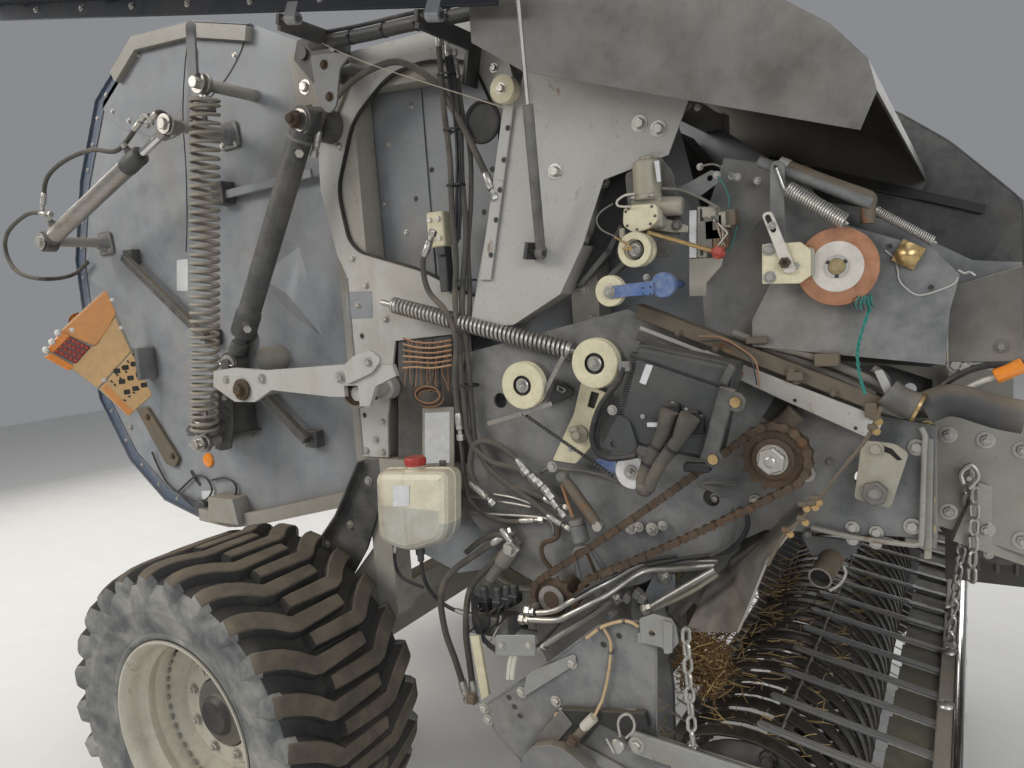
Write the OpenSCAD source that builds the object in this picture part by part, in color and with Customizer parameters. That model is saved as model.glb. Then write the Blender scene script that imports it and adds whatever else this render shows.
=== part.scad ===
// Round baler with a variable belt chamber, towed. All sizes in millimetres.
// Drawn about the axle: x = 0 over the axle and forward, y to the left, z = 0 on the ground.
// Every piece is then moved so that the centre of the towing eye is the origin.

/* [Overall] */
// Distance from the axle forward to the centre of the towing eye
hitch_x = 3550; // [3300:10:3800]
// Height of the towing eye over the ground
hitch_z = 620; // [500:10:760]
// Half of the inner width of the bale chamber
half_w = 600; // [560:5:620]
// Thickness of the side sheets
sheet_t = 6; // [3:1:10]

/* [Wheels] */
// Outer radius of the tyres
tyre_r = 540; // [480:5:560]
// Width of the tyres
tyre_w = 550; // [400:10:560]
// Distance of the wheel centre from the middle of the machine
track_half = 1025; // [1000:5:1060]
// Radius of the rim flange
rim_r = 302; // [280:2:320]
// Radius of the axle stub
stub_r = 40; // [30:1:50]

/* [Tailgate] */
// Forward position of the tailgate hinge
gate_x = 200; // [150:5:240]
// Height of the tailgate hinge
gate_z = 2620; // [2580:5:2660]
// Radius of the hinge pins of the tailgate and of its rams
pin_r = 20; // [15:1:25]
// Distance of the rams and springs from the middle
ram_y = 820; // [800:5:830]
// Radius of the ram barrels
barrel_r = 37; // [30:1:45]
// Radius of the ram rods
rod_r = 22; // [16:1:26]

/* [Covers] */
// Forward position of the first cover hinge
cov_x = 450; // [400:10:500]
// Height of the first cover hinge
cov_z = 2590; // [2560:5:2620]
// Distance of the cover hinge from the middle
cov_y = 985; // [975:5:1000]
// Slope of the cover hinge line, downwards to the front
cov_slope = 12.3; // [10:0.1:14]
// Angle by which the right cover stands raised
cov_raised = 105; // [90:1:110]

/* [Pickup] */
// Forward position of the pickup reel
reel_x = 1600; // [1590:5:1620]
// Height of the pickup reel with the pickup lifted
reel_z = 545; // [535:5:550]
// Radius of the tine tips
tine_r = 275; // [260:1:278]
// Outer radius of the wrapper strips
wrap_r = 228; // [215:1:235]
// Number of gaps for tines across the pickup
tine_rows = 28; // [8:1:30]

/* [Front] */
// Height of the drive shaft in front of the gearbox
pto_z = 1000; // [960:5:1040]
// Bore radius of the towing eye
eye_r = 25; // [20:1:30]
// Bore radius of the drive shaft's front yoke
spline_r = 17.5; // [17:0.5:22]
// Forward position of the jack
jack_x = 2900; // [2700:10:3000]
// Radius of the jack leg
leg_r = 30; // [25:1:35]

/* [Hidden] */
$fn = 48;
play = 0.05;
steel = [0.62, 0.64, 0.67];
dark = [0.25, 0.26, 0.28];
cream = [0.80, 0.78, 0.70];
black = [0.08, 0.08, 0.09];
rust = [0.45, 0.30, 0.18];
// outline points are [x, z]
gate_pts = [[308,1130],[308,2520],[250,2590],[230,2650],[160,2672],[-100,2800],[-400,2880],[-740,2905],[-1045,2717],[-1223,2417],[-1335,2087],[-1332,1778],[-1287,1463],[-1119,1198],[-905,1034],[-655,969],[-473,957],[-300,985]];
front_pts = [[316,1000],[316,2540],[700,2560],[1100,2480],[1400,2240],[1490,1850],[1440,1420],[1250,1240],[1000,1140],[840,960],[600,900]];
window_pts = [[318,2169],[345,2009],[386,1967],[629,1891],[830,1789],[882,1914],[927,2062],[936,2278],[862,2453],[691,2488],[559,2473],[407,2369]];
post_pts = [[244,2180],[262,2500],[320,2575],[900,2560],[965,2480],[1010,2290],[985,2060],[900,1800],[835,1700],[500,1680],[440,1430],[430,1302],[322,1302],[322,1900],[290,1965]];
drive_pts = [[762,1150],[800,1640],[1303,1740],[1888,1474],[1992,1455],[1985,1206],[1627,1190],[1300,1010],[1079,930],[900,1000]];
panel_pts = [[839,1718],[940,2060],[1066,2367],[1497,2223],[1440,2100],[1270,2065],[1202,1908],[1130,1790],[980,1715]];
net_pts = [[1626,1701],[1680,1799],[1687,2039],[1739,2021],[1797,1907],[1994,1826],[2038,1772],[2020,1703],[2011,1591],[1625,1640]];
netbox_pts = [[1500,1640],[1560,1580],[2146,1590],[2145,1789],[2060,1800],[1900,1900],[1797,1930],[1700,2040],[1560,2080],[1490,1900]];
shield_pts = [[1230,2560],[1450,2560],[1707,2478],[1814,2412],[1985,2276],[2149,2102],[2225,2019],[2235,1500],[1960,1380],[1230,1540]];
skirt_pts = [[1000,2640],[1300,2555],[1500,2475],[1700,2370],[1823,2275],[1890,2195],[1904,2134],[1873,2065],[1142,2322],[1000,2420]];
hood_path = [[1000,2640],[1300,2555],[1500,2475],[1700,2370],[1823,2275],[1890,2195],[1904,2134]];
cover_pts = [[-1150,2930],[1150,2430],[1330,2250],[1390,1900],[1360,1450],[1200,1220],[-700,1220],[-1050,1380],[-1250,1750],[-1290,2250],[-1220,2700]];
tank_pts = [[530,1306],[798,1321],[779,1116],[628,1061],[516,1089]];
box_pts = [[1390,1659],[1610,1608],[1557,1392],[1320,1432]];
pick_pts = [[940,716],[1178,901],[1292,998],[1395,1027],[1436,1014],[1424,750],[1662,732],[1820,712],[1885,660],[1905,590],[1880,490],[1800,400],[1680,345],[1545,244],[1452,246],[1330,372],[1262,392],[1067,571],[972,653]];
arm_pts = [[1250,960],[1330,960],[1350,700],[1346,470],[1336,400],[1300,380],[1262,400],[1254,470],[1240,900]];
feed_pts = [[870,990],[1100,1125],[1250,1130],[1300,1000],[1290,820],[1270,640],[1230,505],[1080,500],[930,560],[870,700]];
latch_pts = [[-160,1560],[-60,1508],[36,1508],[120,1548],[380,1528],[436,1528],[436,1562],[492,1562],[492,1500],[530,1500],[560,1560],[640,1590],[630,1622],[500,1628],[100,1612],[-50,1622],[-150,1612]];
belt_gate = [[180,2560],[-80,2700],[-420,2775],[-700,2760],[-960,2610],[-1120,2370],[-1215,2060],[-1215,1780],[-1170,1500],[-1030,1270],[-850,1130],[-620,1070],[-420,1065],[-150,1110],[180,1200]];
belt_front = [[500,2400],[575,2200],[620,1900],[600,1550],[520,1300]];
belt_return = [[480,2505],[1090,2370],[1290,2090],[1330,1800],[1270,1480],[1060,1340],[880,1290]];
belt_y = [-452, -226, 0, 226, 452];
// [x, z, radius] of the rollers across the chamber
gate_rollers = [[100,2500,45],[-690,2690,50],[-1130,2090,50],[-1090,1500,50],[-640,1150,45],[120,1240,50]];
front_rollers = [[450,2380,35],[1070,2310,40],[1240,1820,50],[990,1225,80],[760,1060,90],[480,1030,60]];
// [x, z, radius] of the tension pulleys on the right
pulleys = [[1060,1562,62],[1268,1616,62]];
// [x, z, radius] of the chain sprockets on the right
sprockets = [[1680,1395,78],[1095,985,60]];
ram_top = [316, 2365];
ram_low = [-125, 1630];
latch_at = [-12, 1550];
latch_pin = [464, 1534];
spring_top = [-120, 2560];
spring_low = [-330, 1345];
tens_a = [-1110, 2140];
tens_b = [-270, 2450];
pick_at = [1290, 930];
guard_at = [1480, 690];
// rear end of the straight fingers' front edge and their slope
guard_end = [1985, 732];
guard_slope = 11.15;
net_at = [1815, 1807];
rotor_at = [1150, 720];
gauge_at = [1650, 300];
strut_low = [1100, 820, 1900];
strut_s = 782.0;
strut_d = 120;
strut_o = 40;
beam_a = [2030, 535, 1222];
beam_b = [3380, 55, 655];

// the unit normal of a path at point i
function seg(p, i) = let (v = p[i + 1] - p[i]) [-v[1], v[0]] / norm(v);
function nrm(p, i) = let (a = seg(p, max(i - 1, 0)), b = seg(p, min(i, len(p) - 2)), s = a + b) 2 * s / (norm(s) * norm(s));
// a band of thickness t along a path
function strip(p, t) = concat(p, [for (i = [len(p) - 1 : -1 : 0]) p[i] + t * nrm(p, i)]);
// points in the slanted frame of the cover hinge
function in_cover(p) = [(p[0] - cov_x) * cos(cov_slope) - (p[1] - cov_z) * sin(cov_slope), (p[0] - cov_x) * sin(cov_slope) + (p[1] - cov_z) * cos(cov_slope)];

module base() translate([-hitch_x, 0, -hitch_z]) children();
module both() { children(); mirror([0, 1, 0]) children(); }
// a sheet in the upright plane from y0 to y0 + t
module plate(p, y0, t) translate([0, y0 + t, 0]) rotate([90, 0, 0]) linear_extrude(t) polygon(p);
// a round bar across the machine
module cross(x, z, r, y0, y1) translate([x, y0, z]) rotate([-90, 0, 0]) cylinder(h = y1 - y0, r = r);
// a round bar between two points
module bar(a, b, r) {
  v = b - a;
  translate(a) rotate([0, acos(v[2] / norm(v)), atan2(v[1], v[0])]) cylinder(h = norm(v), r = r);
}
// a square beam between two points, h high and w wide
module beam(a, b, h, w) {
  v = b - a;
  translate(a) rotate([0, acos(v[2] / norm(v)), atan2(v[1], v[0])]) translate([-h / 2, -w / 2, 0]) cube([h, w, norm(v)]);
}
module block(x0, x1, y0, y1, z0, z1) translate([x0, y0, z0]) cube([x1 - x0, y1 - y0, z1 - z0]);
// the hinge frame of a cover: x along the hinge, z up across it
module at_cover() translate([cov_x, cov_y, cov_z]) rotate([0, cov_slope, 0]) children();

module chassis_frame() color(steel) base() {
  block(-60, 60, -700, 700, 480, 600);
  both() {
    cross(0, 540, stub_r, 690, 1150);
    plate([[-50,520],[50,520],[340,800],[340,1010],[-50,590]], 620, 70);
    block(322, 406, 612, 700, 760, 2540);
    beam([400, 656, 2500], [1160, 656, 2440], 76, 72);
    block(1120, 1200, 616, 698, 1240, 2470);
    block(1130, 1190, 690, 780, 2100, 2160);
    block(400, 1966, 640, 720, 1200, 1300);
    block(1930, 1990, 646, 740, 1180, 1470);
    beam([1160, 678, 1700], [1960, 678, 1400], 66, 60);
    block(1400, 1440, 650, 740, 1222, 1290);
  }
  cross(364, 2500, 36, -620, 620);
  block(330, 400, -640, 640, 780, 850);
  block(1936, 1984, -660, 660, 1206, 1294);
  block(1126, 1194, -660, 660, 2400, 2460);
}

module hinge_brackets() color(dark) base() both() {
  // tailgate hinge
  plate([[322,2400],[322,2600],[240,2672],[175,2665],[155,2610],[215,2540]], 660, 20);
  cross(gate_x, gate_z, pin_r, 611, 690);
  // upper eyes of the rams
  cross(ram_top[0], ram_top[1], 52, 709, 774);
  cross(ram_top[0], ram_top[1], pin_r, 770, 858);
  // hangers of the pickup
  plate([[1220,1200],[1360,1200],[1335,900],[1250,890]], 640, 22);
  cross(pick_at[0], pick_at[1], pin_r, 650, 700);
  // axle plates against the posts
  difference() {
    plate([[-60,480],[60,480],[150,780],[300,980],[400,1180],[400,1290],[322,1290],[200,1100],[60,950],[-60,640]], 701, 12);
    cross(0, 540, stub_r + 1, 690, 720);
  }
}

module cover_hinges() color(dark) base() both() {
  for (s = [0, 480]) at_cover() {
    translate([s - 34, 708 - cov_y, -30]) cube([12, 990 - 708, 44]);
    translate([s - 34, 708 - cov_y, -120]) cube([12, 60, 134]);
    translate([s - 34, -20, -16]) cube([12, 32, 28]);
    translate([s - 30, 0, 0]) rotate([0, 90, 0]) cylinder(h = 74, r = 8);
  }
  for (x = [1000]) {
    plate([[960,2660],[1010,2675],[1040,2640],[1190,2460],[1126,2460],[1060,2520],[960,2600]], 480, 14);
    cross(1000, 2640, 10, 450, 490);
  }
}

module chamber_sides() color(steel) base() both() difference() {
  plate(front_pts, half_w, sheet_t);
  // the cross tubes of the frame pass through
  cross(364, 2500, 37, 590, 620);
  block(1124, 1196, 590, 620, 2398, 2500);
}

module window_frames() color(steel) base() both() {
  difference() {
    plate(post_pts, 700, 8);
    plate(window_pts, 690, 30);
  }
  cross(latch_pin[0], latch_pin[1], 38, 704, 740);
  cross(latch_pin[0], latch_pin[1], 22, 730, 866);
}

module front_panels() color(steel) base() both() {
  plate(panel_pts, 780, 4);
  plate(strip([[1066,2367],[1497,2223]], 4), 709, 75);
  plate(strip([[839,1718],[980,1715],[1130,1790],[1202,1908]], 4), 709, 75);
}

module drive_plates() color(dark) base() both() difference() {
  plate(drive_pts, 740, 10);
  for (p = [[900,1500],[1500,1260],[1850,1330]]) cross(p[0], p[1], 22, 735, 755);
}

module net_box() color(steel) base() {
  both() difference() {
    plate(netbox_pts, 735, 5);
    cross(net_at[0], net_at[1], 40, 730, 745);
  }
  plate(strip([[1520,1900],[1560,1600],[1800,1584],[2142,1594],[2141,1786]], 4), -735, 1470);
}

module net_bracket() color(steel) base() mirror([0, 1, 0]) {
  difference() {
    plate(net_pts, 792, 8);
    cross(net_at[0], net_at[1], 15 + play, 780, 810);
  }
  for (p = [[1660,1690],[1980,1640],[1715,2000]]) cross(p[0], p[1], 14, 740, 792);
  difference() {
    cross(net_at[0], net_at[1], 34, 740, 792);
    cross(net_at[0], net_at[1], 15 + play, 735, 800);
  }
  bar([1655, 812, 2050], [1880, 812, 1930], 12);
}

module net_disc() color([0.75, 0.45, 0.30]) base() mirror([0, 1, 0]) {
  cross(net_at[0], net_at[1], 82, 835, 841);
  cross(net_at[0], net_at[1], 30, 806, 850);
  cross(net_at[0], net_at[1], 15, 600, 862);
}

module net_actuator() color(steel) base() mirror([0, 1, 0]) {
  plate([[1290,2100],[1470,2140],[1450,1840],[1320,1840]], 784, 6);
  block(1345, 1425, 790, 850, 1900, 1960);
  bar([1386, 822, 1955], [1408, 822, 2110], 34);
  cross(1364, 1880, 46, 850, 876);
}

module drive_sprockets() color(rust) base() {
  for (p = sprockets) mirror([0, 1, 0]) {
    cross(p[0], p[1], p[2], 858, 870);
    cross(p[0], p[1], 26, 750, 905);
  }
}

module tension_pulleys() color(cream) base() mirror([0, 1, 0]) for (p = pulleys) {
  cross(p[0], p[1], p[2], 868, 896);
  cross(p[0], p[1], 14, 750, 904);
}

module control_box() color(black) base() mirror([0, 1, 0]) {
  plate(box_pts, 815, 110);
  for (p = [[1400,1600],[1530,1450]]) cross(p[0], p[1], 14, 750, 815);
}

module oil_tank() color(cream) base() mirror([0, 1, 0]) {
  plate(tank_pts, 805, 96);
  translate([655, 852, 1300]) cylinder(h = 44, r = 26);
  block(570, 740, 720, 812, 1206, 1226);
}

module valve_block() color(cream) base() mirror([0, 1, 0]) {
  block(700, 760, 708, 766, 1950, 2050);
  block(715, 745, 708, 730, 1820, 1960);
}

module gearbox() color(dark) base() {
  block(1990, 2280, -150, 150, 900, 1260);
  translate([2270, 0, pto_z]) rotate([0, 90, 0]) cylinder(h = 60, r = 78);
  cross(2120, 1120, 50, -400, -140);
  cross(2120, 1120, 72, -416, -392);
}

module drawbar() color(steel) base() {
  both() {
    beam(beam_a, beam_b, 150, 90);
    plate([[1984,1180],[2180,1120],[2180,1400],[1984,1460]], 549, 10);
  }
  block(3290, 3440, -95, 95, 580, 735);
  block(2500, 2600, -385, 385, 862, 932);
  block(3330, 3350, -60, 60, 730, 900);
  difference() {
    block(3325, 3355, -75, 75, 890, 985);
    translate([3300, 0, pto_z]) rotate([0, 90, 0]) cylinder(h = 90, r = 57);
  }
  // bracket of the jack
  block(2860, 2940, 225, 290, 800, 900);
}

module hitch_eye() color(dark) base() {
  difference() {
    translate([hitch_x, 0, hitch_z - 20]) cylinder(h = 40, r = 62);
    translate([hitch_x, 0, hitch_z - 30]) cylinder(h = 60, r = eye_r);
  }
  difference() {
    block(3440, 3510, -45, 45, 598, 642);
    translate([hitch_x, 0, hitch_z - 30]) cylinder(h = 60, r = 61);
  }
}

module jack_tube() color(steel) base() difference() {
  union() {
    translate([jack_x, 330, 330]) cylinder(h = 900, r = 38);
    block(2880, 2920, 290, 340, 820, 880);
  }
  translate([jack_x, 330, 300]) cylinder(h = 915, r = leg_r + play);
}

module jack_leg() color(steel) base() {
  translate([jack_x, 330, 10]) cylinder(h = 870, r = leg_r);
  translate([jack_x, 330, 0]) cylinder(h = 14, r = 115);
}

module pto_guard() color(black) base() difference() {
  translate([2400, 0, pto_z]) rotate([0, 90, 0]) cylinder(h = 980, r = 55);
  translate([2390, 0, pto_z]) rotate([0, 90, 0]) cylinder(h = 1000, r = 38);
}

module pto_shaft() color(steel) base() difference() {
  union() {
    translate([2336, 0, pto_z]) rotate([0, 90, 0]) cylinder(h = 1100, r = 30);
    translate([2336, 0, pto_z]) rotate([0, 90, 0]) cylinder(h = 56, r = 50);
    translate([3388, 0, pto_z]) rotate([0, 90, 0]) cylinder(h = 90, r = 50);
  }
  translate([3408, 0, pto_z]) rotate([0, 90, 0]) cylinder(h = 100, r = spline_r);
}

module shield_left() color(dark) base() {
  plate(shield_pts, 935, 5);
  for (p = [[1500,1570],[1900,1400]]) block(p[0], p[0] + 40, 750, 936, p[1], p[1] + 40);
}

module front_rollers_m() color(dark) base() for (p = front_rollers) {
  cross(p[0], p[1], p[2], -580, 580);
  cross(p[0], p[1], 20, -600, 600);
}

module front_belts() color(black) base() for (y = belt_y) {
  plate(strip(belt_front, 6), y - 103, 206);
  plate(strip(belt_return, 6), y - 103, 206);
}

module feeder_housing() color(dark) base() {
  both() difference() {
    plate(feed_pts, 572, 8);
    cross(rotor_at[0], rotor_at[1], 40, 560, 590);
  }
  plate(strip([for (a = [205 : 10 : 285]) [rotor_at[0] + 205 * cos(a), rotor_at[1] + 205 * sin(a)]], -6), -572, 1144);
  both() block(1150, 1210, 576, 660, 1060, 1200);
}

module feed_rotor() color(steel) base() {
  cross(rotor_at[0], rotor_at[1], 40 - play, -600, 600);
  cross(rotor_at[0], rotor_at[1], 75, -560, 560);
  for (i = [0 : 11]) translate([rotor_at[0], -540 + i * 96, rotor_at[1]]) rotate([0, i * 30, 0])
    for (k = [0, 120, 240]) rotate([0, k, 0]) translate([0, 0, 0]) rotate([-90, 0, 0]) linear_extrude(10)
      polygon([[-60,0],[60,0],[62,90],[20,149],[0,149],[-14,90]]);
}

module tailgate_sides() color([0.70, 0.74, 0.79]) base() both() plate(gate_pts, half_w, sheet_t);

module tailgate_frame() color(steel) base() {
  both() {
    block(240, 300, 606, 652, 1180, 2460);
    difference() {
      plate([[120,2470],[245,2470],[252,2620],[232,2662],[180,2668],[100,2640]], 606, 44);
      cross(gate_x, gate_z, pin_r + play, 590, 660);
    }
    cross(ram_low[0], ram_low[1], 45, 606, 786);
    cross(latch_at[0], latch_at[1], 34, 606, 862);
    cross(latch_at[0], latch_at[1], 18, 850, 900);
    cross(spring_top[0], spring_top[1], 20, 606, 846);
    cross(spring_low[0], spring_low[1], 20, 606, 846);
    cross(tens_a[0], tens_a[1], 20, 606, 880);
    cross(tens_b[0], tens_b[1], 20, 606, 880);
    plate(strip([[-655,975],[-473,963],[-300,991],[240,1118]], 50), 606, 40);
    plate(strip([[-900,2795],[-740,2895],[-400,2870],[-100,2790]], -50), 606, 30);
    plate([[-560,990],[-380,990],[-400,1090],[-540,1090]], 606, 70);
  }
  for (p = [[-800,2830],[-1285,1950],[-900,1085],[-330,1030]]) cross(p[0], p[1], 32, -half_w, half_w);
}

module tailgate_rollers() color(dark) base() for (p = gate_rollers) {
  cross(p[0], p[1], p[2], -580, 580);
  cross(p[0], p[1], 20, -600, 600);
}

module tailgate_belts() color(black) base() for (y = belt_y) plate(strip(belt_gate, -6), y - 103, 206);

module tension_springs() color(rust) base() both() difference() {
  bar([spring_top[0], ram_y, spring_top[1]], [spring_low[0], ram_y, spring_low[1]], 52);
  cross(spring_top[0], spring_top[1], 20 + play, 700, 900);
  cross(spring_low[0], spring_low[1], 20 + play, 700, 900);
}

module tension_cylinders() color(steel) base() both() difference() {
  union() {
    bar([tens_a[0] + 26, 850, tens_a[1] + 10], [tens_b[0] - 180, 850, tens_b[1] - 66], 32);
    bar([tens_b[0] - 220, 850, tens_b[1] - 81], [tens_b[0] - 24, 850, tens_b[1] - 9], 16);
    cross(tens_b[0], tens_b[1], 34, 828, 872);
    cross(tens_a[0], tens_a[1], 42, 824, 876);
  }
  cross(tens_b[0], tens_b[1], 20, 800, 900);
  cross(tens_a[0], tens_a[1], 20, 800, 900);
}

module light_boards() color([0.85, 0.5, 0.25]) base() both() {
  // a slanted board beside the tailgate, points as [outwards, z]
  translate([-880, 640, 0]) rotate([0, 0, 118.7]) rotate([90, 0, 0]) linear_extrude(18)
    polygon([[125,1933],[297,1782],[353,1705],[264,1616],[192,1539],[93,1415],[-2,1486],[51,1688],[89,1838]]);
  block(-930, -872, 606, 690, 1560, 1690);
}

module latch_arms() color(cream) base() both() difference() {
  plate(latch_pts, 872, 16);
  cross(latch_at[0], latch_at[1], 18 + play, 860, 895);
}

// along a ram from its upper pivot: unit vector and rest length
ram_v = (ram_low - ram_top) / norm(ram_low - ram_top);
ram_l = norm(ram_low - ram_top);
function on_ram(s) = [ram_top[0] + ram_v[0] * s, ram_y, ram_top[1] + ram_v[1] * s];

module ram_barrels() color(steel) base() both() difference() {
  union() {
    cross(ram_top[0], ram_top[1], 45, ram_y - 22, ram_y + 22);
    bar(on_ram(30), on_ram(740), barrel_r);
  }
  cross(ram_top[0], ram_top[1], pin_r + play, ram_y - 50, ram_y + 50);
  bar(on_ram(90), on_ram(760), rod_r + play);
}

module ram_rods() color([0.8, 0.8, 0.82]) base() both() {
  bar(on_ram(380), on_ram(ram_l - 30), rod_r);
  cross(ram_low[0], ram_low[1], 42, ram_y - 26, ram_y + 26);
  cross(ram_low[0], ram_low[1], pin_r, ram_y, ram_y + 40);
}

// a side cover about its hinge, turned up by the angle
module side_cover(turn) at_cover() rotate([turn, 0, 0]) {
  plate([for (p = cover_pts) in_cover(p)], 75, 4);
  difference() {
    union() {
      translate([-1600, 16, -14]) cube([2280, 60, 8]);
      translate([-1600, 70, -40]) cube([2280, 8, 34]);
      for (s = [0, 480]) {
        translate([s, 0, 0]) rotate([0, 90, 0]) cylinder(h = 40, r = 16);
        translate([s, 0, -16]) cube([40, 40, 14]);
      }
      translate([strut_s - 30, 20, -strut_d - 20]) cube([12, 56, 40]);
    }
    for (s = [0, 480]) translate([s - 5, 0, 0]) rotate([0, 90, 0]) cylinder(h = 60, r = 8 + play);
  }
  translate([strut_s - 20, strut_o, -strut_d]) rotate([0, 90, 0]) cylinder(h = 7, r = 6);
}

module cover_right() color([0.70, 0.74, 0.79]) base() mirror([0, 1, 0]) side_cover(cov_raised);
module cover_left() color([0.70, 0.74, 0.79]) base() side_cover(0);

// strut in the slanted frame of the cover: lower eye and the upper eye at a cover angle
strut_a = [let (q = in_cover([strut_low[0], strut_low[2]])) q[1]][0];
function strut_up(t) = [strut_o * cos(t) + strut_d * sin(t), strut_o * sin(t) - strut_d * cos(t)];
function strut_dir(t) = let (v = strut_up(t) - [strut_low[1] - cov_y, strut_a]) v / norm(v);
function strut_len(t) = norm(strut_up(t) - [strut_low[1] - cov_y, strut_a]);
function on_strut(t, s) = [strut_s, strut_low[1] - cov_y + strut_dir(t)[0] * s, strut_a + strut_dir(t)[1] * s];

module strut_tube(t) at_cover() difference() {
  union() {
    translate([strut_s - 9, strut_low[1] - cov_y, strut_a]) rotate([0, 90, 0]) cylinder(h = 18, r = 17);
    bar(on_strut(t, 10), on_strut(t, 372), 13);
  }
  bar(on_strut(t, 20), on_strut(t, 400), 5 + play);
  translate([strut_s - 30, strut_low[1] - cov_y, strut_a]) rotate([0, 90, 0]) cylinder(h = 60, r = 6 + play);
}
module strut_rod(t) at_cover() {
  bar(on_strut(t, strut_len(t) - 420), on_strut(t, strut_len(t) - 9), 5);
  translate([strut_s - 8, 0, 0] + [0, strut_up(t)[0], strut_up(t)[1]]) rotate([0, 90, 0]) cylinder(h = 16, r = 13);
  translate([strut_s, 0, 0] + [0, strut_up(t)[0], strut_up(t)[1]]) rotate([0, 90, 0]) cylinder(h = 14, r = 6);
}
module strut_tube_right() color(dark) base() mirror([0, 1, 0]) strut_tube(cov_raised);
module strut_rod_right() color(steel) base() mirror([0, 1, 0]) strut_rod(cov_raised);
module strut_tube_left() color(dark) base() strut_tube(0);
module strut_rod_left() color(steel) base() strut_rod(0);
module strut_mounts() color(dark) base() both() at_cover() {
  translate([strut_s - 40, 784 - cov_y, strut_a - 22]) cube([10, 56, 44]);
  translate([strut_s - 36, strut_low[1] - cov_y, strut_a]) rotate([0, 90, 0]) cylinder(h = 50, r = 6);
}

module hood() color([0.45, 0.47, 0.49]) base() {
  difference() {
    plate(strip(hood_path, -5), -924, 1848);
    // slots round the hinge plates
    both() {
      block(980, 1075, 466, 508, 2580, 2680);
      cross(1000, 2640, 11, 440, 510);
    }
  }
  both() {
    plate(skirt_pts, 919, 5);
    difference() {
      plate([[975,2636],[985,2662],[1015,2662],[1060,2640],[1040,2600],[1000,2612],[980,2618]], 450, 14);
      cross(1000, 2640, 10 + play, 440, 470);
    }
  }
}

// a wheel about its own centre, turning about y; outer side towards +y
module tyre() rotate([-90, 0, 0]) rotate_extrude() polygon([[285,-232],[300,-236],[330,-258],[400,-tyre_w / 2],[450,-tyre_w / 2],[500,-258],[530,-236],[tyre_r,-200],[tyre_r,200],[530,236],[500,258],[450,tyre_w / 2],[400,tyre_w / 2],[330,258],[300,236],[285,232]]);
module rim() rotate([-90, 0, 0]) rotate_extrude() polygon([[stub_r + play,-150],[78,-150],[78,60],[262,60],[262,-212],[280,-244],[rim_r,-250],[rim_r,-240],[285,-236],[285,236],[rim_r,240],[rim_r,250],[280,244],[262,212],[262,74],[110,74],[80,95],[stub_r + play,95]]);
module tyre_right() color(black) base() translate([0, -track_half, 540]) mirror([0, 1, 0]) tyre();
module rim_right() color(cream) base() translate([0, -track_half, 540]) mirror([0, 1, 0]) rim();
module tyre_left() color(black) base() translate([0, track_half, 540]) tyre();
module rim_left() color(cream) base() translate([0, track_half, 540]) rim();

module pickup_frame() color(dark) base() {
  both() {
    plate(pick_pts, 1000, 8);
    difference() {
      plate(arm_pts, 668, 20);
      cross(pick_at[0], pick_at[1], pin_r + play, 660, 700);
    }
    cross(guard_at[0], guard_at[1], 14, 974, 1002);
    // arm and stub of the gauge wheel
    block(1440, 1660, 1008, 1030, 384, 424);
    block(1612, 1690, 1008, 1030, 262, 430);
    cross(gauge_at[0], gauge_at[1], 16, 1020, 1190);
  }
  cross(1300, 425, 34, -1004, 1004);
}

module pickup_wrappers() color(dark) base() {
  pitch = 1960 / (tine_rows + 1);
  band = [for (a = [-110 : 10 : 120]) wrap_r * [cos(a), sin(a)]];
  back = [for (a = [120 : -10 : -110]) (wrap_r - 4) * [cos(a), sin(a)]];
  for (i = [0 : tine_rows]) translate([reel_x, -980 + pitch * (i + 1) - 11, reel_z]) rotate([90, 0, 0]) linear_extrude(pitch - 22) {
    polygon(concat(band, back));
    polygon([(wrap_r - 3) * [cos(-110), sin(-110)], (tine_r + 23) * [cos(-110), sin(-110)], (tine_r + 23) * [cos(-109), sin(-109)], (wrap_r - 3) * [cos(-108.6), sin(-108.6)]]);
  }
  // angle under the reel that carries the bands
  block(reel_x - 117, reel_x - 87, -999.8, 999.8, reel_z - tine_r - 13, reel_z - tine_r + 5);
}

module pickup_reel() color(steel) base() {
  pitch = 1960 / (tine_rows + 1);
  cross(reel_x, reel_z, 30, -940, 940);
  for (y = [-900, -10, 880]) cross(reel_x, reel_z, 175, y, y + 8);
  for (k = [0 : 90 : 270]) translate([reel_x, 0, reel_z]) rotate([0, k + 20, 0]) {
    cross(0, 160, 14, -930, 930);
    for (i = [1 : tine_rows]) translate([0, -980 + pitch * i, 158]) cylinder(h = tine_r - 158, r = 4);
  }
}

module wind_guard() color(steel) base() {
  pitch = 1960 / (tine_rows + 1);
  // one straight finger over every second wrapper strip
  for (i = [0 : 2 : tine_rows]) translate([guard_end[0], -980 + pitch * (i + 0.5), guard_end[1]]) rotate([0, guard_slope, 0]) linear_extrude(8) {
    translate([-339, 0]) circle(13);
    translate([-339, -13]) square([345, 26]);
  }
  // plate under the fingers' front ends, cross channel and rod
  translate([guard_end[0], 0, guard_end[1]]) rotate([0, guard_slope, 0]) translate([-94, -962, -5]) cube([100, 1924, 6]);
  block(1984, 2022, -978, 978, 714, 748);
  cross(2030, 738, 14, -978, 978);
  both() difference() {
    plate([[1462,672],[1500,668],[1700,690],[1990,706],[1990,742],[1700,724],[1500,712],[1462,708]], 978, 10);
    cross(guard_at[0], guard_at[1], 14 + play, 960, 1000);
  }
}

module gauge_wheel(s) base() translate([gauge_at[0], s * 1120, gauge_at[1]]) rotate([-90, 0, 0]) difference() {
  rotate_extrude() polygon([[0,-45],[60,-45],[70,-30],[130,-30],[150,-55],[180,-52],[190,-30],[190,30],[180,52],[150,55],[130,30],[70,30],[60,45],[0,45]]);
  translate([0, 0, -60]) cylinder(h = 120, r = 16 + play);
}
module gauge_wheel_right() color(black) gauge_wheel(-1);
module gauge_wheel_left() color(black) gauge_wheel(1);

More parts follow.
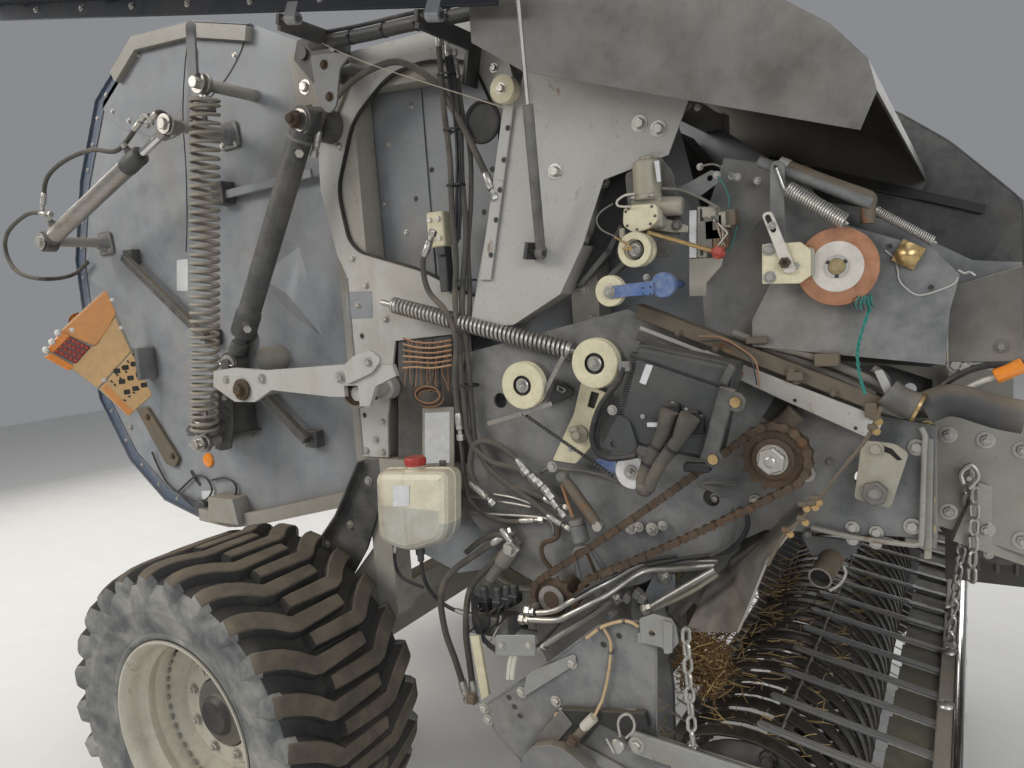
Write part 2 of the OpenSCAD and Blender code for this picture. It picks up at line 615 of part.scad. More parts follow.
chassis_frame();
hinge_brackets();
cover_hinges();
chamber_sides();
window_frames();
front_panels();
drive_plates();
net_box();
net_bracket();
net_actuator();
net_disc();
drive_sprockets();
tension_pulleys();
control_box();
oil_tank();
valve_block();
gearbox();
drawbar();
hitch_eye();
jack_tube();
jack_leg();
pto_guard();
pto_shaft();
shield_left();
front_rollers_m();  // front_rollers
front_belts();
feeder_housing();
feed_rotor();
tailgate_sides();
tailgate_frame();
tailgate_rollers();
tailgate_belts();
tension_springs();
tension_cylinders();
light_boards();
latch_arms();
ram_barrels();
ram_rods();
cover_right();
cover_left();
strut_tube_right();
strut_rod_right();
strut_tube_left();
strut_rod_left();
strut_mounts();
hood();
tyre_right();
rim_right();
tyre_left();
rim_left();
pickup_frame();
pickup_wrappers();
pickup_reel();
wind_guard();
gauge_wheel_right();
gauge_wheel_left();
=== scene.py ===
# Looks of the round baler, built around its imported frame. Lengths in metres.
# Shapes are written in design places: x forward of the axle, y to the left, z over the ground.
import math
import random

import bpy
import bmesh
from mathutils import Vector, Matrix
from mathutils.geometry import tessellate_polygon


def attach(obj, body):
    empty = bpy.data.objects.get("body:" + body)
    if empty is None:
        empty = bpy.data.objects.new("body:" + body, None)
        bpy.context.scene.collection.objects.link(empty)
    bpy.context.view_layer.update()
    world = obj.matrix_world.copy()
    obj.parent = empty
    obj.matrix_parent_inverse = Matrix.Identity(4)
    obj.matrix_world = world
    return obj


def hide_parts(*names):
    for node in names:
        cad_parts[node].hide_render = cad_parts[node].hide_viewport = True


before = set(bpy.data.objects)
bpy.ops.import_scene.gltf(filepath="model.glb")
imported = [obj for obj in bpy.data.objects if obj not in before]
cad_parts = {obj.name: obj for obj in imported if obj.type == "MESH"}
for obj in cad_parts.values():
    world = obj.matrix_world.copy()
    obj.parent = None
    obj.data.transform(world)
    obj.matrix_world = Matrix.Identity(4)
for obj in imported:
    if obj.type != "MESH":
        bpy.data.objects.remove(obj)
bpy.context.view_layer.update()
rnd = random.Random(11)
V = Vector
pi = math.pi
sin, cos, rad = math.sin, math.cos, math.radians
OFF = V((-3.55, 0.0, -0.62))

# ---------------------------------------------------------------- camera
CAM = V((2.06, -2.60, 1.79))
_a, _b, _c = rad(31.13), rad(6.4), rad(-4.0)
FW = V((-sin(_a) * cos(_b), cos(_a) * cos(_b), -sin(_b)))
_r = V((cos(_a), sin(_a), 0))
_u = _r.cross(FW)
RT = _r * cos(_c) + _u * sin(_c)
UP = -_r * sin(_c) + _u * cos(_c)
F = 770.0

cam_data = bpy.data.cameras.new("camera")
cam = bpy.data.objects.new("camera", cam_data)
bpy.context.scene.collection.objects.link(cam)
cam_data.sensor_width = 36
cam_data.lens = F / 1024 * 36
cam_data.clip_start, cam_data.clip_end = 0.05, 100
cam.matrix_world = Matrix(((RT.x, UP.x, -FW.x, CAM.x + OFF.x), (RT.y, UP.y, -FW.y, CAM.y), (RT.z, UP.z, -FW.z, CAM.z + OFF.z), (0, 0, 0, 1)))
bpy.context.scene.camera = cam


def at(px, py, y):
    """The place on the upright plane y that the camera sees at that point of the frame."""
    d = FW * F + RT * (px - 512) + UP * (384 - py)
    return CAM + d * ((y - CAM.y) / d.y)


def at_x(px, py, x):
    d = FW * F + RT * (px - 512) + UP * (384 - py)
    return CAM + d * ((x - CAM.x) / d.x)


def route(y, *pts):
    """Points (px, py) on plane y, or (px, py, y)."""
    return [at(p[0], p[1], p[2] if len(p) > 2 else y) for p in pts]


# ---------------------------------------------------------------- mesh kit
class Geo:
    def __init__(s):
        s.v, s.f, s.m = [], [], []

    def add(s, vs, fs, m="dark"):
        n = len(s.v)
        s.v.extend(tuple(p) for p in vs)
        s.f.extend(tuple(i + n for i in f) for f in fs)
        s.m.extend([m] * len(fs))
        return s

    def merge(s, g, M=None):
        n = len(s.v)
        s.v.extend(tuple(M @ V(p)) if M else p for p in g.v)
        s.f.extend(tuple(i + n for i in f) for f in g.f)
        s.m.extend(g.m)
        return s

    def mirrored(s):
        g = Geo()
        g.v = [(x, -y, z) for x, y, z in s.v]
        g.f = [tuple(reversed(f)) for f in s.f]
        g.m = list(s.m)
        return g

    def both(s):
        return Geo().merge(s).merge(s.mirrored())


def basis(n):
    n = V(n).normalized()
    a = V((0, 0, 1)) if abs(n.z) < 0.9 else V((1, 0, 0))
    u = a.cross(n).normalized()
    return u, n.cross(u), n


def place(o, n=(0, 0, 1), up=None):
    """Matrix that puts a shape drawn about z at o with z along n."""
    if up is None:
        u, v, n = basis(n)
    else:
        n = V(n).normalized()
        v = (V(up) - n * n.dot(V(up))).normalized()
        u = v.cross(n)
    o = V(o)
    return Matrix(((u.x, v.x, n.x, o.x), (u.y, v.y, n.y, o.y), (u.z, v.z, n.z, o.z), (0, 0, 0, 1)))


def cbox(g, lo, hi, m="dark", d=0.002, M=None):
    """A box with chamfered edges."""
    lo, hi = V(lo), V(hi)
    c, h = (lo + hi) / 2, (hi - lo) / 2
    h = V((abs(h.x), abs(h.y), abs(h.z)))
    d = min(d, min(h) * 0.45)
    vs, ix = [], {}
    for sx in (-1, 1):
        for sy in (-1, 1):
            for sz in (-1, 1):
                for k in range(3):
                    p = c + V((sx * (h.x - d * (k != 0)), sy * (h.y - d * (k != 1)), sz * (h.z - d * (k != 2))))
                    ix[sx, sy, sz, k] = len(vs)
                    vs.append(M @ p if M else p)
    fs = []
    q = ((-1, -1), (1, -1), (1, 1), (-1, 1))
    for s in (-1, 1):
        fs.append([ix[s, a, b, 0] for a, b in q])
        fs.append([ix[a, s, b, 1] for a, b in q])
        fs.append([ix[a, b, s, 2] for a, b in q])
    for a in (-1, 1):
        for b in (-1, 1):
            fs.append([ix[-1, a, b, 1], ix[1, a, b, 1], ix[1, a, b, 2], ix[-1, a, b, 2]])
            fs.append([ix[a, -1, b, 0], ix[a, 1, b, 0], ix[a, 1, b, 2], ix[a, -1, b, 2]])
            fs.append([ix[a, b, -1, 0], ix[a, b, 1, 0], ix[a, b, 1, 1], ix[a, b, -1, 1]])
            for c2 in (-1, 1):
                fs.append([ix[a, b, c2, 0], ix[a, b, c2, 1], ix[a, b, c2, 2]])
    return g.add(vs, fs, m)


def beam(g, a, b, w, h, m="dark", d=0.003, up=(0, 0, 1)):
    a, b = V(a), V(b)
    return cbox(g, (-w / 2, -h / 2, 0), (w / 2, h / 2, (b - a).length), m, d, place(a, b - a, up))


def area2(p):
    return sum(p[i][0] * p[(i + 1) % len(p)][1] - p[(i + 1) % len(p)][0] * p[i][1] for i in range(len(p)))


def inset(p, d):
    """A closed outline moved inwards by d."""
    s = 1 if area2(p) > 0 else -1
    out = []
    for i in range(len(p)):
        a, b, c = V(p[i - 1]).to_2d(), V(p[i]).to_2d(), V(p[(i + 1) % len(p)]).to_2d()
        e, f = (b - a), (c - b)
        if e.length < 1e-9 or f.length < 1e-9:
            out.append((b.x, b.y))
            continue
        e.normalize(), f.normalize()
        n1, n2 = V((-e.y, e.x)) * s, V((-f.y, f.x)) * s
        k = n1 + n2
        q = max(0.35, 1 + n1.dot(n2))
        out.append(tuple(b + k.to_2d() * (d / q)))
    return out


def prism(g, pts, h0, h1, m="dark", holes=(), d=0.0015, M=None):
    """A sheet cut to an outline in (u, v), from height h0 to h1, with holes and a small chamfer."""
    d = min(d, abs(h1 - h0) * 0.4)
    pts = [tuple(p[:2]) for p in pts]
    ins = inset(pts, d) if d > 0 else pts
    loops = [ins] + [list(h) for h in holes]
    flat = [p for l in loops for p in l]
    tris = tessellate_polygon([[V((p[0], p[1], 0)) for p in l] for l in loops])
    s = 1 if h1 > h0 else -1
    n = len(pts)
    vs = [V((p[0], p[1], h0)) for p in flat] + [V((p[0], p[1], h1)) for p in flat]
    k = len(flat)
    fs = [tuple(t) for t in tris] + [tuple(i + k for i in reversed(t)) for t in tris]
    if d > 0:
        a = len(vs)
        vs += [V((p[0], p[1], h0 + s * d)) for p in pts] + [V((p[0], p[1], h1 - s * d)) for p in pts]
        for i in range(n):
            j = (i + 1) % n
            fs += [(i, j, a + j, a + i), (a + i, a + j, a + n + j, a + n + i), (a + n + i, a + n + j, k + j, k + i)]
    else:
        for i in range(n):
            j = (i + 1) % n
            fs.append((i, j, k + j, k + i))
    o = n
    for h in holes:
        c = len(h)
        for i in range(c):
            j = (i + 1) % c
            fs.append((o + i, o + j, k + o + j, k + o + i))
        o += c
    if M:
        vs = [M @ v for v in vs]
    return g.add(vs, fs, m)


UPRIGHT = Matrix(((1, 0, 0, 0), (0, 0, 1, 0), (0, 1, 0, 0), (0, 0, 0, 1)))  # (x, z, y) outline to design axes


def plate(g, pts, y0, y1, m="dark", holes=(), d=0.0015):
    """An upright sheet with outline (x, z) between y0 and y1."""
    return prism(g, pts, y0, y1, m, holes, d, UPRIGHT)


def ring(cx, cy, r, n=16, a0=0.0, rx=None):
    return [(cx + (rx or r) * cos(a0 + 2 * pi * i / n), cy + r * sin(a0 + 2 * pi * i / n)) for i in range(n)]


def slot2(cx, cy, l, r, ang, n=6):
    """A rounded slot as an outline: length l between centres, radius r, direction ang in degrees."""
    c, s = cos(rad(ang)), sin(rad(ang))
    out = []
    for e, a0 in ((1, -90), (-1, 90)):
        for i in range(n + 1):
            a = rad(a0 + 180 * i / n)
            x, y = e * l / 2 + r * cos(a), r * sin(a)
            out.append((cx + x * c - y * s, cy + x * s + y * c))
    return out


def fillet(pts, r, n=4):
    """An outline with its corners rounded. r is one radius or one per corner."""
    out = []
    k = len(pts)
    for i in range(k):
        a, b, c = V(pts[i - 1]), V(pts[i]), V(pts[(i + 1) % k])
        rr = r[i] if isinstance(r, (list, tuple)) else r
        e, f = (a - b), (c - b)
        t = min(rr, e.length * 0.45, f.length * 0.45)
        if t < 1e-5:
            out.append(tuple(b))
            continue
        p, q = b + e.normalized() * t, b + f.normalized() * t
        for j in range(n + 1):
            s = j / n
            x = p * (1 - s) ** 2 + b * 2 * s * (1 - s) + q * s * s
            out.append((x[0], x[1]))
    return out


def smooth(pts, k=6):
    pts = [V(p) for p in pts]
    if len(pts) < 3 or k < 2:
        return pts
    out = []
    for i in range(len(pts) - 1):
        p1, p2 = pts[i], pts[i + 1]
        p0 = pts[i - 1] if i else p1 * 2 - p2
        p3 = pts[i + 2] if i + 2 < len(pts) else p2 * 2 - p1
        for j in range(k):
            t = j / k
            out.append(0.5 * ((2 * p1) + (p2 - p0) * t + (2 * p0 - 5 * p1 + 4 * p2 - p3) * t * t + (3 * p1 - p0 - 3 * p2 + p3) * t ** 3))
    out.append(pts[-1])
    return out


def sweep(g, path, prof, m="dark", caps=True, closed=False, up=None, scale=None):
    """An outline (u, v) swept along a path."""
    path = [V(p) for p in path]
    n, k = len(path), len(prof)
    t = []
    for i in range(n):
        a = path[(i - 1) % n] if (closed or i) else path[0]
        b = path[(i + 1) % n] if (closed or i < n - 1) else path[-1]
        d = b - a
        t.append(d.normalized() if d.length > 1e-9 else (t[-1] if t else V((0, 0, 1))))
    if up is None:
        u = basis(t[0])[0]
    else:
        u = V(up)
    vs = []
    for i in range(n):
        if up is not None:
            u = V(up)
        u = u - t[i] * u.dot(t[i])
        u = u.normalized() if u.length > 1e-6 else basis(t[i])[0]
        w = t[i].cross(u)
        s = scale[i] if scale else 1.0
        vs += [path[i] + u * (p[0] * s) + w * (p[1] * s) for p in prof]
    fs = []
    for i in range(n if closed else n - 1):
        a, b = i * k, ((i + 1) % n) * k
        for j in range(k):
            l = (j + 1) % k
            fs.append((a + j, a + l, b + l, b + j))
    if caps and not closed:
        fs.append(tuple(range(k)))
        fs.append(tuple((n - 1) * k + j for j in reversed(range(k))))
    return g.add(vs, fs, m)


def tube(g, path, r, m="dark", n=10, k=0, caps=True, closed=False, scale=None):
    if k:
        path = smooth(path, k)
    return sweep(g, path, ring(0, 0, r, n), m, caps, closed, None, scale)


def lathe(g, prof, o, ax=(0, 1, 0), m="dark", n=28, closed=False, a0=0.0, up=None):
    """A profile (radius, height along the axis) turned about an axis."""
    Mx = place(o, ax, up)
    vs, rows = [], []
    for r, h in prof:
        if r < 1e-6:
            rows.append([len(vs)])
            vs.append(Mx @ V((0, 0, h)))
        else:
            rows.append(list(range(len(vs), len(vs) + n)))
            vs += [Mx @ V((r * cos(a0 + 2 * pi * i / n), r * sin(a0 + 2 * pi * i / n), h)) for i in range(n)]
    pairs = list(zip(rows, rows[1:])) + ([(rows[-1], rows[0])] if closed else [])
    start = len(g.v)
    for q, (a, b) in enumerate(pairs):
        fs = []
        for i in range(n):
            j = (i + 1) % n
            if len(a) > 1 and len(b) > 1:
                fs.append((a[i], a[j], b[j], b[i]))
            elif len(a) > 1:
                fs.append((a[i], a[j], b[0]))
            elif len(b) > 1:
                fs.append((a[0], b[j], b[i]))
        mm = m[q] if isinstance(m, (list, tuple)) else m
        g.f.extend(tuple(i + start for i in f) for f in fs)
        g.m.extend([mm] * len(fs))
    g.v.extend(tuple(p) for p in vs)
    return g


def bar(g, a, b, r, m="dark", n=16, d=0.0015):
    """A round bar with chamfered ends."""
    a, b = V(a), V(b)
    L = (b - a).length
    return lathe(g, [(0, 0), (r - d, 0), (r, d), (r, L - d), (r - d, L), (0, L)], a, b - a, m, n)


def bolt(g, p, nrm, s=0.011, m="dark", washer=1.45, nut=False, mw=None, turn=0.3, stub=0.0):
    """A hexagon head with its washer on a surface at p."""
    p, nrm = V(p), V(nrm).normalized()
    h0 = 0.0
    if washer:
        lathe(g, [(0, 0), (s * washer, 0), (s * washer, 0.002), (s * 0.9, 0.0022), (0, 0.0022)], p, nrm, m if mw is None else mw, 18)
        h0 = 0.0022
    h = s * 0.72
    lathe(g, [(s * 0.97, h0), (s, h0 + h * 0.08), (s, h0 + h * 0.82), (s * 0.86, h0 + h), (0, h0 + h)], p, nrm, m, 6, a0=turn)
    if nut or stub:
        q = stub or s * 0.5
        lathe(g, [(s * 0.52, h0 + h - 0.001), (s * 0.52, h0 + h + q - 0.001), (s * 0.44, h0 + h + q), (0, h0 + h + q)], p, nrm, m, 10)
    return g


def coil(g, a, b, R, r, turns, m="dark", seg=14, n=7, dead=1.0):
    """A coil spring from a to b about its axis."""
    a, b = V(a), V(b)
    u, v, e = basis(b - a)
    L = (b - a).length
    N = int(turns * seg)
    pts = []
    for i in range(N + 1):
        t = i / N
        q = t * turns
        w = 2 * r * 1.02
        if q < dead:
            z = q * w
        elif q > turns - dead:
            z = L - (turns - q) * w
        else:
            z = dead * w + (q - dead) / (turns - 2 * dead) * (L - 2 * dead * w)
        an = 2 * pi * q
        pts.append(a + e * z + (u * cos(an) + v * sin(an)) * R)
    tube(g, pts, r, m, n)
    return pts


def hook(g, p, q, R, r, m="dark", side=1):
    """An end loop of a spring from the coil end p round the pin q."""
    p, q = V(p), V(q)
    u, v, e = basis(q - p)
    L = (q - p).length
    pts = [p + u * R, p + u * R * 0.9 + e * L * 0.2, p + u * R * 0.35 + e * L * 0.45]
    rr = min(R * 0.8, L * 0.5)
    for i in range(9):
        a = rad(-60 + 300 * i / 8)
        pts.append(q + u * (cos(a) * rr * side) * -0.0 + (e * -cos(a) + u * sin(a)) * rr * 0.85)
    tube(g, pts, r, m, 7, 3)


def hose(g, pts, r, m="hose", n=10, k=6, ends=(1, 1), mf="zinc", fit=0.05, hexs=True):
    """A hose with crimped ends. mf is the fittings' material."""
    path = smooth(pts, k)
    tube(g, path, r, m, n)
    for on, (p, q) in zip(ends, ((path[0], path[1]), (path[-1], path[-2]))):
        if on:
            e = (q - p).normalized()
            lathe(g, [(0, -0.012), (r * 0.75, -0.012), (r * 0.8, 0), (r * 1.28, 0.003), (r * 1.28, fit * 0.25), (r * 1.18, fit * 0.27), (r * 1.28, fit * 0.3), (r * 1.28, fit * 0.85), (r * 1.02, fit)], p, e, mf, 12)
            if hexs:
                lathe(g, [(0, -0.03), (r * 1.3, -0.03), (r * 1.42, -0.028), (r * 1.42, -0.014), (r * 1.3, -0.012), (0, -0.012)], p, e, mf, 6)
    return path


def tie(g, path, i, r, m="dark"):
    """A cable tie round a hose path at point i."""
    p, q = V(path[i]), V(path[min(i + 1, len(path) - 1)])
    e = q - p
    if e.length < 1e-6:
        return
    lathe(g, [(r, -0.003), (r + 0.0015, -0.0028), (r + 0.0015, 0.0028), (r, 0.003)], p, e, m, 12)
    u = basis(e)[0]
    cbox(g, (-0.004, -0.003, -0.0035), (0.004, 0.003, 0.0035), m, 0.001, place(p + u * (r + 0.002), e))


def piece(name, g, body, replaces=(), bevel=0.0, ang=34):
    """One finished object."""
    me = bpy.data.meshes.new(name)
    me.from_pydata([(x + OFF.x, y, z + OFF.z) for x, y, z in g.v], [], g.f)
    names = sorted(set(g.m))
    for m in names:
        me.materials.append(MAT[m])
    me.polygons.foreach_set("material_index", [names.index(m) for m in g.m])
    bm = bmesh.new()
    bm.from_mesh(me)
    bmesh.ops.recalc_face_normals(bm, faces=bm.faces)
    bm.to_mesh(me)
    bm.free()
    me.shade_smooth()
    me.set_sharp_from_angle(angle=rad(ang))
    me.update()
    ob = bpy.data.objects.new(name, me)
    bpy.context.scene.collection.objects.link(ob)
    if bevel:
        b = ob.modifiers.new("edge", "BEVEL")
        b.width, b.segments, b.limit_method, b.angle_limit = bevel, 1, "ANGLE", rad(40)
    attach(ob, body)
    if replaces:
        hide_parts(*replaces)
    return ob


# ---------------------------------------------------------------- materials
MAT = {}


def finish(name, base, var=0.10, rough=(0.42, 0.6), metal=0.0, dust=(0.30, 0.235, 0.16), lo=0.5, hi=0.75, amt=0.35,
           scale=2.4, top=0.35, streak=0.0, rust=0.0, rust_col=(0.13, 0.055, 0.02), rust_scale=7.0, speck=0.0,
           wear=0.0, wear_col=(0.35, 0.34, 0.32), bump=0.12, bump_scale=90.0, coat=0.0, spec=0.5, occlusion_shade=0.0, grain=0.0):
    """A procedural finish: paint or bare material with cloudy dust, run marks, specks, rust, worn edges, painted shade
    darkening hollows and gaps between parts, and fine bump.
    """
    mat = bpy.data.materials.new(name)
    mat.use_nodes = True
    t = mat.node_tree
    t.nodes.clear()
    N, L = t.nodes.new, t.links.new
    out, bs = N("ShaderNodeOutputMaterial"), N("ShaderNodeBsdfPrincipled")
    L(bs.outputs[0], out.inputs[0])
    bs.inputs["Metallic"].default_value = metal
    bs.inputs["Coat Weight"].default_value = coat
    bs.inputs["Coat Roughness"].default_value = 0.15
    bs.inputs["Specular IOR Level"].default_value = spec
    tc = N("ShaderNodeTexCoord")

    def noise(s, detail=5.0, rough=0.6, dist=0.0, vec=None):
        n = N("ShaderNodeTexNoise")
        n.inputs["Scale"].default_value = s
        n.inputs["Detail"].default_value = detail
        n.inputs["Roughness"].default_value = rough
        n.inputs["Distortion"].default_value = dist
        L(vec or tc.outputs["Object"], n.inputs["Vector"])
        return n.outputs[0]

    def rng(x, a, b, c, d):
        n = N("ShaderNodeMapRange")
        n.inputs[1].default_value, n.inputs[2].default_value = a, b
        n.inputs[3].default_value, n.inputs[4].default_value = c, d
        L(x, n.inputs[0])
        return n.outputs[0]

    def math2(op, a, b, clamp=False):
        n = N("ShaderNodeMath")
        n.operation, n.use_clamp = op, clamp
        for i, x in enumerate((a, b)):
            if isinstance(x, (int, float)):
                n.inputs[i].default_value = x
            else:
                L(x, n.inputs[i])
        return n.outputs[0]

    def mix(fac, a, b):
        n = N("ShaderNodeMix")
        n.data_type = "RGBA"
        L(fac, n.inputs[0])
        for i, x in ((6, a), (7, b)):
            if isinstance(x, tuple):
                n.inputs[i].default_value = (*x, 1)
            else:
                L(x, n.inputs[i])
        return n.outputs[2]

    cloud = noise(scale, 8, 0.62, 0.35)
    fine = noise(scale * 6, 5, 0.65)
    c = mix(rng(fine, 0.3, 0.7, 0, 1), tuple(x * (1 - var) for x in base), tuple(min(1, x * (1 + var)) for x in base))
    if grain:
        mp = N("ShaderNodeMapping")
        mp.inputs["Scale"].default_value = (4, 4, 160)
        L(tc.outputs["Object"], mp.inputs["Vector"])
        c = mix(rng(noise(3, 3, 0.5, 0, mp.outputs[0]), 0.35, 0.65, 0, grain), c, tuple(x * 0.45 for x in base))
    if wear:
        gm = N("ShaderNodeNewGeometry")
        c = mix(math2("MULTIPLY", rng(gm.outputs["Pointiness"], 0.52, 0.58, 0, wear), rng(fine, 0.35, 0.6, 0.2, 1), True), c, wear_col)
    if rust:
        r = noise(rust_scale, 10, 0.7, 0.9)
        rf = rng(r, 0.72 - rust * 0.42, 0.80 - rust * 0.36, 0, 1)
        rc = mix(rng(fine, 0.35, 0.65, 0, 1), rust_col, tuple(min(1, x * 2.3) for x in rust_col))
        c = mix(rf, c, rc)
    f = rng(cloud, lo, hi, 0, amt)
    if top:
        sp = N("ShaderNodeSeparateXYZ")
        L(tc.outputs["Normal"], sp.inputs[0])
        f = math2("ADD", f, math2("MULTIPLY", rng(sp.outputs[2], 0.3, 1, 0, top), rng(fine, 0.2, 0.7, 0.5, 1)), True)
    if streak:
        mp = N("ShaderNodeMapping")
        mp.inputs["Scale"].default_value = (11, 11, 0.8)
        L(tc.outputs["Object"], mp.inputs["Vector"])
        f = math2("ADD", f, rng(noise(1.6, 4, 0.6, 0.3, mp.outputs[0]), 0.52, 0.74, 0, streak), True)
    c = mix(f, c, dust)
    if speck:
        s = noise(150, 2, 0.5)
        c = mix(rng(s, 0.66, 0.72, 0, speck), c, tuple(x * 0.4 for x in dust))
    # darker in hollows, corners and gaps between parts where ambient occlusion finds them: painted shade in a dark
    # brown
    if occlusion_shade:
        n = N("ShaderNodeAmbientOcclusion")
        n.samples = 6
        n.inputs["Distance"].default_value = 0.07
        c = mix(rng(n.outputs["AO"], 0.25, 0.8, occlusion_shade, 0.0), c, (0.045, 0.036, 0.027))
    L(c, bs.inputs["Base Color"])
    L(math2("ADD", rng(fine, 0.3, 0.7, rough[0], rough[1]), math2("MULTIPLY", f, 0.35), True), bs.inputs["Roughness"])
    bp = N("ShaderNodeBump")
    bp.inputs["Strength"].default_value = bump
    bp.inputs["Distance"].default_value = 0.004
    L(math2("ADD", noise(bump_scale, 4, 0.6), math2("MULTIPLY", cloud, 1.5)), bp.inputs["Height"])
    L(bp.outputs[0], bs.inputs["Normal"])
    MAT[name] = mat
    return mat


finish("panel", (0.225, 0.242, 0.265), rough=(0.34, 0.5), amt=0.32, streak=0.16, top=0.5, speck=0.2, occlusion_shade=0.55, wear=0.3)
finish("frame", (0.31, 0.29, 0.245), rough=(0.4, 0.58), amt=0.40, streak=0.2, top=0.6, speck=0.35, rust=0.22, occlusion_shade=0.6, wear=0.4)
finish("pale", (0.47, 0.455, 0.42), rough=(0.4, 0.55), amt=0.36, streak=0.22, speck=0.35, rust=0.26, occlusion_shade=0.5, wear=0.4)
finish("plate", (0.122, 0.127, 0.131), rough=(0.36, 0.52), amt=0.34, streak=0.14, top=0.6, speck=0.25, occlusion_shade=0.6, wear=0.4, rust=0.12)
finish("dull", (0.105, 0.10, 0.09), rough=(0.42, 0.58), amt=0.40, streak=0.16, top=0.6, speck=0.25, occlusion_shade=0.6, wear=0.35, rust=0.12)
# near-black of the chute sheets, darker than their paint for the shade they lie in: painted shade
finish("chute", (0.065, 0.066, 0.064), rough=(0.36, 0.52), amt=0.4, streak=0.2, top=0.4, speck=0.25, wear=0.4)
finish("hood", (0.112, 0.103, 0.09), rough=(0.38, 0.5), amt=0.28, scale=1.4, top=0.4, streak=0.1, speck=0.15, occlusion_shade=0.3, wear=0.3)
finish("dark", (0.04, 0.041, 0.043), rough=(0.4, 0.6), amt=0.32, top=0.6, speck=0.2, wear=0.4, occlusion_shade=0.4, wear_col=(0.2, 0.19, 0.17))
# near-black put in holes, slots, bores, gaps and recesses in place of the shade inside them: painted shade
finish("cavern", (0.028, 0.027, 0.026), rough=(0.5, 0.7), amt=0.25, top=0.3)
finish("rubber", (0.022, 0.021, 0.020), rough=(0.55, 0.8), amt=0.45, top=0.35, dust=(0.20, 0.165, 0.125), bump=0.25, spec=0.3)
finish("belt", (0.03, 0.029, 0.028), rough=(0.6, 0.85), amt=0.55, top=0.4, dust=(0.22, 0.18, 0.13), bump=0.35, spec=0.3)
finish("hose", (0.085, 0.077, 0.066), rough=(0.5, 0.75), amt=0.55, top=0.5, dust=(0.26, 0.215, 0.16), bump=0.2, scale=9, spec=0.3)
finish("cable", (0.018, 0.018, 0.02), rough=(0.35, 0.55), amt=0.3, top=0.4, dust=(0.2, 0.17, 0.13), scale=9, bump=0.1)
finish("white_cable", (0.55, 0.52, 0.45), rough=(0.35, 0.55), amt=0.35, top=0.4, scale=9, bump=0.1)
finish("beige_cable", (0.50, 0.36, 0.20), rough=(0.35, 0.55), amt=0.35, top=0.4, scale=9, bump=0.1)
finish("copper_wire", (0.33, 0.17, 0.09), rough=(0.4, 0.6), amt=0.3, top=0.3, scale=14, bump=0.1)
finish("orange_wire", (0.42, 0.25, 0.13), rough=(0.4, 0.6), amt=0.3, top=0.3, scale=14, bump=0.1)
finish("zinc", (0.52, 0.50, 0.46), rough=(0.28, 0.5), metal=0.85, amt=0.35, top=0.3, rust=0.12, scale=12, rust_scale=30, bump=0.1)
finish("yellow_zinc", (0.58, 0.47, 0.26), rough=(0.28, 0.46), metal=0.85, amt=0.3, top=0.3, scale=12, bump=0.1)
finish("brass", (0.60, 0.42, 0.20), rough=(0.25, 0.42), metal=0.9, amt=0.3, top=0.3, scale=12, bump=0.1)
finish("chrome", (0.62, 0.61, 0.60), rough=(0.08, 0.2), metal=1.0, amt=0.25, top=0.1, scale=8, bump=0.03)
finish("steel", (0.36, 0.34, 0.315), rough=(0.32, 0.5), metal=0.75, amt=0.45, rust=0.2, rust_scale=12, top=0.3, scale=6, grain=0.25)
finish("spring", (0.30, 0.27, 0.225), rough=(0.5, 0.7), metal=0.25, amt=0.7, dust=(0.40, 0.34, 0.26), scale=9, top=0.5, rust=0.12, rust_scale=20, bump=0.2)
finish("bright_spring", (0.50, 0.48, 0.44), rough=(0.3, 0.5), metal=0.8, amt=0.4, scale=10, top=0.3, rust=0.15, rust_scale=25)
finish("rust", (0.085, 0.060, 0.042), rough=(0.65, 0.9), amt=0.6, rust=0.45, rust_col=(0.075, 0.036, 0.018), rust_scale=22, dust=(0.17, 0.125, 0.085), scale=14, bump=0.5, bump_scale=260, spec=0.25)
finish("brown_rail", (0.13, 0.105, 0.075), rough=(0.5, 0.75), amt=0.6, rust=0.35, rust_scale=9, dust=(0.23, 0.175, 0.115), scale=5, bump=0.3)
finish("blue", (0.055, 0.13, 0.34), rough=(0.3, 0.5), amt=0.3, scale=9, top=0.4, wear=0.5)
finish("cream", (0.66, 0.60, 0.42), rough=(0.35, 0.5), amt=0.3, scale=8, top=0.3, dust=(0.36, 0.28, 0.17), speck=0.2, spec=0.4)
finish("white_plastic", (0.70, 0.69, 0.68), rough=(0.35, 0.5), amt=0.3, scale=8, top=0.3, speck=0.2)
finish("label", (0.62, 0.63, 0.63), rough=(0.35, 0.55), amt=0.35, scale=7, top=0.0, speck=0.3)
finish("tank", (0.64, 0.60, 0.46), rough=(0.38, 0.5), amt=0.55, scale=5, streak=0.45, top=0.4, dust=(0.30, 0.20, 0.11), spec=0.4)
finish("oil", (0.46, 0.46, 0.40), rough=(0.38, 0.5), amt=0.5, scale=5, streak=0.5, dust=(0.26, 0.17, 0.09), spec=0.4)
finish("red", (0.42, 0.045, 0.035), rough=(0.35, 0.55), amt=0.3, scale=10, top=0.3)
finish("box_black", (0.055, 0.057, 0.058), rough=(0.38, 0.55), amt=0.35, scale=6, top=0.5, bump=0.2, bump_scale=300, dust=(0.17, 0.15, 0.12))
finish("copper", (0.62, 0.31, 0.185), rough=(0.28, 0.45), metal=0.85, amt=0.25, scale=6, top=0.1, grain=0.0, bump=0.05)
finish("disc_white", (0.70, 0.65, 0.58), rough=(0.3, 0.45), metal=0.3, amt=0.3, scale=5, top=0.1)
finish("olive", (0.34, 0.31, 0.235), rough=(0.4, 0.55), amt=0.35, scale=5, top=0.4, speck=0.3, wear=0.4)
finish("teal", (0.03, 0.24, 0.20), rough=(0.6, 0.8), amt=0.2, scale=30, top=0.1, bump=0.4, bump_scale=500)
finish("orange", (0.80, 0.33, 0.09), rough=(0.35, 0.5), amt=0.3, scale=5, top=0.2, dust=(0.42, 0.30, 0.19))
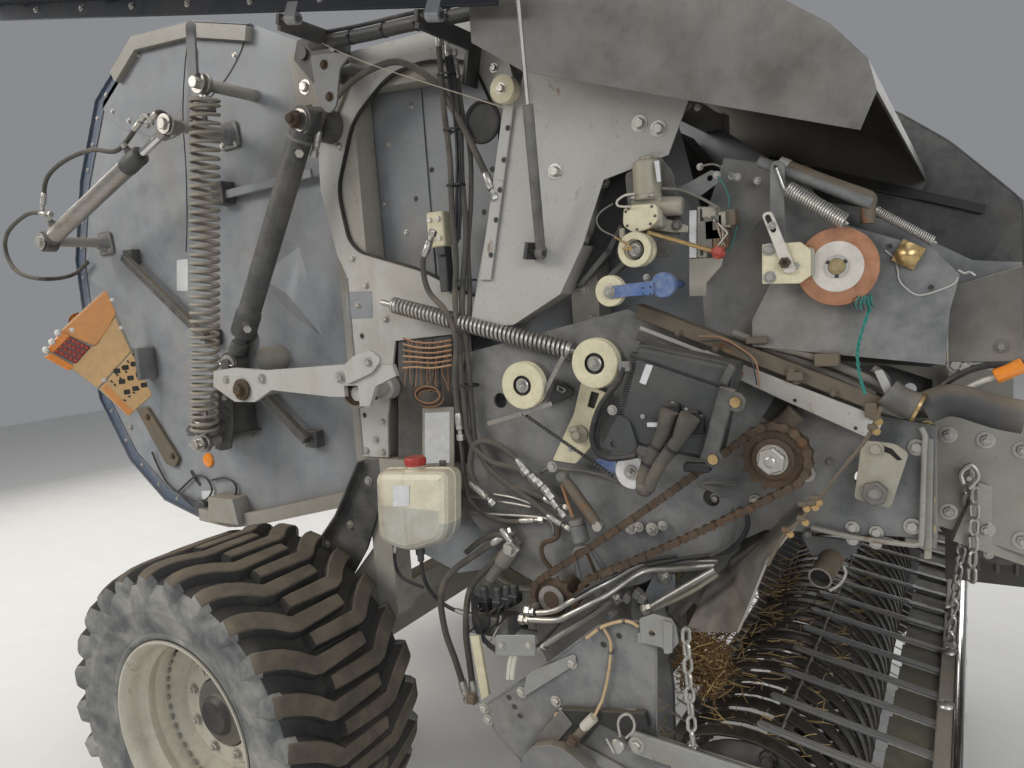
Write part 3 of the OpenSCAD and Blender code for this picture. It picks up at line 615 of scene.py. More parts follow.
finish("orange_lens", (0.85, 0.26, 0.02), rough=(0.15, 0.25), amt=0.2, scale=8, top=0.1, coat=0.4)
finish("board_cream", (0.74, 0.46, 0.20), rough=(0.35, 0.5), amt=0.35, scale=6, top=0.2, dust=(0.45, 0.34, 0.22))
finish("board_grey", (0.36, 0.34, 0.29), rough=(0.4, 0.55), amt=0.4, scale=6, top=0.2, speck=0.3)
finish("red_lens", (0.48, 0.045, 0.02), rough=(0.15, 0.25), amt=0.2, scale=8, coat=0.4, top=0.1)
finish("dark_red", (0.16, 0.04, 0.03), rough=(0.2, 0.35), amt=0.3, scale=8, coat=0.3, top=0.1)
finish("lamp_white", (0.75, 0.73, 0.66), rough=(0.15, 0.3), amt=0.2, scale=8, coat=0.4, top=0.1)
finish("tyre_side", (0.11, 0.115, 0.118), rough=(0.62, 0.85), amt=0.85, lo=0.4, hi=0.7, scale=7, top=0.3, dust=(0.40, 0.385, 0.34), bump=0.35, bump_scale=160, spec=0.25)
finish("tyre_base", (0.032, 0.031, 0.030), rough=(0.6, 0.85), amt=0.5, scale=8, top=0.35, dust=(0.125, 0.11, 0.09), bump=0.35, bump_scale=160, spec=0.3)
finish("tyre_lug", (0.095, 0.08, 0.063), rough=(0.65, 0.9), amt=0.6, lo=0.4, hi=0.65, scale=9, top=0.4, dust=(0.215, 0.175, 0.13), bump=0.4, bump_scale=160, spec=0.25)
finish("rim", (0.52, 0.49, 0.40), rough=(0.42, 0.6), amt=0.5, scale=5, top=0.3, streak=0.2, dust=(0.27, 0.20, 0.125), speck=0.4, rust=0.18, rust_scale=9, occlusion_shade=0.5, wear=0.4)
finish("hay", (0.42, 0.29, 0.13), rough=(0.7, 0.9), amt=0.4, scale=20, top=0.0, dust=(0.22, 0.14, 0.06), var=0.4, bump=0.3, spec=0.2)
finish("hay_dark", (0.15, 0.085, 0.035), rough=(0.7, 0.9), amt=0.4, scale=20, top=0.0, dust=(0.09, 0.05, 0.02), var=0.4, bump=0.3, spec=0.2)
finish("twine", (0.50, 0.44, 0.33), rough=(0.7, 0.9), amt=0.3, scale=20, bump=0.3)
finish("weld", (0.24, 0.23, 0.215), rough=(0.45, 0.6), metal=0.2, amt=0.4, scale=20, top=0.3, bump=0.5, bump_scale=180)

# finish of each CAD node that stays in view
LOOK = {
    "chassis_frame": "frame", "hinge_brackets": "dark", "cover_hinges": "dark", "chamber_sides": "panel", "window_frames": "pale",
    "front_panels": "pale", "drive_plates": "plate", "net_box": "plate", "net_bracket": "plate", "net_actuator": "olive",
    "net_disc": "copper", "drive_sprockets": "rust", "tension_pulleys": "cream", "control_box": "box_black", "oil_tank": "tank",
    "valve_block": "cream", "gearbox": "dull", "drawbar": "frame", "hitch_eye": "dark", "jack_tube": "plate", "jack_leg": "zinc",
    "pto_guard": "box_black", "pto_shaft": "steel", "shield_left": "dark", "front_rollers": "steel", "front_belts": "belt",
    "feeder_housing": "dull", "feed_rotor": "steel", "tailgate_sides": "panel", "tailgate_frame": "frame", "tailgate_rollers": "steel",
    "tailgate_belts": "belt", "tension_springs": "spring", "tension_cylinders": "steel", "light_boards": "orange", "latch_arms": "pale",
    "ram_barrels": "dark", "ram_rods": "dark", "cover_right": "panel", "cover_left": "panel", "strut_tube_right": "dull",
    "strut_rod_right": "chrome", "strut_tube_left": "dull", "strut_rod_left": "chrome", "strut_mounts": "dark", "hood": "hood",
    "tyre_right": "tyre_base", "rim_right": "rim", "tyre_left": "tyre_base", "rim_left": "rim", "pickup_frame": "plate",
    "pickup_wrappers": "dark", "pickup_reel": "steel", "wind_guard": "dull", "gauge_wheel_right": "rubber", "gauge_wheel_left": "rubber",
}
for _n, _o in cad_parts.items():
    _o.data.materials.clear()
    _o.data.materials.append(MAT[LOOK[_n]])

# ---------------------------------------------------------------- wheels
WHEEL_Z = 0.54


def lug_rows():
    """Rows across a tread bar: base (y, r), top (y, r), angle in degrees, half width at the top and at the base."""
    return [
        (-0.2655, 0.436, -0.2705, 0.446, 10.9, 0.013, 0.018),
        (-0.2655, 0.452, -0.2745, 0.462, 10.7, 0.019, 0.027),
        (-0.262, 0.468, -0.2745, 0.486, 10.4, 0.024, 0.032),
        (-0.250, 0.482, -0.268, 0.506, 10.0, 0.027, 0.035),
        (-0.236, 0.492, -0.250, 0.520, 9.3, 0.028, 0.036),
        (-0.215, 0.499, -0.224, 0.529, 8.2, 0.028, 0.036),
        (-0.190, 0.502, -0.194, 0.534, 6.7, 0.028, 0.036),
        (-0.155, 0.504, -0.157, 0.537, 4.1, 0.027, 0.035),
        (-0.115, 0.505, -0.115, 0.539, 0.2, 0.026, 0.034),
        (-0.100, 0.505, -0.100, 0.539, -0.3, 0.025, 0.033),
        (-0.060, 0.506, -0.060, 0.540, -0.2, 0.024, 0.031),
        (0.000, 0.506, 0.000, 0.540, -0.1, 0.023, 0.030),
        (0.050, 0.506, 0.050, 0.540, 0.1, 0.022, 0.029),
        (0.090, 0.506, 0.084, 0.539, 0.2, 0.020, 0.028),
    ]


def tyre(side):
    g = Geo()
    o = V((0, side * 1.025, WHEEL_Z))
    half = [(0.284, 0.222), (0.296, 0.232), (0.306, 0.243), (0.314, 0.2485), (0.322, 0.2495), (0.326, 0.2475), (0.345, 0.2545),
            (0.372, 0.2625), (0.398, 0.2672), (0.402, 0.2700), (0.408, 0.2705), (0.412, 0.2690), (0.432, 0.2690), (0.450, 0.2660),
            (0.466, 0.2600), (0.481, 0.2500), (0.492, 0.2360), (0.499, 0.2150), (0.503, 0.17), (0.506, 0.09)]
    prof = [(r, -y) for r, y in half] + [(0.507, 0)] + [(r, y) for r, y in reversed(half)]
    mats = []
    for i in range(len(prof) - 1):
        mats.append("tyre_base" if min(prof[i][0], prof[i + 1][0]) >= 0.481 else "tyre_side")
    lathe(g, prof, o, (0, 1, 0), mats, 144)
    rows = lug_rows()
    for k in range(25):
        for s, ph in ((1, 0.0), (-1, 7.2)):
            vs = []
            for yb, rb, yt, rt, an, wt, wb in rows:
                def pt(y, r, a):
                    a = rad(a + k * 14.4 + ph)
                    return V((r * cos(a), y * s * -side, r * sin(a))) + o
                i = rows.index((yb, rb, yt, rt, an, wt, wb))
                p0, p1 = rows[max(i - 1, 0)], rows[min(i + 1, len(rows) - 1)]
                B, T = pt(yb, rb, an), pt(yt, rt, an)
                d = (pt(p1[2], p1[3], p1[4]) - pt(p0[2], p0[3], p0[4])).normalized()
                nn = (T - B).normalized()
                w = d.cross(nn).normalized()
                c = 0.004
                vs += [B - w * wb - nn * 0.006, T - nn * c - w * wt, T - w * (wt - c), T + w * (wt - c), T - nn * c + w * wt, B + w * wb - nn * 0.006]
            n = len(rows)
            st = len(g.v)
            g.v.extend(tuple(p) for p in vs)
            for i in range(n - 1):
                a, b = st + i * 6, st + i * 6 + 6
                for j in range(5):
                    g.f.append((a + j, a + j + 1, b + j + 1, b + j))
                    g.m.append(("tyre_lug" if i >= 3 else "tyre_side") if j in (1, 2, 3) else ("tyre_base" if i >= 4 else "tyre_side"))
            g.f.append(tuple(st + j for j in range(6)))
            g.m.append("tyre_side")
            g.f.append(tuple(st + (n - 1) * 6 + j for j in reversed(range(6))))
            g.m.append("tyre_base")
    return g


def rim(side):
    g = Geo()
    s = side
    o = V((0, side * 1.025, WHEEL_Z))
    out = [(0.302, 0.2500), (0.3035, 0.2450), (0.3000, 0.2390), (0.2950, 0.2380), (0.2900, 0.2330), (0.2870, 0.2200), (0.2800, 0.1850), (0.2665, 0.1700),
           (0.2665, -0.1700), (0.2800, -0.1850), (0.2870, -0.2200), (0.2900, -0.2330), (0.2950, -0.2380), (0.3000, -0.2390), (0.3035, -0.2450), (0.302, -0.2500),
           (0.2960, -0.2500), (0.2890, -0.2450), (0.2830, -0.2330), (0.2800, -0.2200), (0.2740, -0.1900), (0.2600, -0.1720), (0.2600, 0.1180),
           (0.2600, 0.1350), (0.2640, 0.1420), (0.2640, 0.1480), (0.2600, 0.1560), (0.2600, 0.1720), (0.2735, 0.1900), (0.2770, 0.2030), (0.2770, 0.2170),
           (0.2810, 0.2290), (0.2830, 0.2330), (0.2890, 0.2450), (0.2960, 0.2500)]
    lathe(g, [(r, h * s) for r, h in out], o, (0, 1, 0), "rim", 96, closed=True)
    disc = [(0.262, 0.100), (0.2560, 0.0900), (0.2480, 0.0780), (0.2350, 0.0700), (0.2050, 0.0660), (0.1960, 0.0700), (0.1880, 0.0820), (0.1780, 0.0850),
            (0.1700, 0.0850), (0.1660, 0.0900), (0.1150, 0.0900), (0.1120, 0.0880), (0.1120, 0.0760), (0.1620, 0.0760), (0.1660, 0.0720), (0.1820, 0.0660),
            (0.1900, 0.0560), (0.2050, 0.0520), (0.2400, 0.0560), (0.2560, 0.0700), (0.262, 0.085)]
    lathe(g, [(r, h * s) for r, h in disc], o, (0, 1, 0), "rim", 96, closed=True)
    # weld between disc and rim
    for k in range(48):
        a = 2 * pi * k / 48
        lathe(g, [(0.0055, -0.008), (0.007, 0), (0.0055, 0.008)], o + V((0.2585 * cos(a), 0.1005 * s, 0.2585 * sin(a))), (-sin(a), 0, cos(a)), "weld", 6)
    # hub and studs
    lathe(g, [(0.112, 0.07 * s), (0.108, 0.095 * s), (0.086, 0.104 * s), (0.070, 0.108 * s), (0.066, 0.112 * s), (0.058, 0.122 * s), (0.052, 0.128 * s), (0.020, 0.131 * s), (0, 0.131 * s)], o, (0, 1, 0), ["dull", "dull", "dull", "dull", "cable", "cable", "cable", "cable"], 40)
    lathe(g, [(0.262, -0.13 * s), (0.09, -0.10 * s), (0.09, 0.07 * s)], o, (0, 1, 0), "dull", 40)
    for k in range(8):
        a = 2 * pi * (k + 0.5) / 8
        bolt(g, o + V((0.1375 * cos(a), 0.090 * s, 0.1375 * sin(a))), (0, s, 0), 0.0145, "zinc", 1.3, nut=True)
    # tyre valve
    a = rad(110)
    tube(g, [o + V((0.262 * cos(a), 0.13 * s, 0.262 * sin(a))), o + V((0.245 * cos(a), 0.15 * s, 0.245 * sin(a))), o + V((0.238 * cos(a), 0.175 * s, 0.238 * sin(a)))], 0.004, "cable", 8, 3)
    return g


for _s, _n in ((-1, "right"), (1, "left")):
    piece("tyre_detail_" + _n, tyre(_s), "wheel_" + _n, ["tyre_" + _n], ang=42)
    piece("rim_detail_" + _n, rim(_s), "wheel_" + _n, ["rim_" + _n], ang=30)

# ---------------------------------------------------------------- small helpers for details
OUT = V((0, -1, 0))          # outwards on the right side


def outl(y, *px):
    return [(p.x, p.z) for p in route(y, *px)]


def weld(g, a, b, r=0.0035, m="weld"):
    """A weld bead: a row of uneven lumps from a to b."""
    a, b = V(a), V(b)
    k = max(4, int((b - a).length / 0.008))
    sc = [1 + 0.2 * sin(i * 2.4) + 0.12 * rnd.random() for i in range(k + 1)]
    tube(g, [a.lerp(b, i / k) for i in range(k + 1)], r, m, 6, scale=sc)


def hole(g, p, r, n=OUT, lip="plate"):
    """A punched hole in a sheet: a dark disc of painted shade in place of the bore, with a raised rim."""
    lathe(g, [(0, 0.0006), (r, 0.0006), (r, -0.001)], p, n, "cavern", 20)
    lathe(g, [(r, 0.0004), (r + 0.0009, 0.0012), (r + 0.0022, 0.0004)], p, n, lip, 20)


def dark_slot(g, pts, y, lip="plate", s=-1):
    """A cut-out of an upright sheet: a dark ground of painted shade in place of the opening, with a thin raised rim."""
    plate(g, pts, y, y + s * 0.0008, "cavern", d=0)
    sweep(g, [V((x, y + s * 0.0006, z)) for x, z in pts], ring(0, 0, 0.0014, 6), lip, closed=True)


def bolts(g, y, pts, s=0.010, m="zinc", n=OUT, **k):
    for p in route(y, *pts):
        bolt(g, p, n, s * rnd.uniform(0.95, 1.05), m, turn=rnd.uniform(0, 1), **k)


def eye(g, p, r0, r1, w, m, ax=(0, 1, 0)):
    lathe(g, [(r0, -w / 2), (r1 - 0.003, -w / 2), (r1, -w / 2 + 0.003), (r1, w / 2 - 0.003), (r1 - 0.003, w / 2), (r0, w / 2)], p, ax, m, 24, closed=True)


def pin_end(g, p, r, m="zinc", n=OUT, L=0.02):
    """A pin's end with a washer and a split pin."""
    p = V(p)
    lathe(g, [(0, 0), (r * 1.7, 0), (r * 1.7, 0.003), (r, 0.003), (r, L), (r - 0.002, L + 0.002), (0, L + 0.002)], p, n, m, 20)
    u = basis(n)[0]
    q = p + V(n) * (L * 0.65)
    tube(g, [q - u * r * 1.7, q + u * r * 1.9], 0.0022, m, 6)


def chain(g, c1, r1, c2, r2, y, pitch=0.0254, m="rust", w=0.008, rr=0.0075, via=None):
    """A roller chain round two sprockets in an upright plane; a tensioner holds its lower run up at via."""
    c1, c2 = V((c1[0], c1[1])), V((c2[0], c2[1]))
    d = c2 - c1
    L = d.length
    e = d / L
    nrm = V((-e.y, e.x))
    k = (r1 - r2) / L
    h = math.sqrt(1 - k * k)
    nu, nl = e * k + nrm * h, e * k - nrm * h
    pts = []

    def arc(c, r, a, b, way):
        a0, a1 = math.atan2(a.y, a.x), math.atan2(b.y, b.x)
        while way * (a1 - a0) < 0:
            a1 += way * 2 * pi
        n = max(3, int(abs(a1 - a0) * r / 0.006))
        for i in range(n + 1):
            t = a0 + (a1 - a0) * i / n
            pts.append(c + V((cos(t), sin(t))) * r)

    def line(a, b):
        n = max(2, int((b - a).length / 0.006))
        sag = (b - a).length * 0.012
        for i in range(1, n):
            t = i / n
            p = a.lerp(b, t)
            pts.append(p + V((0, -sag * 4 * t * (1 - t))))

    def touch(c, r):
        u = via - c
        k2 = r / u.length
        u = u.normalized()
        t = V((-u.y, u.x))
        return u * k2 + t * (math.sqrt(1 - k2 * k2) * (1 if t.dot(nu) > 0 else -1))

    n1 = n2 = nu
    if via is None:
        line(c1 + nu * r1, c2 + nu * r2)
    else:
        via = V((via[0], via[1]))
        n1, n2 = touch(c1, r1), touch(c2, r2)
        line(c1 + n1 * r1, via)
        pts.append(via)
        line(via, c2 + n2 * r2)
    arc(c2, r2, n2, nl, -1)
    line(c2 + nl * r2, c1 + nl * r1)
    arc(c1, r1, nl, n1, -1)
    acc, s = [0.0], 0.0
    for i in range(len(pts)):
        s += (pts[(i + 1) % len(pts)] - pts[i]).length
        acc.append(s)
    n = int(round(s / pitch / 2)) * 2
    stops, j = [], 0
    for i in range(n):
        q = s * i / n
        while acc[j + 1] < q:
            j += 1
        t = (q - acc[j]) / max(1e-9, acc[j + 1] - acc[j])
        stops.append(pts[j].lerp(pts[(j + 1) % len(pts)], t))
    for i in range(n):
        a, b = stops[i], stops[(i + 1) % n]
        A, B = V((a.x, y, a.y)), V((b.x, y, b.y))
        bar(g, A - V((0, w + 0.004, 0)), A + V((0, w + 0.004, 0)), rr * 0.55, m, 8, 0.0005)
        bar(g, A - V((0, w - 0.001, 0)), A + V((0, w - 0.001, 0)), rr, m, 8, 0.0005)
        o = w if i % 2 else w + 0.003
        dd = (B - A).normalized()
        zz = V((0, 1, 0)).cross(dd)
        prof = []
        for c, sg in ((A, -1), (B, 1)):
            for t in (-75, -25, 25, 75):
                prof.append(c + dd * (sg * cos(rad(t)) * 0.0105) + zz * (sg * sin(rad(t)) * 0.0105))
        mid = (A + B) / 2
        ring8 = [prof[0], prof[1], prof[2], prof[3], mid + zz * -0.0 + zz * 0.0065 * (1 if (prof[3] - mid).dot(zz) > 0 else -1), prof[4], prof[5], prof[6], prof[7], mid + zz * 0.0065 * (1 if (prof[7] - mid).dot(zz) > 0 else -1)]
        for sg in (-1, 1):
            base = [p + V((0, sg * o, 0)) for p in ring8]
            top = [p + V((0, sg * (o + 0.0026), 0)) for p in ring8]
            c = len(base)
            g.add(base + top, [tuple(range(c)), tuple(reversed(range(c, 2 * c)))] + [(q, (q + 1) % c, c + (q + 1) % c, c + q) for q in range(c)], m)


def sprocket(g, p, r, teeth, y0, y1, m="rust", hub=0.026, hub_y=None):
    """A chain wheel with teeth, spokeless, on an upright plane."""
    prof = []
    for i in range(teeth * 4):
        a = 2 * pi * i / (teeth * 4)
        q = (r - 0.006, r - 0.003, r + 0.007, r - 0.003)[i % 4]
        prof.append((p[0] + q * cos(a), p[1] + q * sin(a)))
    plate(g, prof, y0, y1, m, d=0.001)
    if hub_y is not None:
        lathe(g, [(0, 0), (hub * 1.25, 0), (hub * 1.3, 0.004), (hub * 1.3, abs(hub_y - y1) * 0.5), (hub, abs(hub_y - y1) * 0.6), (hub, abs(hub_y - y1)), (0, abs(hub_y - y1))], (p[0], y1, p[1]), OUT, m, 24)


def link_chain(g, a, b, r=0.004, L=0.040, W=0.024, m="zinc", sag=0.0):
    """A chain of oval links from a to b."""
    a, b = V(a), V(b)
    step = L - 2 * r
    n = max(1, int((b - a).length / step))
    path = [a.lerp(b, i / n) + V((0, 0, -sag * 4 * (i / n) * (1 - i / n))) for i in range(n + 1)]
    for i in range(n):
        p, q = path[i], path[i + 1]
        c, e = (p + q) / 2, (q - p).normalized()
        u, v, _e = basis(e)
        t = rad(45 + 90 * (i % 2) + rnd.uniform(-12, 12))
        u = u * cos(t) + v * sin(t)
        hl, hw = L / 2 - r - (W / 2 - r), W / 2 - r
        pts = []
        for sg in (1, -1):
            for k in range(7):
                an = rad(-90 + 30 * k)
                pts.append(c + e * (sg * (hl + hw * cos(an))) + u * (sg * hw * sin(an)))
        tube(g, pts, r, m, 6, closed=True)


def comb(g, pts, r, m, n, spread, k=5):
    """A loose bundle of thin wires along a route."""
    for i in range(n):
        o = V((rnd.uniform(-spread, spread), rnd.uniform(-spread, spread), rnd.uniform(-spread, spread)))
        tube(g, [V(p) + o * (0.4 + 0.6 * rnd.random()) for p in pts], r, m, 6, k)


# ---------------------------------------------------------------- tailgate
def springs():
    g = Geo()
    y = -0.82
    a, b = V((-0.120, y, 2.560)), V((-0.330, y, 1.345))
    e = (b - a).normalized()
    coil(g, a + e * 0.046, b - e * 0.046, 0.0450, 0.0066, 41, "spring", 16, 7)
    for p, s in ((a, 1), (b, -1)):
        eye(g, p, 0.0203, 0.034, 0.020, "steel")
        bar(g, p + e * 0.030 * s, p + e * 0.13 * s, 0.010, "steel", 12)
        lathe(g, [(0.010, 0), (0.030, 0.001), (0.0375, 0.006), (0.0375, 0.030), (0.034, 0.034), (0.010, 0.034)], p + e * 0.052 * s, e * s, "steel", 24, closed=True)
        for k in range(6):
            lathe(g, [(0.0095, 0), (0.0115, 0.0018), (0.0095, 0.0036)], p + e * (0.034 + 0.0036 * k) * s, e * s, "steel", 10)
        lathe(g, [(0, 0), (0.019, 0), (0.019, 0.014), (0, 0.014)], p + e * 0.036 * s, e * s, "zinc", 6)
    return g


def cylinders():
    g = Geo()
    y = -0.85
    a, b = V((-1.110, y, 2.140)), V((-0.270, y, 2.450))
    e = (b - a).normalized()
    L = (b - a).length
    m = ["dark", "dark", "dark", "steel", "steel", "steel", "dark", "dark", "dark", "dark", "dark"]
    lathe(g, [(0, 0.026), (0.030, 0.026), (0.0325, 0.030), (0.0325, 0.060), (0.0315, 0.062), (0.0315, 0.120), (0.0315, 0.600), (0.0325, 0.602), (0.0335, 0.606), (0.0335, 0.690), (0.028, 0.698), (0.0, 0.698)], a, e, m, 32)
    bar(g, a + e * 0.66, b - e * 0.030, 0.0155, "chrome", 20)
    eye(g, a, 0.0203, 0.041, 0.050, "dark")
    eye(g, b, 0.0203, 0.034, 0.042, "steel")
    lathe(g, [(0.0155, 0), (0.024, 0.002), (0.024, 0.030), (0.0155, 0.036)], b - e * 0.07, e, "steel", 6)
    for t in (0.085, 0.655):
        p = a + e * t
        n = (V((0, -0.35, 1)) - e * e.dot(V((0, -0.35, 1)))).normalized()
        lathe(g, [(0, 0.024), (0.016, 0.024), (0.016, 0.040), (0.011, 0.042), (0.011, 0.052), (0, 0.052)], p, n, "dark", 16)
        lathe(g, [(0, 0.050), (0.0125, 0.050), (0.0125, 0.064), (0, 0.064)], p, n, "zinc", 6)
    return g


def light_board(side):
    g = Geo()
    org, out, nor = V((-0.88, -0.64, 0)), V((-0.4802, -0.8771, 0)), V((0.8771, -0.4802, 0))
    slant = Matrix(((out.x, 0, nor.x, org.x), (out.y, 0, nor.y, org.y), (0, 1, 0, 0), (0, 0, 0, 1)))
    X0, X1 = 0.0, 0.0135

    def on(px, py, h):
        d = FW * F + RT * (px - 512) + UP * (384 - py)
        return CAM + d * ((org + nor * h - CAM).dot(nor) / d.dot(nor))

    def sz(px, py, h=0.0135):
        p = on(px, py, h) - org
        return p.dot(out), p.z

    def yz(*px):
        return [sz(a, b) for a, b in px]

    def put(px, h0, h1, m, holes=(), d=0.002, rounded=0.0):
        pts = yz(*px)
        if rounded:
            pts = fillet(pts, rounded)
        prism(g, pts, h0, h1, m, holes, d, slant)
        return pts

    def oval(px, py, l, r, ang):
        return slot2(*sz(px, py), l, r, ang)
    back = put([(104, 290), (60, 331), (46, 352), (75, 372), (98, 389), (129, 416), (152, 396), (132, 349), (117, 313)], X0 + 0.004, X1 - 0.003, "board_grey", rounded=0.012)
    put([(106, 290), (61, 331), (70, 336), (95, 346), (108, 329), (116, 313)], X1 - 0.003, X1 + 0.004, "orange", rounded=0.010)
    put([(115, 317), (96, 346), (91, 347), (70, 367), (98, 388), (131, 351)], X1 - 0.003, X1 + 0.002, "board_cream", rounded=0.004)
    put([(132, 352), (152, 395), (128, 416), (100, 389)], X1 - 0.003, X1 + 0.0045, "board_cream", rounded=0.008)
    put([(101, 388), (106, 384), (133, 411), (128, 416)], X1 + 0.004, X1 + 0.006, "orange", d=0.001)
    # reflector grid and lenses
    put([(69, 336), (91, 347), (76, 364), (53, 352)], X1 - 0.003, X1 + 0.006, "dark_red", rounded=0.006)
    for i in range(5):
        for j in range(4):
            q0 = (69 + (53 - 69) * (j + 0.5) / 4, 336 + (352 - 336) * (j + 0.5) / 4)
            q1 = (91 + (76 - 91) * (j + 0.5) / 4, 347 + (364 - 347) * (j + 0.5) / 4)
            p = on(q0[0] + (q1[0] - q0[0]) * (i + 0.5) / 5, q0[1] + (q1[1] - q0[1]) * (i + 0.5) / 5, X1 + 0.006)
            lathe(g, [(0.0085, 0), (0.0078, 0.003), (0.004, 0.0045), (0, 0.005)], p, nor, "red_lens", 4, a0=0.6)
    put([(62, 331), (70, 336), (54, 352), (46, 350)], X1 - 0.003, X1 + 0.012, "orange_lens", rounded=0.006)
    put([(52, 353), (74, 366), (69, 371), (44, 357)], X1 - 0.003, X1 + 0.010, "orange_lens", rounded=0.005)
    for q in ((58, 333), (52, 342), (46, 350)):
        p = on(q[0], q[1], X1 + 0.011)
        lathe(g, [(0.013, -0.002), (0.013, 0.002), (0.010, 0.009), (0.005, 0.012), (0, 0.0125)], p, nor, "lamp_white", 18)
    # perforation: the cells and rows of small ovals are dark patches of painted shade in place of holes
    for i in range(3):
        for j in range(3):
            c = on(117 + i * 8.5 + j * 5.0, 371 + j * 10.5 - i * 3.5, X1 + 0.0047)
            cs, cz = (c - org).dot(out), c.z
            q = fillet([(cs - 0.012, cz - 0.010), (cs + 0.012, cz - 0.010), (cs + 0.012, cz + 0.010), (cs - 0.012, cz + 0.010)], 0.003, 2)
            prism(g, q, X1 + 0.0044, X1 + 0.0052, "cavern", (), 0, slant)
    for i in range(6):
        for j in range(2):
            q = oval(106 + i * 5.5 + j * 3.5, 392 - i * 6.6 + j * 3.5 - 4, 0.007, 0.0032, 60)
            prism(g, q, X1 + 0.0044, X1 + 0.005, "cavern", (), 0, slant)
    for i in range(5):
        q = oval(120 + i * 4.6, 404 - i * 3.8, 0.006, 0.0032, 35)
        prism(g, q, X1 + 0.0044, X1 + 0.005, "cavern", (), 0, slant)
    for q in ((112, 300), (72, 330), (121, 328), (104, 380)):
        bolt(g, on(q[0], q[1], X1 + 0.004), nor, 0.006, "zinc")
    # lamps on the rear face
    for s, z, m in ((0.205, 1.64, "red_lens"), (0.245, 1.72, "red_lens"), (0.225, 1.81, "orange_lens")):
        lathe(g, [(0.040, 0.0), (0.040, 0.006), (0.035, 0.014), (0.020, 0.019), (0, 0.020)], org + out * s + V((0, 0, z)) + nor * 0.002, -nor, m, 28)
    # arm to the tailgate
    cbox(g, (-0.935, -0.690, 1.56), (-0.868, -0.6065, 1.69), "plate", 0.004)
    for z in (1.59, 1.66):
        bolt(g, (-0.90, -0.6905, z), OUT, 0.009, "zinc")
    if side > 0:
        g = g.mirrored()
    return g


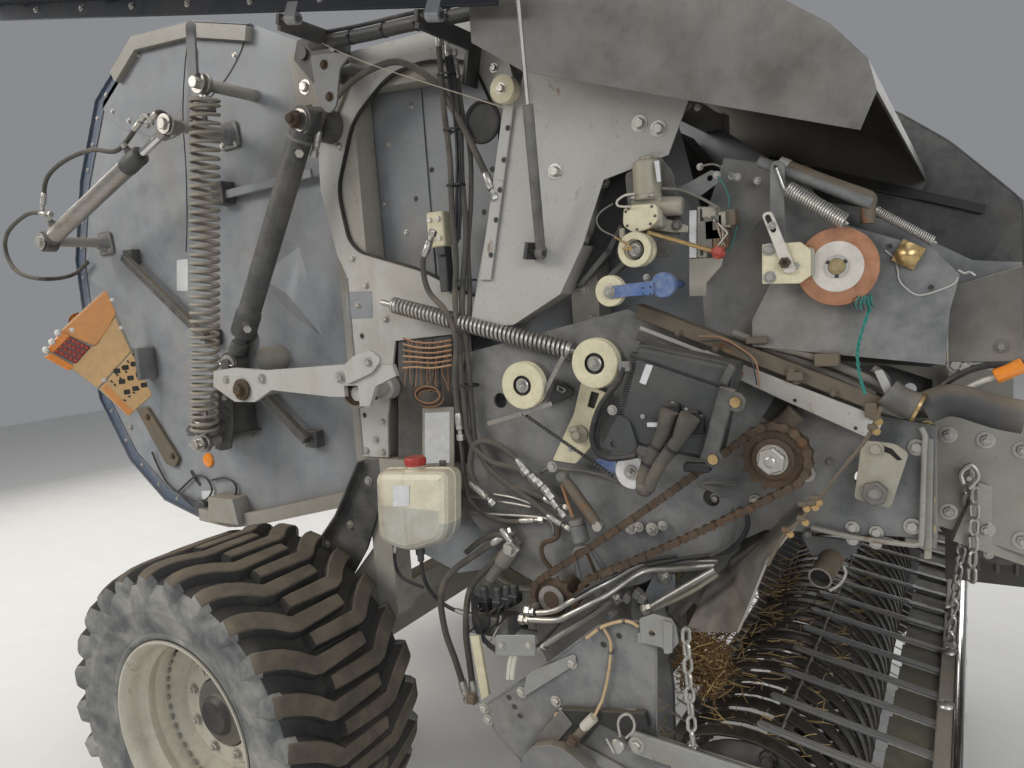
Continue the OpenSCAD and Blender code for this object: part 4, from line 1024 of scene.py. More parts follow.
def tail_side():
    """What sits on the tailgate's side sheet and is the same on both sides."""
    g = Geo()
    Y = -0.606
    rim_path = [(-0.10, 2.800), (-0.40, 2.880), (-0.74, 2.905), (-1.045, 2.717), (-1.223, 2.417), (-1.335, 2.087), (-1.332, 1.778), (-1.287, 1.463), (-1.119, 1.198), (-0.905, 1.034), (-0.655, 0.969), (-0.473, 0.957), (-0.300, 0.985)]
    pth = [V((x, Y, z)) for x, z in rim_path]
    # the blue-grey band along the inside of the rim, widened to stand for blurred blue shading there: painted shade
    sweep(g, pth, [(0.0, 0.001), (0.016, 0.001), (0.016, -0.004), (0.0045, -0.006), (0.0045, -0.052), (0.0, -0.052)], "gate_band", up=(0, -1, 0))
    # bolts along the band
    dense = []
    for a, b in zip(pth, pth[1:]):
        n = int((b - a).length / 0.115)
        dense += [a.lerp(b, (i + 0.5) / n) for i in range(n)]
    mid = V((-0.45, Y, 1.95))
    for p in dense:
        q = p + (mid - p).normalized() * 0.028
        bolt(g, V((q.x, Y - 0.0045, q.z)), OUT, 0.0062, "zinc", turn=rnd.uniform(0, 1))
    # upper doubling plate with the wavy edge, its slot and holes
    up = [(-1.03, 2.690), (-0.74, 2.868), (-0.42, 2.842), (-0.13, 2.770), (-0.19, 2.700), (-0.27, 2.640), (-0.36, 2.600), (-0.46, 2.545), (-0.55, 2.500), (-0.63, 2.490), (-0.72, 2.515), (-0.80, 2.55), (-0.90, 2.575), (-0.97, 2.62)]
    plate(g, fillet(up, 0.05), Y - 0.0002, Y - 0.0045, "panel", d=0.001)
    dark_slot(g, slot2(-0.41, 2.735, 0.075, 0.012, 82), Y - 0.0045)
    for x, z in ((-0.72, 2.60), (-0.70, 2.565), (-0.675, 2.53)):
        hole(g, (x, Y - 0.0045, z), 0.0065)
    for x, z in ((-0.95, 2.655), (-0.85, 2.60), (-0.60, 2.52), (-0.35, 2.64), (-0.2, 2.715), (-0.74, 2.83), (-0.5, 2.835)):
        bolt(g, (x, Y - 0.0045, z), OUT, 0.0075, "zinc")
    # dark braces of the marker arms and the shelf under the spring
    for a, b, w in (((-0.92, -0.66, 2.064), (-0.47, -0.66, 1.717), 0.030), ((-0.235, -0.66, 1.545), (0.02, -0.66, 1.335), 0.030)):
        beam(g, a, b, w, 0.030, "dark", up=(0, 1, 0))
        for q in (a, b):
            cbox(g, (q[0] - 0.03, -0.645, q[2] - 0.03), (q[0] + 0.03, -0.6065, q[2] + 0.03), "dark")
    shelf = [(-0.522, 1.371), (-0.308, 1.540), (-0.222, 1.540), (-0.245, 1.40), (-0.270, 1.312), (-0.327, 1.302), (-0.40, 1.32)]
    plate(g, fillet(shelf, 0.012), -0.752, -0.760, "dark", d=0.001)
    cbox(g, (-0.52, -0.756, 1.352), (-0.27, -0.607, 1.360), "dark")
    cbox(g, (-0.300, -0.756, 1.36), (-0.292, -0.607, 1.52), "dark")
    plate(g, [(-0.46, 1.36), (-0.30, 1.36), (-0.30, 1.50)], -0.66, -0.666, "dark", d=0.001)
    bolts_ = ((-0.45, 1.345), (-0.36, 1.325), (-0.27, 1.50))
    for x, z in bolts_:
        bolt(g, (x, -0.760, z), OUT, 0.009, "zinc")
    # strap from the spring's upper pin
    plate(g, slot2(-0.118, 2.66, 0.14, 0.022, 84), -0.853, -0.861, "plate", d=0.001)
    for p in ((-0.120, 2.560), (-0.330, 1.345)):
        pin_end(g, (p[0], -0.846, p[1]), 0.0195, "zinc")
    for p in ((-1.110, 2.140), (-0.270, 2.450)):
        pin_end(g, (p[0], -0.880, p[1]), 0.0195, "zinc", L=0.012)
    # cylinder brackets
    for x, z in ((-1.110, 2.140), (-0.270, 2.450)):
        plate(g, fillet([(x - 0.055, z - 0.05), (x + 0.055, z - 0.05), (x + 0.045, z + 0.045), (x - 0.045, z + 0.045)], 0.02), Y - 0.0002, Y - 0.012, "plate")
        lathe(g, [(0.020, 0.0), (0.040, 0.0), (0.030, 0.022), (0.020, 0.03)], (x, Y - 0.012, z), OUT, "plate", 20)
        for dx, dz in ((-0.036, -0.034), (0.036, -0.034)):
            bolt(g, (x + dx, Y - 0.012, z + dz), OUT, 0.008, "zinc")
    # lower box section, bar with bolts, slot, stiffening bulge
    plate(g, fillet(outl(Y, (139, 408), (150, 407), (182, 458), (178, 467), (169, 463)), 0.01), Y, Y - 0.016, "brown_rail")
    bolts(g, Y - 0.016, [(148, 417), (173, 456)], 0.010, "rust")
    dark_slot(g, [(q[0], q[1]) for q in slot2(-0.70, 1.14, 0.06, 0.011, -50)], Y)
    bulge = [V((-0.20, Y, 1.93)), V((0.02, Y, 2.02)), V((0.09, Y, 1.70)), V((-0.06, Y, 1.79))]
    g.add(bulge + [V((-0.03, Y - 0.035, 1.86)), V((0.03, Y - 0.035, 1.80))], [(0, 1, 4), (1, 2, 5), (1, 5, 4), (2, 3, 5), (3, 0, 4), (3, 4, 5), (0, 3, 2, 1)], "panel")
    for x, z in ((0.20, 2.30), (0.20, 2.12), (0.20, 1.90), (0.20, 1.62), (0.20, 1.42), (0.20, 1.25)):
        bolt(g, (x + 0.02, Y, z), OUT, 0.008, "zinc")
    weld(g, (0.238, Y - 0.002, 1.19), (0.238, Y - 0.002, 2.45))
    weld(g, (-0.155, Y - 0.012, 1.63), (-0.095, Y - 0.012, 1.63))
    return g


def tail_right():
    """What the photograph shows on the right side of the tailgate only."""
    g = Geo()
    Y = -0.606
    plate(g, fillet(outl(Y, (177, 260), (188, 259), (188, 291), (177, 291)), 0.003), Y, Y - 0.001, "label", d=0.0003)
    plate(g, fillet(outl(Y, (202, 491), (214, 490), (214, 501), (202, 501)), 0.003), Y, Y - 0.001, "label", d=0.0003)
    p = at(209, 460, Y)
    lathe(g, [(0.030, 0), (0.030, 0.004), (0.026, 0.009), (0.012, 0.012), (0, 0.0125)], p, OUT, "orange_lens", 28)
    bolts(g, Y, [(131, 427), (204, 507)], 0.010)
    lathe(g, [(0.020, 0), (0.020, 0.010), (0.012, 0.014), (0, 0.015)], at(225, 139, Y), OUT, "box_black", 20)
    lathe(g, [(0.034, 0), (0.036, 0.004), (0.036, 0.020), (0.026, 0.026), (0, 0.027)], at(204, 507, Y), OUT, "box_black", 24)
    # thin cable with its hook, cables and hoses
    tube(g, route(Y - 0.02, (188, 34), (184, 80), (183, 120), (186, 170), (187, 220), (186, 252)), 0.0022, "cable", 6, 5)
    tube(g, route(Y - 0.02, (183, 118), (180, 124), (183, 129), (187, 124)), 0.003, "zinc", 6, 5)
    tube(g, route(Y - 0.012, (152, 452), (160, 470), (170, 486), (190, 499), (205, 500), (212, 490), (206, 478), (196, 476), (186, 484), (178, 492)), 0.004, "cable", 8, 6)
    tube(g, route(Y - 0.012, (178, 492), (196, 508), (218, 512), (233, 500), (236, 486), (226, 478), (212, 480)), 0.004, "cable", 8, 6)
    # horizontal flat bar behind the ram
    beam(g, at(220, 196, -0.645), at(312, 173, -0.645), 0.030, 0.012, "panel", up=(0, 1, 0))
    cbox(g, V((at(222, 192, -0.64).x - 0.03, -0.665, at(222, 192, -0.64).z - 0.045)), V((at(222, 192, -0.64).x + 0.03, -0.6065, at(222, 192, -0.64).z + 0.035)), "dark")
    # hoses of the tension cylinder
    hose(g, route(-0.86, (141, 121), (118, 150), (92, 150), (66, 160), (47, 178), (43, 205)), 0.0085, "hose", 10, 7)
    hose(g, route(-0.86, (47, 214), (28, 214), (8, 232), (6, 252), (18, 272), (44, 279), (72, 275, -0.66), (88, 262, -0.63)), 0.0085, "hose", 10, 7, ends=(1, 0))
    hose(g, route(-0.86, (150, 121), (158, 112), (168, 116, -0.80), (174, 120, -0.70), (182, 130, -0.63)), 0.0085, "hose", 10, 7, ends=(1, 0))
    return g


# blue-grey of the band along the tailgate rim: painted shade
finish("gate_band", (0.085, 0.115, 0.165), rough=(0.35, 0.5), amt=0.4, scale=7, speck=0.5, wear=0.5, streak=0.2, occlusion_shade=0.3)
_sp = springs()
piece("coil_springs", _sp.both(), "tailgate", ["tension_springs"], ang=60)
piece("tension_cylinders_detail", cylinders().both(), "tailgate", ["tension_cylinders"], ang=40)
piece("light_boards_detail", light_board(-1).merge(light_board(1)), "tailgate", ["light_boards"])
piece("tailgate_fittings", tail_side().both(), "tailgate")
piece("tailgate_fittings_right", tail_right(), "tailgate")

# ---------------------------------------------------------------- rams and latch
RT0, RL0 = V((0.316, -0.82, 2.365)), V((-0.125, -0.82, 1.630))


def ram_fittings():
    """On the barrels: gland, ports and weld ring."""
    g = Geo()
    e = (RL0 - RT0).normalized()
    lathe(g, [(0.0371, 0.655), (0.041, 0.657), (0.042, 0.668), (0.042, 0.735), (0.038, 0.744), (0.026, 0.748), (0.0225, 0.748)], RT0, e, "dark", 32)
    lathe(g, [(0.0371, 0.052), (0.0405, 0.056), (0.0371, 0.062)], RT0, e, "weld", 32)
    for t in (0.085, 0.69):
        p = RT0 + e * t
        n = (V((0.75, -0.4, 0.2)) - e * e.dot(V((0.75, -0.4, 0.2)))).normalized()
        lathe(g, [(0, 0.030), (0.017, 0.030), (0.017, 0.046), (0.0115, 0.048), (0.0115, 0.056), (0, 0.056)], p, n, "dark", 16)
        lathe(g, [(0, 0.054), (0.013, 0.054), (0.013, 0.069), (0, 0.069)], p, n, "zinc", 6)
    return g


def rod_fittings():
    g = Geo()
    e = (RL0 - RT0).normalized()
    lathe(g, [(0.0221, -0.085), (0.029, -0.083), (0.031, -0.070), (0.031, -0.045), (0.026, -0.038)], RL0, e, "dark", 24)
    for y in (-0.795, -0.845):
        lathe(g, [(0.021, 0), (0.030, 0), (0.030, -0.003 if y > -0.8 else 0.0), (0.021, 0)], (RL0.x, y, RL0.z), OUT, "zinc", 24)
    lathe(g, [(0.0202, 0.0265), (0.033, 0.0265), (0.033, 0.030), (0.0202, 0.030)], (RL0.x, -0.82, RL0.z), OUT, "zinc", 24, closed=True)
    tube(g, [V((RL0.x - 0.03, -0.856, RL0.z + 0.004)), V((RL0.x + 0.032, -0.856, RL0.z - 0.004))], 0.0025, "zinc", 6)
    return g


def clevis():
    """Cheek plates beside the lower ram eye, part of the tailgate."""
    g = Geo()
    pts = fillet([(-0.095, 1.742), (-0.035, 1.750), (-0.020, 1.700), (-0.055, 1.640), (-0.030, 1.590), (-0.090, 1.545), (-0.165, 1.565), (-0.172, 1.640)], 0.018)
    plate(g, pts, -0.786, -0.7905, "plate", d=0.0012)
    lathe(g, [(0.0, 0.0), (0.046, 0.0), (0.046, 0.003), (0, 0.003)], (-0.125, -0.7865, 1.630), (0, 1, 0), "weld", 28)
    for z in (1.722,):
        bolt(g, (-0.062, -0.7905, z), OUT, 0.008, "zinc")
    return g


def latch_fittings():
    g = Geo()
    y = -0.888
    # boss, bolts and hook piece on the pale arm
    lathe(g, [(0.018, 0.0), (0.033, 0.0), (0.036, 0.004), (0.036, 0.010), (0.030, 0.013), (0.018, 0.013)], (-0.012, y, 1.55), OUT, "rust", 28, closed=True)
    bolt(g, (-0.012, y - 0.013, 1.55), OUT, 0.020, "rust", washer=1.25)
    for x, z, r in ((0.085, 1.585, 0.012), (0.425, 1.587, 0.013), (-0.09, 1.583, 0.010)):
        bolt(g, (x, y, z), OUT, r, "zinc")
    plate(g, fillet([(0.455, 1.565), (0.560, 1.600), (0.600, 1.640), (0.560, 1.668), (0.500, 1.655), (0.448, 1.622)], 0.015), y, y - 0.010, "pale")
    bolt(g, (0.55, y - 0.010, 1.632), OUT, 0.010, "zinc")
    weld(g, (0.45, y - 0.001, 1.618), (0.50, y - 0.001, 1.627))
    return g


def strap(g, p, q, w, t, m, y):
    a, b = V(p), V(q)
    beam(g, (a.x, y, a.y), (b.x, y, b.y), w, t, m, up=(0, 1, 0))


_rf = ram_fittings()
piece("ram_fittings", _rf.both(), "ram_barrels")
piece("ram_rod_fittings", rod_fittings().both(), "ram_rods")
piece("ram_clevis_plates", clevis().both(), "tailgate")
piece("latch_fittings", latch_fittings().both(), "latch_arms")


# ---------------------------------------------------------------- chassis, both sides
def hub_boss(g, x, z, y0, y1, r, m="rust"):
    lathe(g, [(0, 0), (r * 1.5, 0), (r * 1.5, abs(y1 - y0) * 0.35), (r, abs(y1 - y0) * 0.45), (r, abs(y1 - y0) - 0.002), (r - 0.002, abs(y1 - y0)), (0, abs(y1 - y0))], (x, y0, z), OUT, m, 24)


def chassis_side():
    g = Geo()
    # upper eyes of the rams: bolt with washer and rusty thread
    lathe(g, [(0.0201, 0.0), (0.034, 0.0), (0.034, 0.004), (0.0201, 0.004)], (0.316, -0.8425, 2.365), OUT, "zinc", 24, closed=True)
    bolt(g, (0.316, -0.858, 2.365), OUT, 0.024, "rust", washer=1.15, stub=0.014)
    # strap plate beside the eye up to the hinge
    plate(g, fillet([(0.341, 2.559), (0.350, 2.470), (0.360, 2.410), (0.392, 2.376), (0.428, 2.392), (0.455, 2.498), (0.500, 2.526), (0.450, 2.545)], 0.015), -0.792, -0.800, "plate")
    for x, z in ((0.395, 2.52), (0.405, 2.425)):
        bolt(g, (x, -0.8, z), OUT, 0.010, "rust")
    cbox(g, (0.345, -0.792, 2.50), (0.49, -0.708, 2.508), "plate")
    # triangular plate over the post
    plate(g, fillet([(0.245, 2.44), (0.262, 2.50), (0.318, 2.565), (0.420, 2.572), (0.43, 2.505), (0.345, 2.39)], 0.02), -0.708, -0.718, "frame")
    bolt(g, at(305, 87, -0.718), OUT, 0.016, "zinc")
    bolts(g, -0.708, [(330, 60)], 0.009)
    # rubber lip of the window recess
    win = [(0.318, 2.169), (0.345, 2.009), (0.386, 1.967), (0.629, 1.891), (0.830, 1.789), (0.882, 1.914), (0.927, 2.062), (0.936, 2.278), (0.862, 2.453), (0.691, 2.488), (0.559, 2.473), (0.407, 2.369)]
    ww = fillet(win, 0.05, 5)
    sweep(g, [V((x, -0.706, z)) for x, z in ww], [(-0.004, -0.004), (0.005, -0.004), (0.005, 0.004), (-0.004, 0.004)], "rubber", closed=True, up=(0, -1, 0))
    # the inner sheet behind the window with its joints, holes and bolts
    Y = -0.606
    for x, z in ((0.46, 2.30), (0.56, 2.40), (0.72, 2.42), (0.86, 2.33), (0.90, 2.12), (0.83, 1.92), (0.66, 1.95), (0.50, 2.02), (0.42, 2.12)):
        bolt(g, (x, Y, z), OUT, 0.0065, "zinc")
    for x, z in ((0.84, 2.17), (0.78, 2.25), (0.80, 2.05), (0.73, 2.04), (0.62, 2.20), (0.55, 2.12), (0.70, 2.30)):
        hole(g, (x, Y, z), 0.007)
    cbox(g, (0.60, -0.612, 1.82), (0.606, -0.606, 2.50), "panel")
    # post plate bolts, holes and welds
    for x, z in ((0.355, 1.95), (0.36, 1.80), (0.42, 1.42), (0.385, 1.36), (0.47, 1.75), (0.40, 1.86), (0.34, 1.32), (0.41, 1.32), (0.93, 2.42), (0.95, 2.10), (0.90, 1.88), (0.34, 2.30)):
        bolt(g, (x, -0.708, z), OUT, 0.009, "zinc")
    for x, z in ((0.345, 1.55), (0.365, 1.70), (0.40, 1.50), (0.345, 1.44)):
        hole(g, (x, -0.708, z), 0.008, lip="frame")
    weld(g, (0.323, -0.7085, 1.31), (0.323, -0.7085, 1.89))
    weld(g, (-0.055, -0.7135, 0.60), (-0.055, -0.7135, 0.51))
    weld(g, (0.062, -0.7135, 0.50), (0.145, -0.7135, 0.77))
    for x, z in ((0.02, 0.86), (0.12, 0.98), (0.24, 1.06), (0.34, 1.22), (0.09, 0.72)):
        bolt(g, (x, -0.713, z), OUT, 0.011, "zinc")
    # turned-in flange along the big gusset
    sweep(g, [V((x, -0.713, z)) for x, z in ((-0.06, 0.64), (0.06, 0.95), (0.20, 1.10), (0.322, 1.29))], [(0, 0), (0.028, 0), (0.028, 0.006), (0, 0.006)], "dark", up=(0, -1, 0))
    # U-bolts and spring seat of the axle
    for x in (-0.075, 0.075):
        for y in (-0.52, -0.60):
            tube(g, [V((x, y, 0.47)), V((x, y, 0.61))], 0.009, "zinc", 8)
            bolt(g, (x, y, 0.604), (0, 0, 1), 0.013, "zinc")
    cbox(g, (-0.10, -0.63, 0.596), (0.10, -0.49, 0.606), "dark")
    cbox(g, (-0.10, -0.63, 0.474), (0.10, -0.49, 0.484), "dark")
    # bolts along the front sheet edge and the joints of the frame
    for x in (0.44, 0.62, 0.80, 0.98, 1.10):
        bolt(g, (x, -0.6925, 2.53 - (x - 0.4) * 0.079), OUT, 0.010, "zinc")
    for z in (1.30, 1.55, 1.80, 2.0, 2.25):
        bolt(g, (1.16, -0.698, z), OUT, 0.010, "zinc")
    for x in (0.50, 0.75, 1.0, 1.25, 1.50, 1.72, 1.90):
        bolt(g, (x, -0.72, 1.25), OUT, 0.010, "zinc")
    # gutter plates under the lower rail
    plate(g, fillet([(0.46, 1.20), (0.78, 1.20), (0.70, 1.10), (0.52, 1.10)], 0.02), -0.652, -0.660, "dull")
    # corner post with its bolts
    for z in (1.225, 1.29, 1.40, 1.45):
        for x in (1.945, 1.975):
            bolt(g, (x, -0.740, z), OUT, 0.0105, "yellow_zinc")
    # side sheet: a row of rivets
    for i in range(7):
        bolt(g, (1.24 + i * 0.03, Y, 2.30 - i * 0.045), OUT, 0.006, "zinc")
    return g


def chassis_right():
    g = Geo()
    Y = -0.708
    # tube with cable ties along the top
    top = route(-0.80, (312, 44), (360, 36), (412, 24), (470, 13), (500, 2))
    tube(g, top, 0.019, "dark", 14, 5)
    for i, (px, py) in enumerate(((352, 37), (385, 30), (418, 23), (450, 17))):
        p = at(px, py, -0.80)
        lathe(g, [(0.0195, -0.003), (0.0215, -0.0028), (0.0215, 0.0028), (0.0195, 0.003)], p, (top[1] - top[0]), "cable", 14)
        cbox(g, (-0.004, -0.003, -0.0035), (0.004, 0.004, 0.0035), "cable", 0.001, Matrix.Translation(p + V((0, -0.0225, 0))))
    cable = [p + V((0, -0.012, 0.024)) for p in top]
    tube(g, cable, 0.006, "cable", 8, 5)
    # the big hose arc into the bundle, and the bundle's hoses
    hose(g, route(-0.79, (316, 147), (322, 120), (343, 90), (370, 70), (400, 62), (432, 80), (455, 112), (472, 145), (486, 175), (492, 190)), 0.0095, "hose", 10, 6)
    hose(g, route(-0.80, (437, 28), (440, 60), (444, 110), (450, 160), (452, 210), (456, 260), (455, 300), (459, 350), (464, 400), (470, 440), (492, 462), (520, 470), (545, 492), (558, 508)), 0.0085, "hose", 10, 6)
    hose(g, route(-0.785, (446, 40), (452, 90), (460, 130), (462, 180), (466, 230), (464, 270), (462, 310), (468, 360), (472, 410), (478, 450), (500, 480), (530, 492), (560, 505)), 0.0085, "hose", 10, 6)
    hose(g, route(-0.77, (455, 60), (462, 110), (470, 150), (471, 200), (468, 250), (470, 300), (466, 350), (458, 400), (462, 450), (470, 500), (500, 520), (535, 520)), 0.007, "hose", 10, 6)
    hose(g, route(-0.81, (430, 240), (423, 262), (428, 290), (446, 312), (456, 340), (455, 380), (460, 430)), 0.0085, "hose", 10, 7)
    w1 = route(-0.80, (448, 55), (455, 100), (458, 150), (458, 200), (456, 240))
    comb(g, w1, 0.003, "cable", 5, 0.012)
    for q in ((441, 75), (447, 130), (450, 185), (461, 280), (458, 330), (464, 385)):
        p = at(q[0] + 6, q[1], -0.79)
        lathe(g, [(0.026, -0.003), (0.0275, -0.0025), (0.0275, 0.0025), (0.026, 0.003)], p, (0.05, 0, 1), "cable", 14)
    # pale cord over the window
    tube(g, route(-0.83, (268, 8), (320, 42), (370, 64), (430, 84), (505, 108)), 0.0014, "twine", 5, 5)
    # ram hose elbows
    for q in ((316, 147),):
        bolt(g, at(q[0], q[1], -0.79), OUT, 0.011, "zinc")
    # slotted pale post bar and the round guide with its cream roller
    plate(g, outl(-0.786, (506, 96), (516, 97), (492, 280), (481, 280)), -0.786, -0.794, "pale")
    for q in ((508, 128), (504, 160), (500, 190), (496, 220), (491, 255)):
        hole(g, at(q[0], q[1], -0.794), 0.006)
    p = at(505, 90, -0.80)
    lathe(g, [(0.0, -0.02), (0.020, -0.02), (0.036, -0.016), (0.036, 0.016), (0.020, 0.02), (0, 0.02)], p, (0, 1, 0), "cream", 28)
    bolt(g, p + V((0, -0.02, 0)), OUT, 0.010, "zinc")
    p = at(482, 122, -0.7835)
    # the round guide's dark hollow is painted shade
    lathe(g, [(0.0, -0.002), (0.048, -0.002), (0.048, 0.001), (0.052, 0.006), (0.056, 0.004), (0.058, -0.002)], p, OUT, "cavern", 32)
    # blank label and the flanged roller on the post
    plate(g, fillet(outl(Y, (346, 292), (372, 291), (373, 318), (347, 319)), 0.006), Y, Y - 0.001, "panel", d=0.0003)
    p = at(360, 390, -0.80)
    lathe(g, [(0.0, 0.045), (0.016, 0.045), (0.020, 0.043), (0.020, 0.030), (0.045, 0.027), (0.056, 0.022), (0.057, 0.018), (0.046, 0.012), (0.038, 0.006), (0.038, -0.05), (0, -0.05)], p, OUT, ["rust", "rust", "rust", "rust", "spring", "spring", "spring", "rust", "rust", "rust"], 32)
    bolt(g, p + V((0, -0.045, 0)), OUT, 0.013, "rust")
    # square tag and blank label
    plate(g, fillet(outl(-0.76, (424, 413), (449, 412), (449, 463), (424, 464)), 0.004), -0.755, -0.7565, "label", d=0.0004)
    plate(g, fillet(outl(-0.76, (421, 408), (453, 407), (453, 470), (421, 470)), 0.006), -0.750, -0.755, "frame")
    # wiring comb and coil by the post
    for k in range(6):
        tube(g, route(-0.745 - 0.004 * k, (403, 338 + k * 6), (415, 342 + k * 5), (432, 343 + k * 5), (452, 340 + k * 5)), 0.0032, "orange_wire" if k % 2 else "copper_wire", 6, 4)
    for k in range(16):
        x = 405 + k * 3.1
        tube(g, route(-0.74, (x, 340 + rnd.uniform(-3, 3)), (x + rnd.uniform(-2, 2), 352), (x + rnd.uniform(-4, 4), 370 + rnd.uniform(0, 9)), (x + rnd.uniform(-3, 4), 384 + rnd.uniform(0, 12), -0.755)), 0.0017, "copper_wire" if k % 3 else "cable", 5, 4)
    c = at(430, 398, -0.765)
    for k in range(7):
        r = 0.042 + 0.003 * (k % 3)
        tube(g, [c + V((cos(t * pi / 8) * r * 1.1, -0.002 * k, sin(t * pi / 8) * r * 0.62 + k * 0.002)) for t in range(16)], 0.0030, "cable" if k % 2 else "copper_wire", 6, closed=True)
    # dark sheet behind
    plate(g, outl(-0.70, (398, 330), (470, 322), (478, 470), (398, 476)), -0.690, -0.700, "dark")
    # long horizontal coil spring
    a, b2 = V((0.565, -0.78, 1.792)), V((1.150, -0.78, 1.640))
    coil(g, a, b2, 0.021, 0.0048, 44, "bright_spring", 12, 6)
    bar(g, b2, V((1.262, -0.78, 1.611)), 0.009, "zinc", 12)
    bar(g, V((0.520, -0.78, 1.803)), a + V((0.02, 0, -0.005)), 0.009, "zinc", 12)
    for k in range(6):
        lathe(g, [(0.0088, 0), (0.0106, 0.0015), (0.0088, 0.003)], V((1.20 + 0.0032 * k, -0.78, 1.627 - 0.0008 * k)), (0.97, 0, -0.25), "zinc", 10)
    lathe(g, [(0, 0), (0.026, 0), (0.026, 0.006), (0, 0.006)], b2, (0.97, 0, -0.25), "zinc", 20)
    return g


piece("frame_fittings", chassis_side().both(), "chassis")
piece("frame_fittings_right", chassis_right(), "chassis")


def tank():
    g = Geo()
    # cream oil tank with rounded shell, seam, neck and cap
    pts = fillet([(0.530, 1.306), (0.798, 1.321), (0.779, 1.116), (0.628, 1.061), (0.516, 1.089)], [0.035, 0.035, 0.05, 0.05, 0.04], 5)
    lay = [(-0.806, 0.022), (-0.811, 0.010), (-0.820, 0.003), (-0.8495, 0.0), (-0.851, -0.0025), (-0.855, -0.0025), (-0.8565, 0.0), (-0.884, 0.003), (-0.894, 0.010), (-0.900, 0.024)]
    rows = []
    for y, d in lay:
        rows.append([V((x, y, z)) for x, z in inset(pts, d)])
    k = len(pts)
    for i in range(len(rows) - 1):
        for j in range(k):
            l = (j + 1) % k
            q = [rows[i][j], rows[i][l], rows[i + 1][l], rows[i + 1][j]]
            zc = sum(v.z for v in q) / 4
            g.add(q, [(0, 1, 2, 3)], "oil" if zc < 1.205 else "tank")
    for row in (rows[0], rows[-1]):
        tris = tessellate_polygon([[V((p.x, p.z, 0)) for p in row]])
        # the end faces by their triangles, all in the tank finish
        for t in tris:
            zc = sum(row[i].z for i in t) / 3
            g.add([row[i] for i in t], [(0, 1, 2)], "tank")
    # front panel of dark oil below the oil line, clear above
    f = inset(pts, 0.026)
    ys = -0.9008
    lowz = 1.205
    lo = [(x, min(z, lowz)) for x, z in f]
    plate(g, [(0.7605, lowz)] + [p for p in lo if p[1] < lowz - 1e-6] + [(0.5500, lowz)], -0.8995, ys, "oil", d=0.0004)
    lathe(g, [(0.0, 0), (0.034, 0), (0.034, 0.006), (0.026, 0.008), (0.026, 0.016), (0.0, 0.016)], (0.655, -0.852, 1.308), (0, 0, 1), "tank", 28)
    lathe(g, [(0, 0.014), (0.030, 0.014), (0.031, 0.018), (0.031, 0.034), (0.028, 0.038), (0, 0.038)], (0.655, -0.852, 1.308), (0, 0, 1), "red", 20)
    for i in range(18):
        a = 2 * pi * i / 18
        cbox(g, (0.0295, -0.0022, 0.019), (0.0325, 0.0022, 0.034), "red", 0.0006, Matrix.Translation((0.655, -0.852, 1.308)) @ Matrix.Rotation(a, 4, "Z"))
    plate(g, fillet(outl(-0.902, (393, 486), (409, 485), (409, 506), (393, 507)), 0.003), -0.9008, -0.902, "label", d=0.0003)
    lathe(g, [(0, 0), (0.014, 0), (0.014, 0.02), (0.010, 0.022), (0.010, 0.04), (0, 0.04)], (0.645, -0.852, 1.070), (0, 0, -1), "box_black", 16)
    hose(g, [(0.645, -0.852, 1.035), (0.648, -0.850, 0.98), (0.66, -0.83, 0.92), (0.70, -0.80, 0.87), (0.76, -0.78, 0.85)], 0.006, "cable", 8, 6, ends=(0, 1))
    hose(g, [(0.56, -0.852, 1.095), (0.55, -0.86, 1.03), (0.56, -0.85, 0.97), (0.62, -0.82, 0.93)], 0.005, "cable", 8, 6, ends=(1, 0))
    # steel bracket and strap
    cbox(g, (0.570, -0.805, 1.206), (0.740, -0.7205, 1.226), "dark")
    for x in (0.60, 0.71):
        cbox(g, (x, -0.812, 1.10), (x + 0.022, -0.803, 1.33), "dark")
    return g


piece("oil_tank_detail", tank(), "chassis", ["oil_tank"], ang=30)

# ---------------------------------------------------------------- right side, front half
def crop(x0, y0, s):
    """Places given in an enlarged window of the camera's frame."""
    def P(a, b, y):
        return at(x0 + a / s, y0 + b / s, y)

    def R(y, *p):
        return [P(q[0], q[1], q[2] if len(q) > 2 else y) for q in p]

    def O(y, *p):
        return [(v.x, v.z) for v in R(y, *p)]
    return P, R, O


P37, R37, O37 = crop(500, 0, 5.227)
P33, R33, O33 = crop(470, 360, 5.407)
P34, R34, O34 = crop(640, 90, 4.083)
P35, R35, O35 = crop(640, 280, 4.083)
P36, R36, O36 = crop(470, 560, 6.272)
P45, R45, O45 = crop(440, 540, 4.9)
P31, R31, O31 = crop(640, 500, 4.083)


def sheet(g, pts, y, t, m, holes=(), r=0.006, d=0.0012):
    """A small upright sheet whose outer face is at y, t thick inwards."""
    plate(g, fillet(pts, r, 3) if r else pts, y + t, y, m, holes, d)


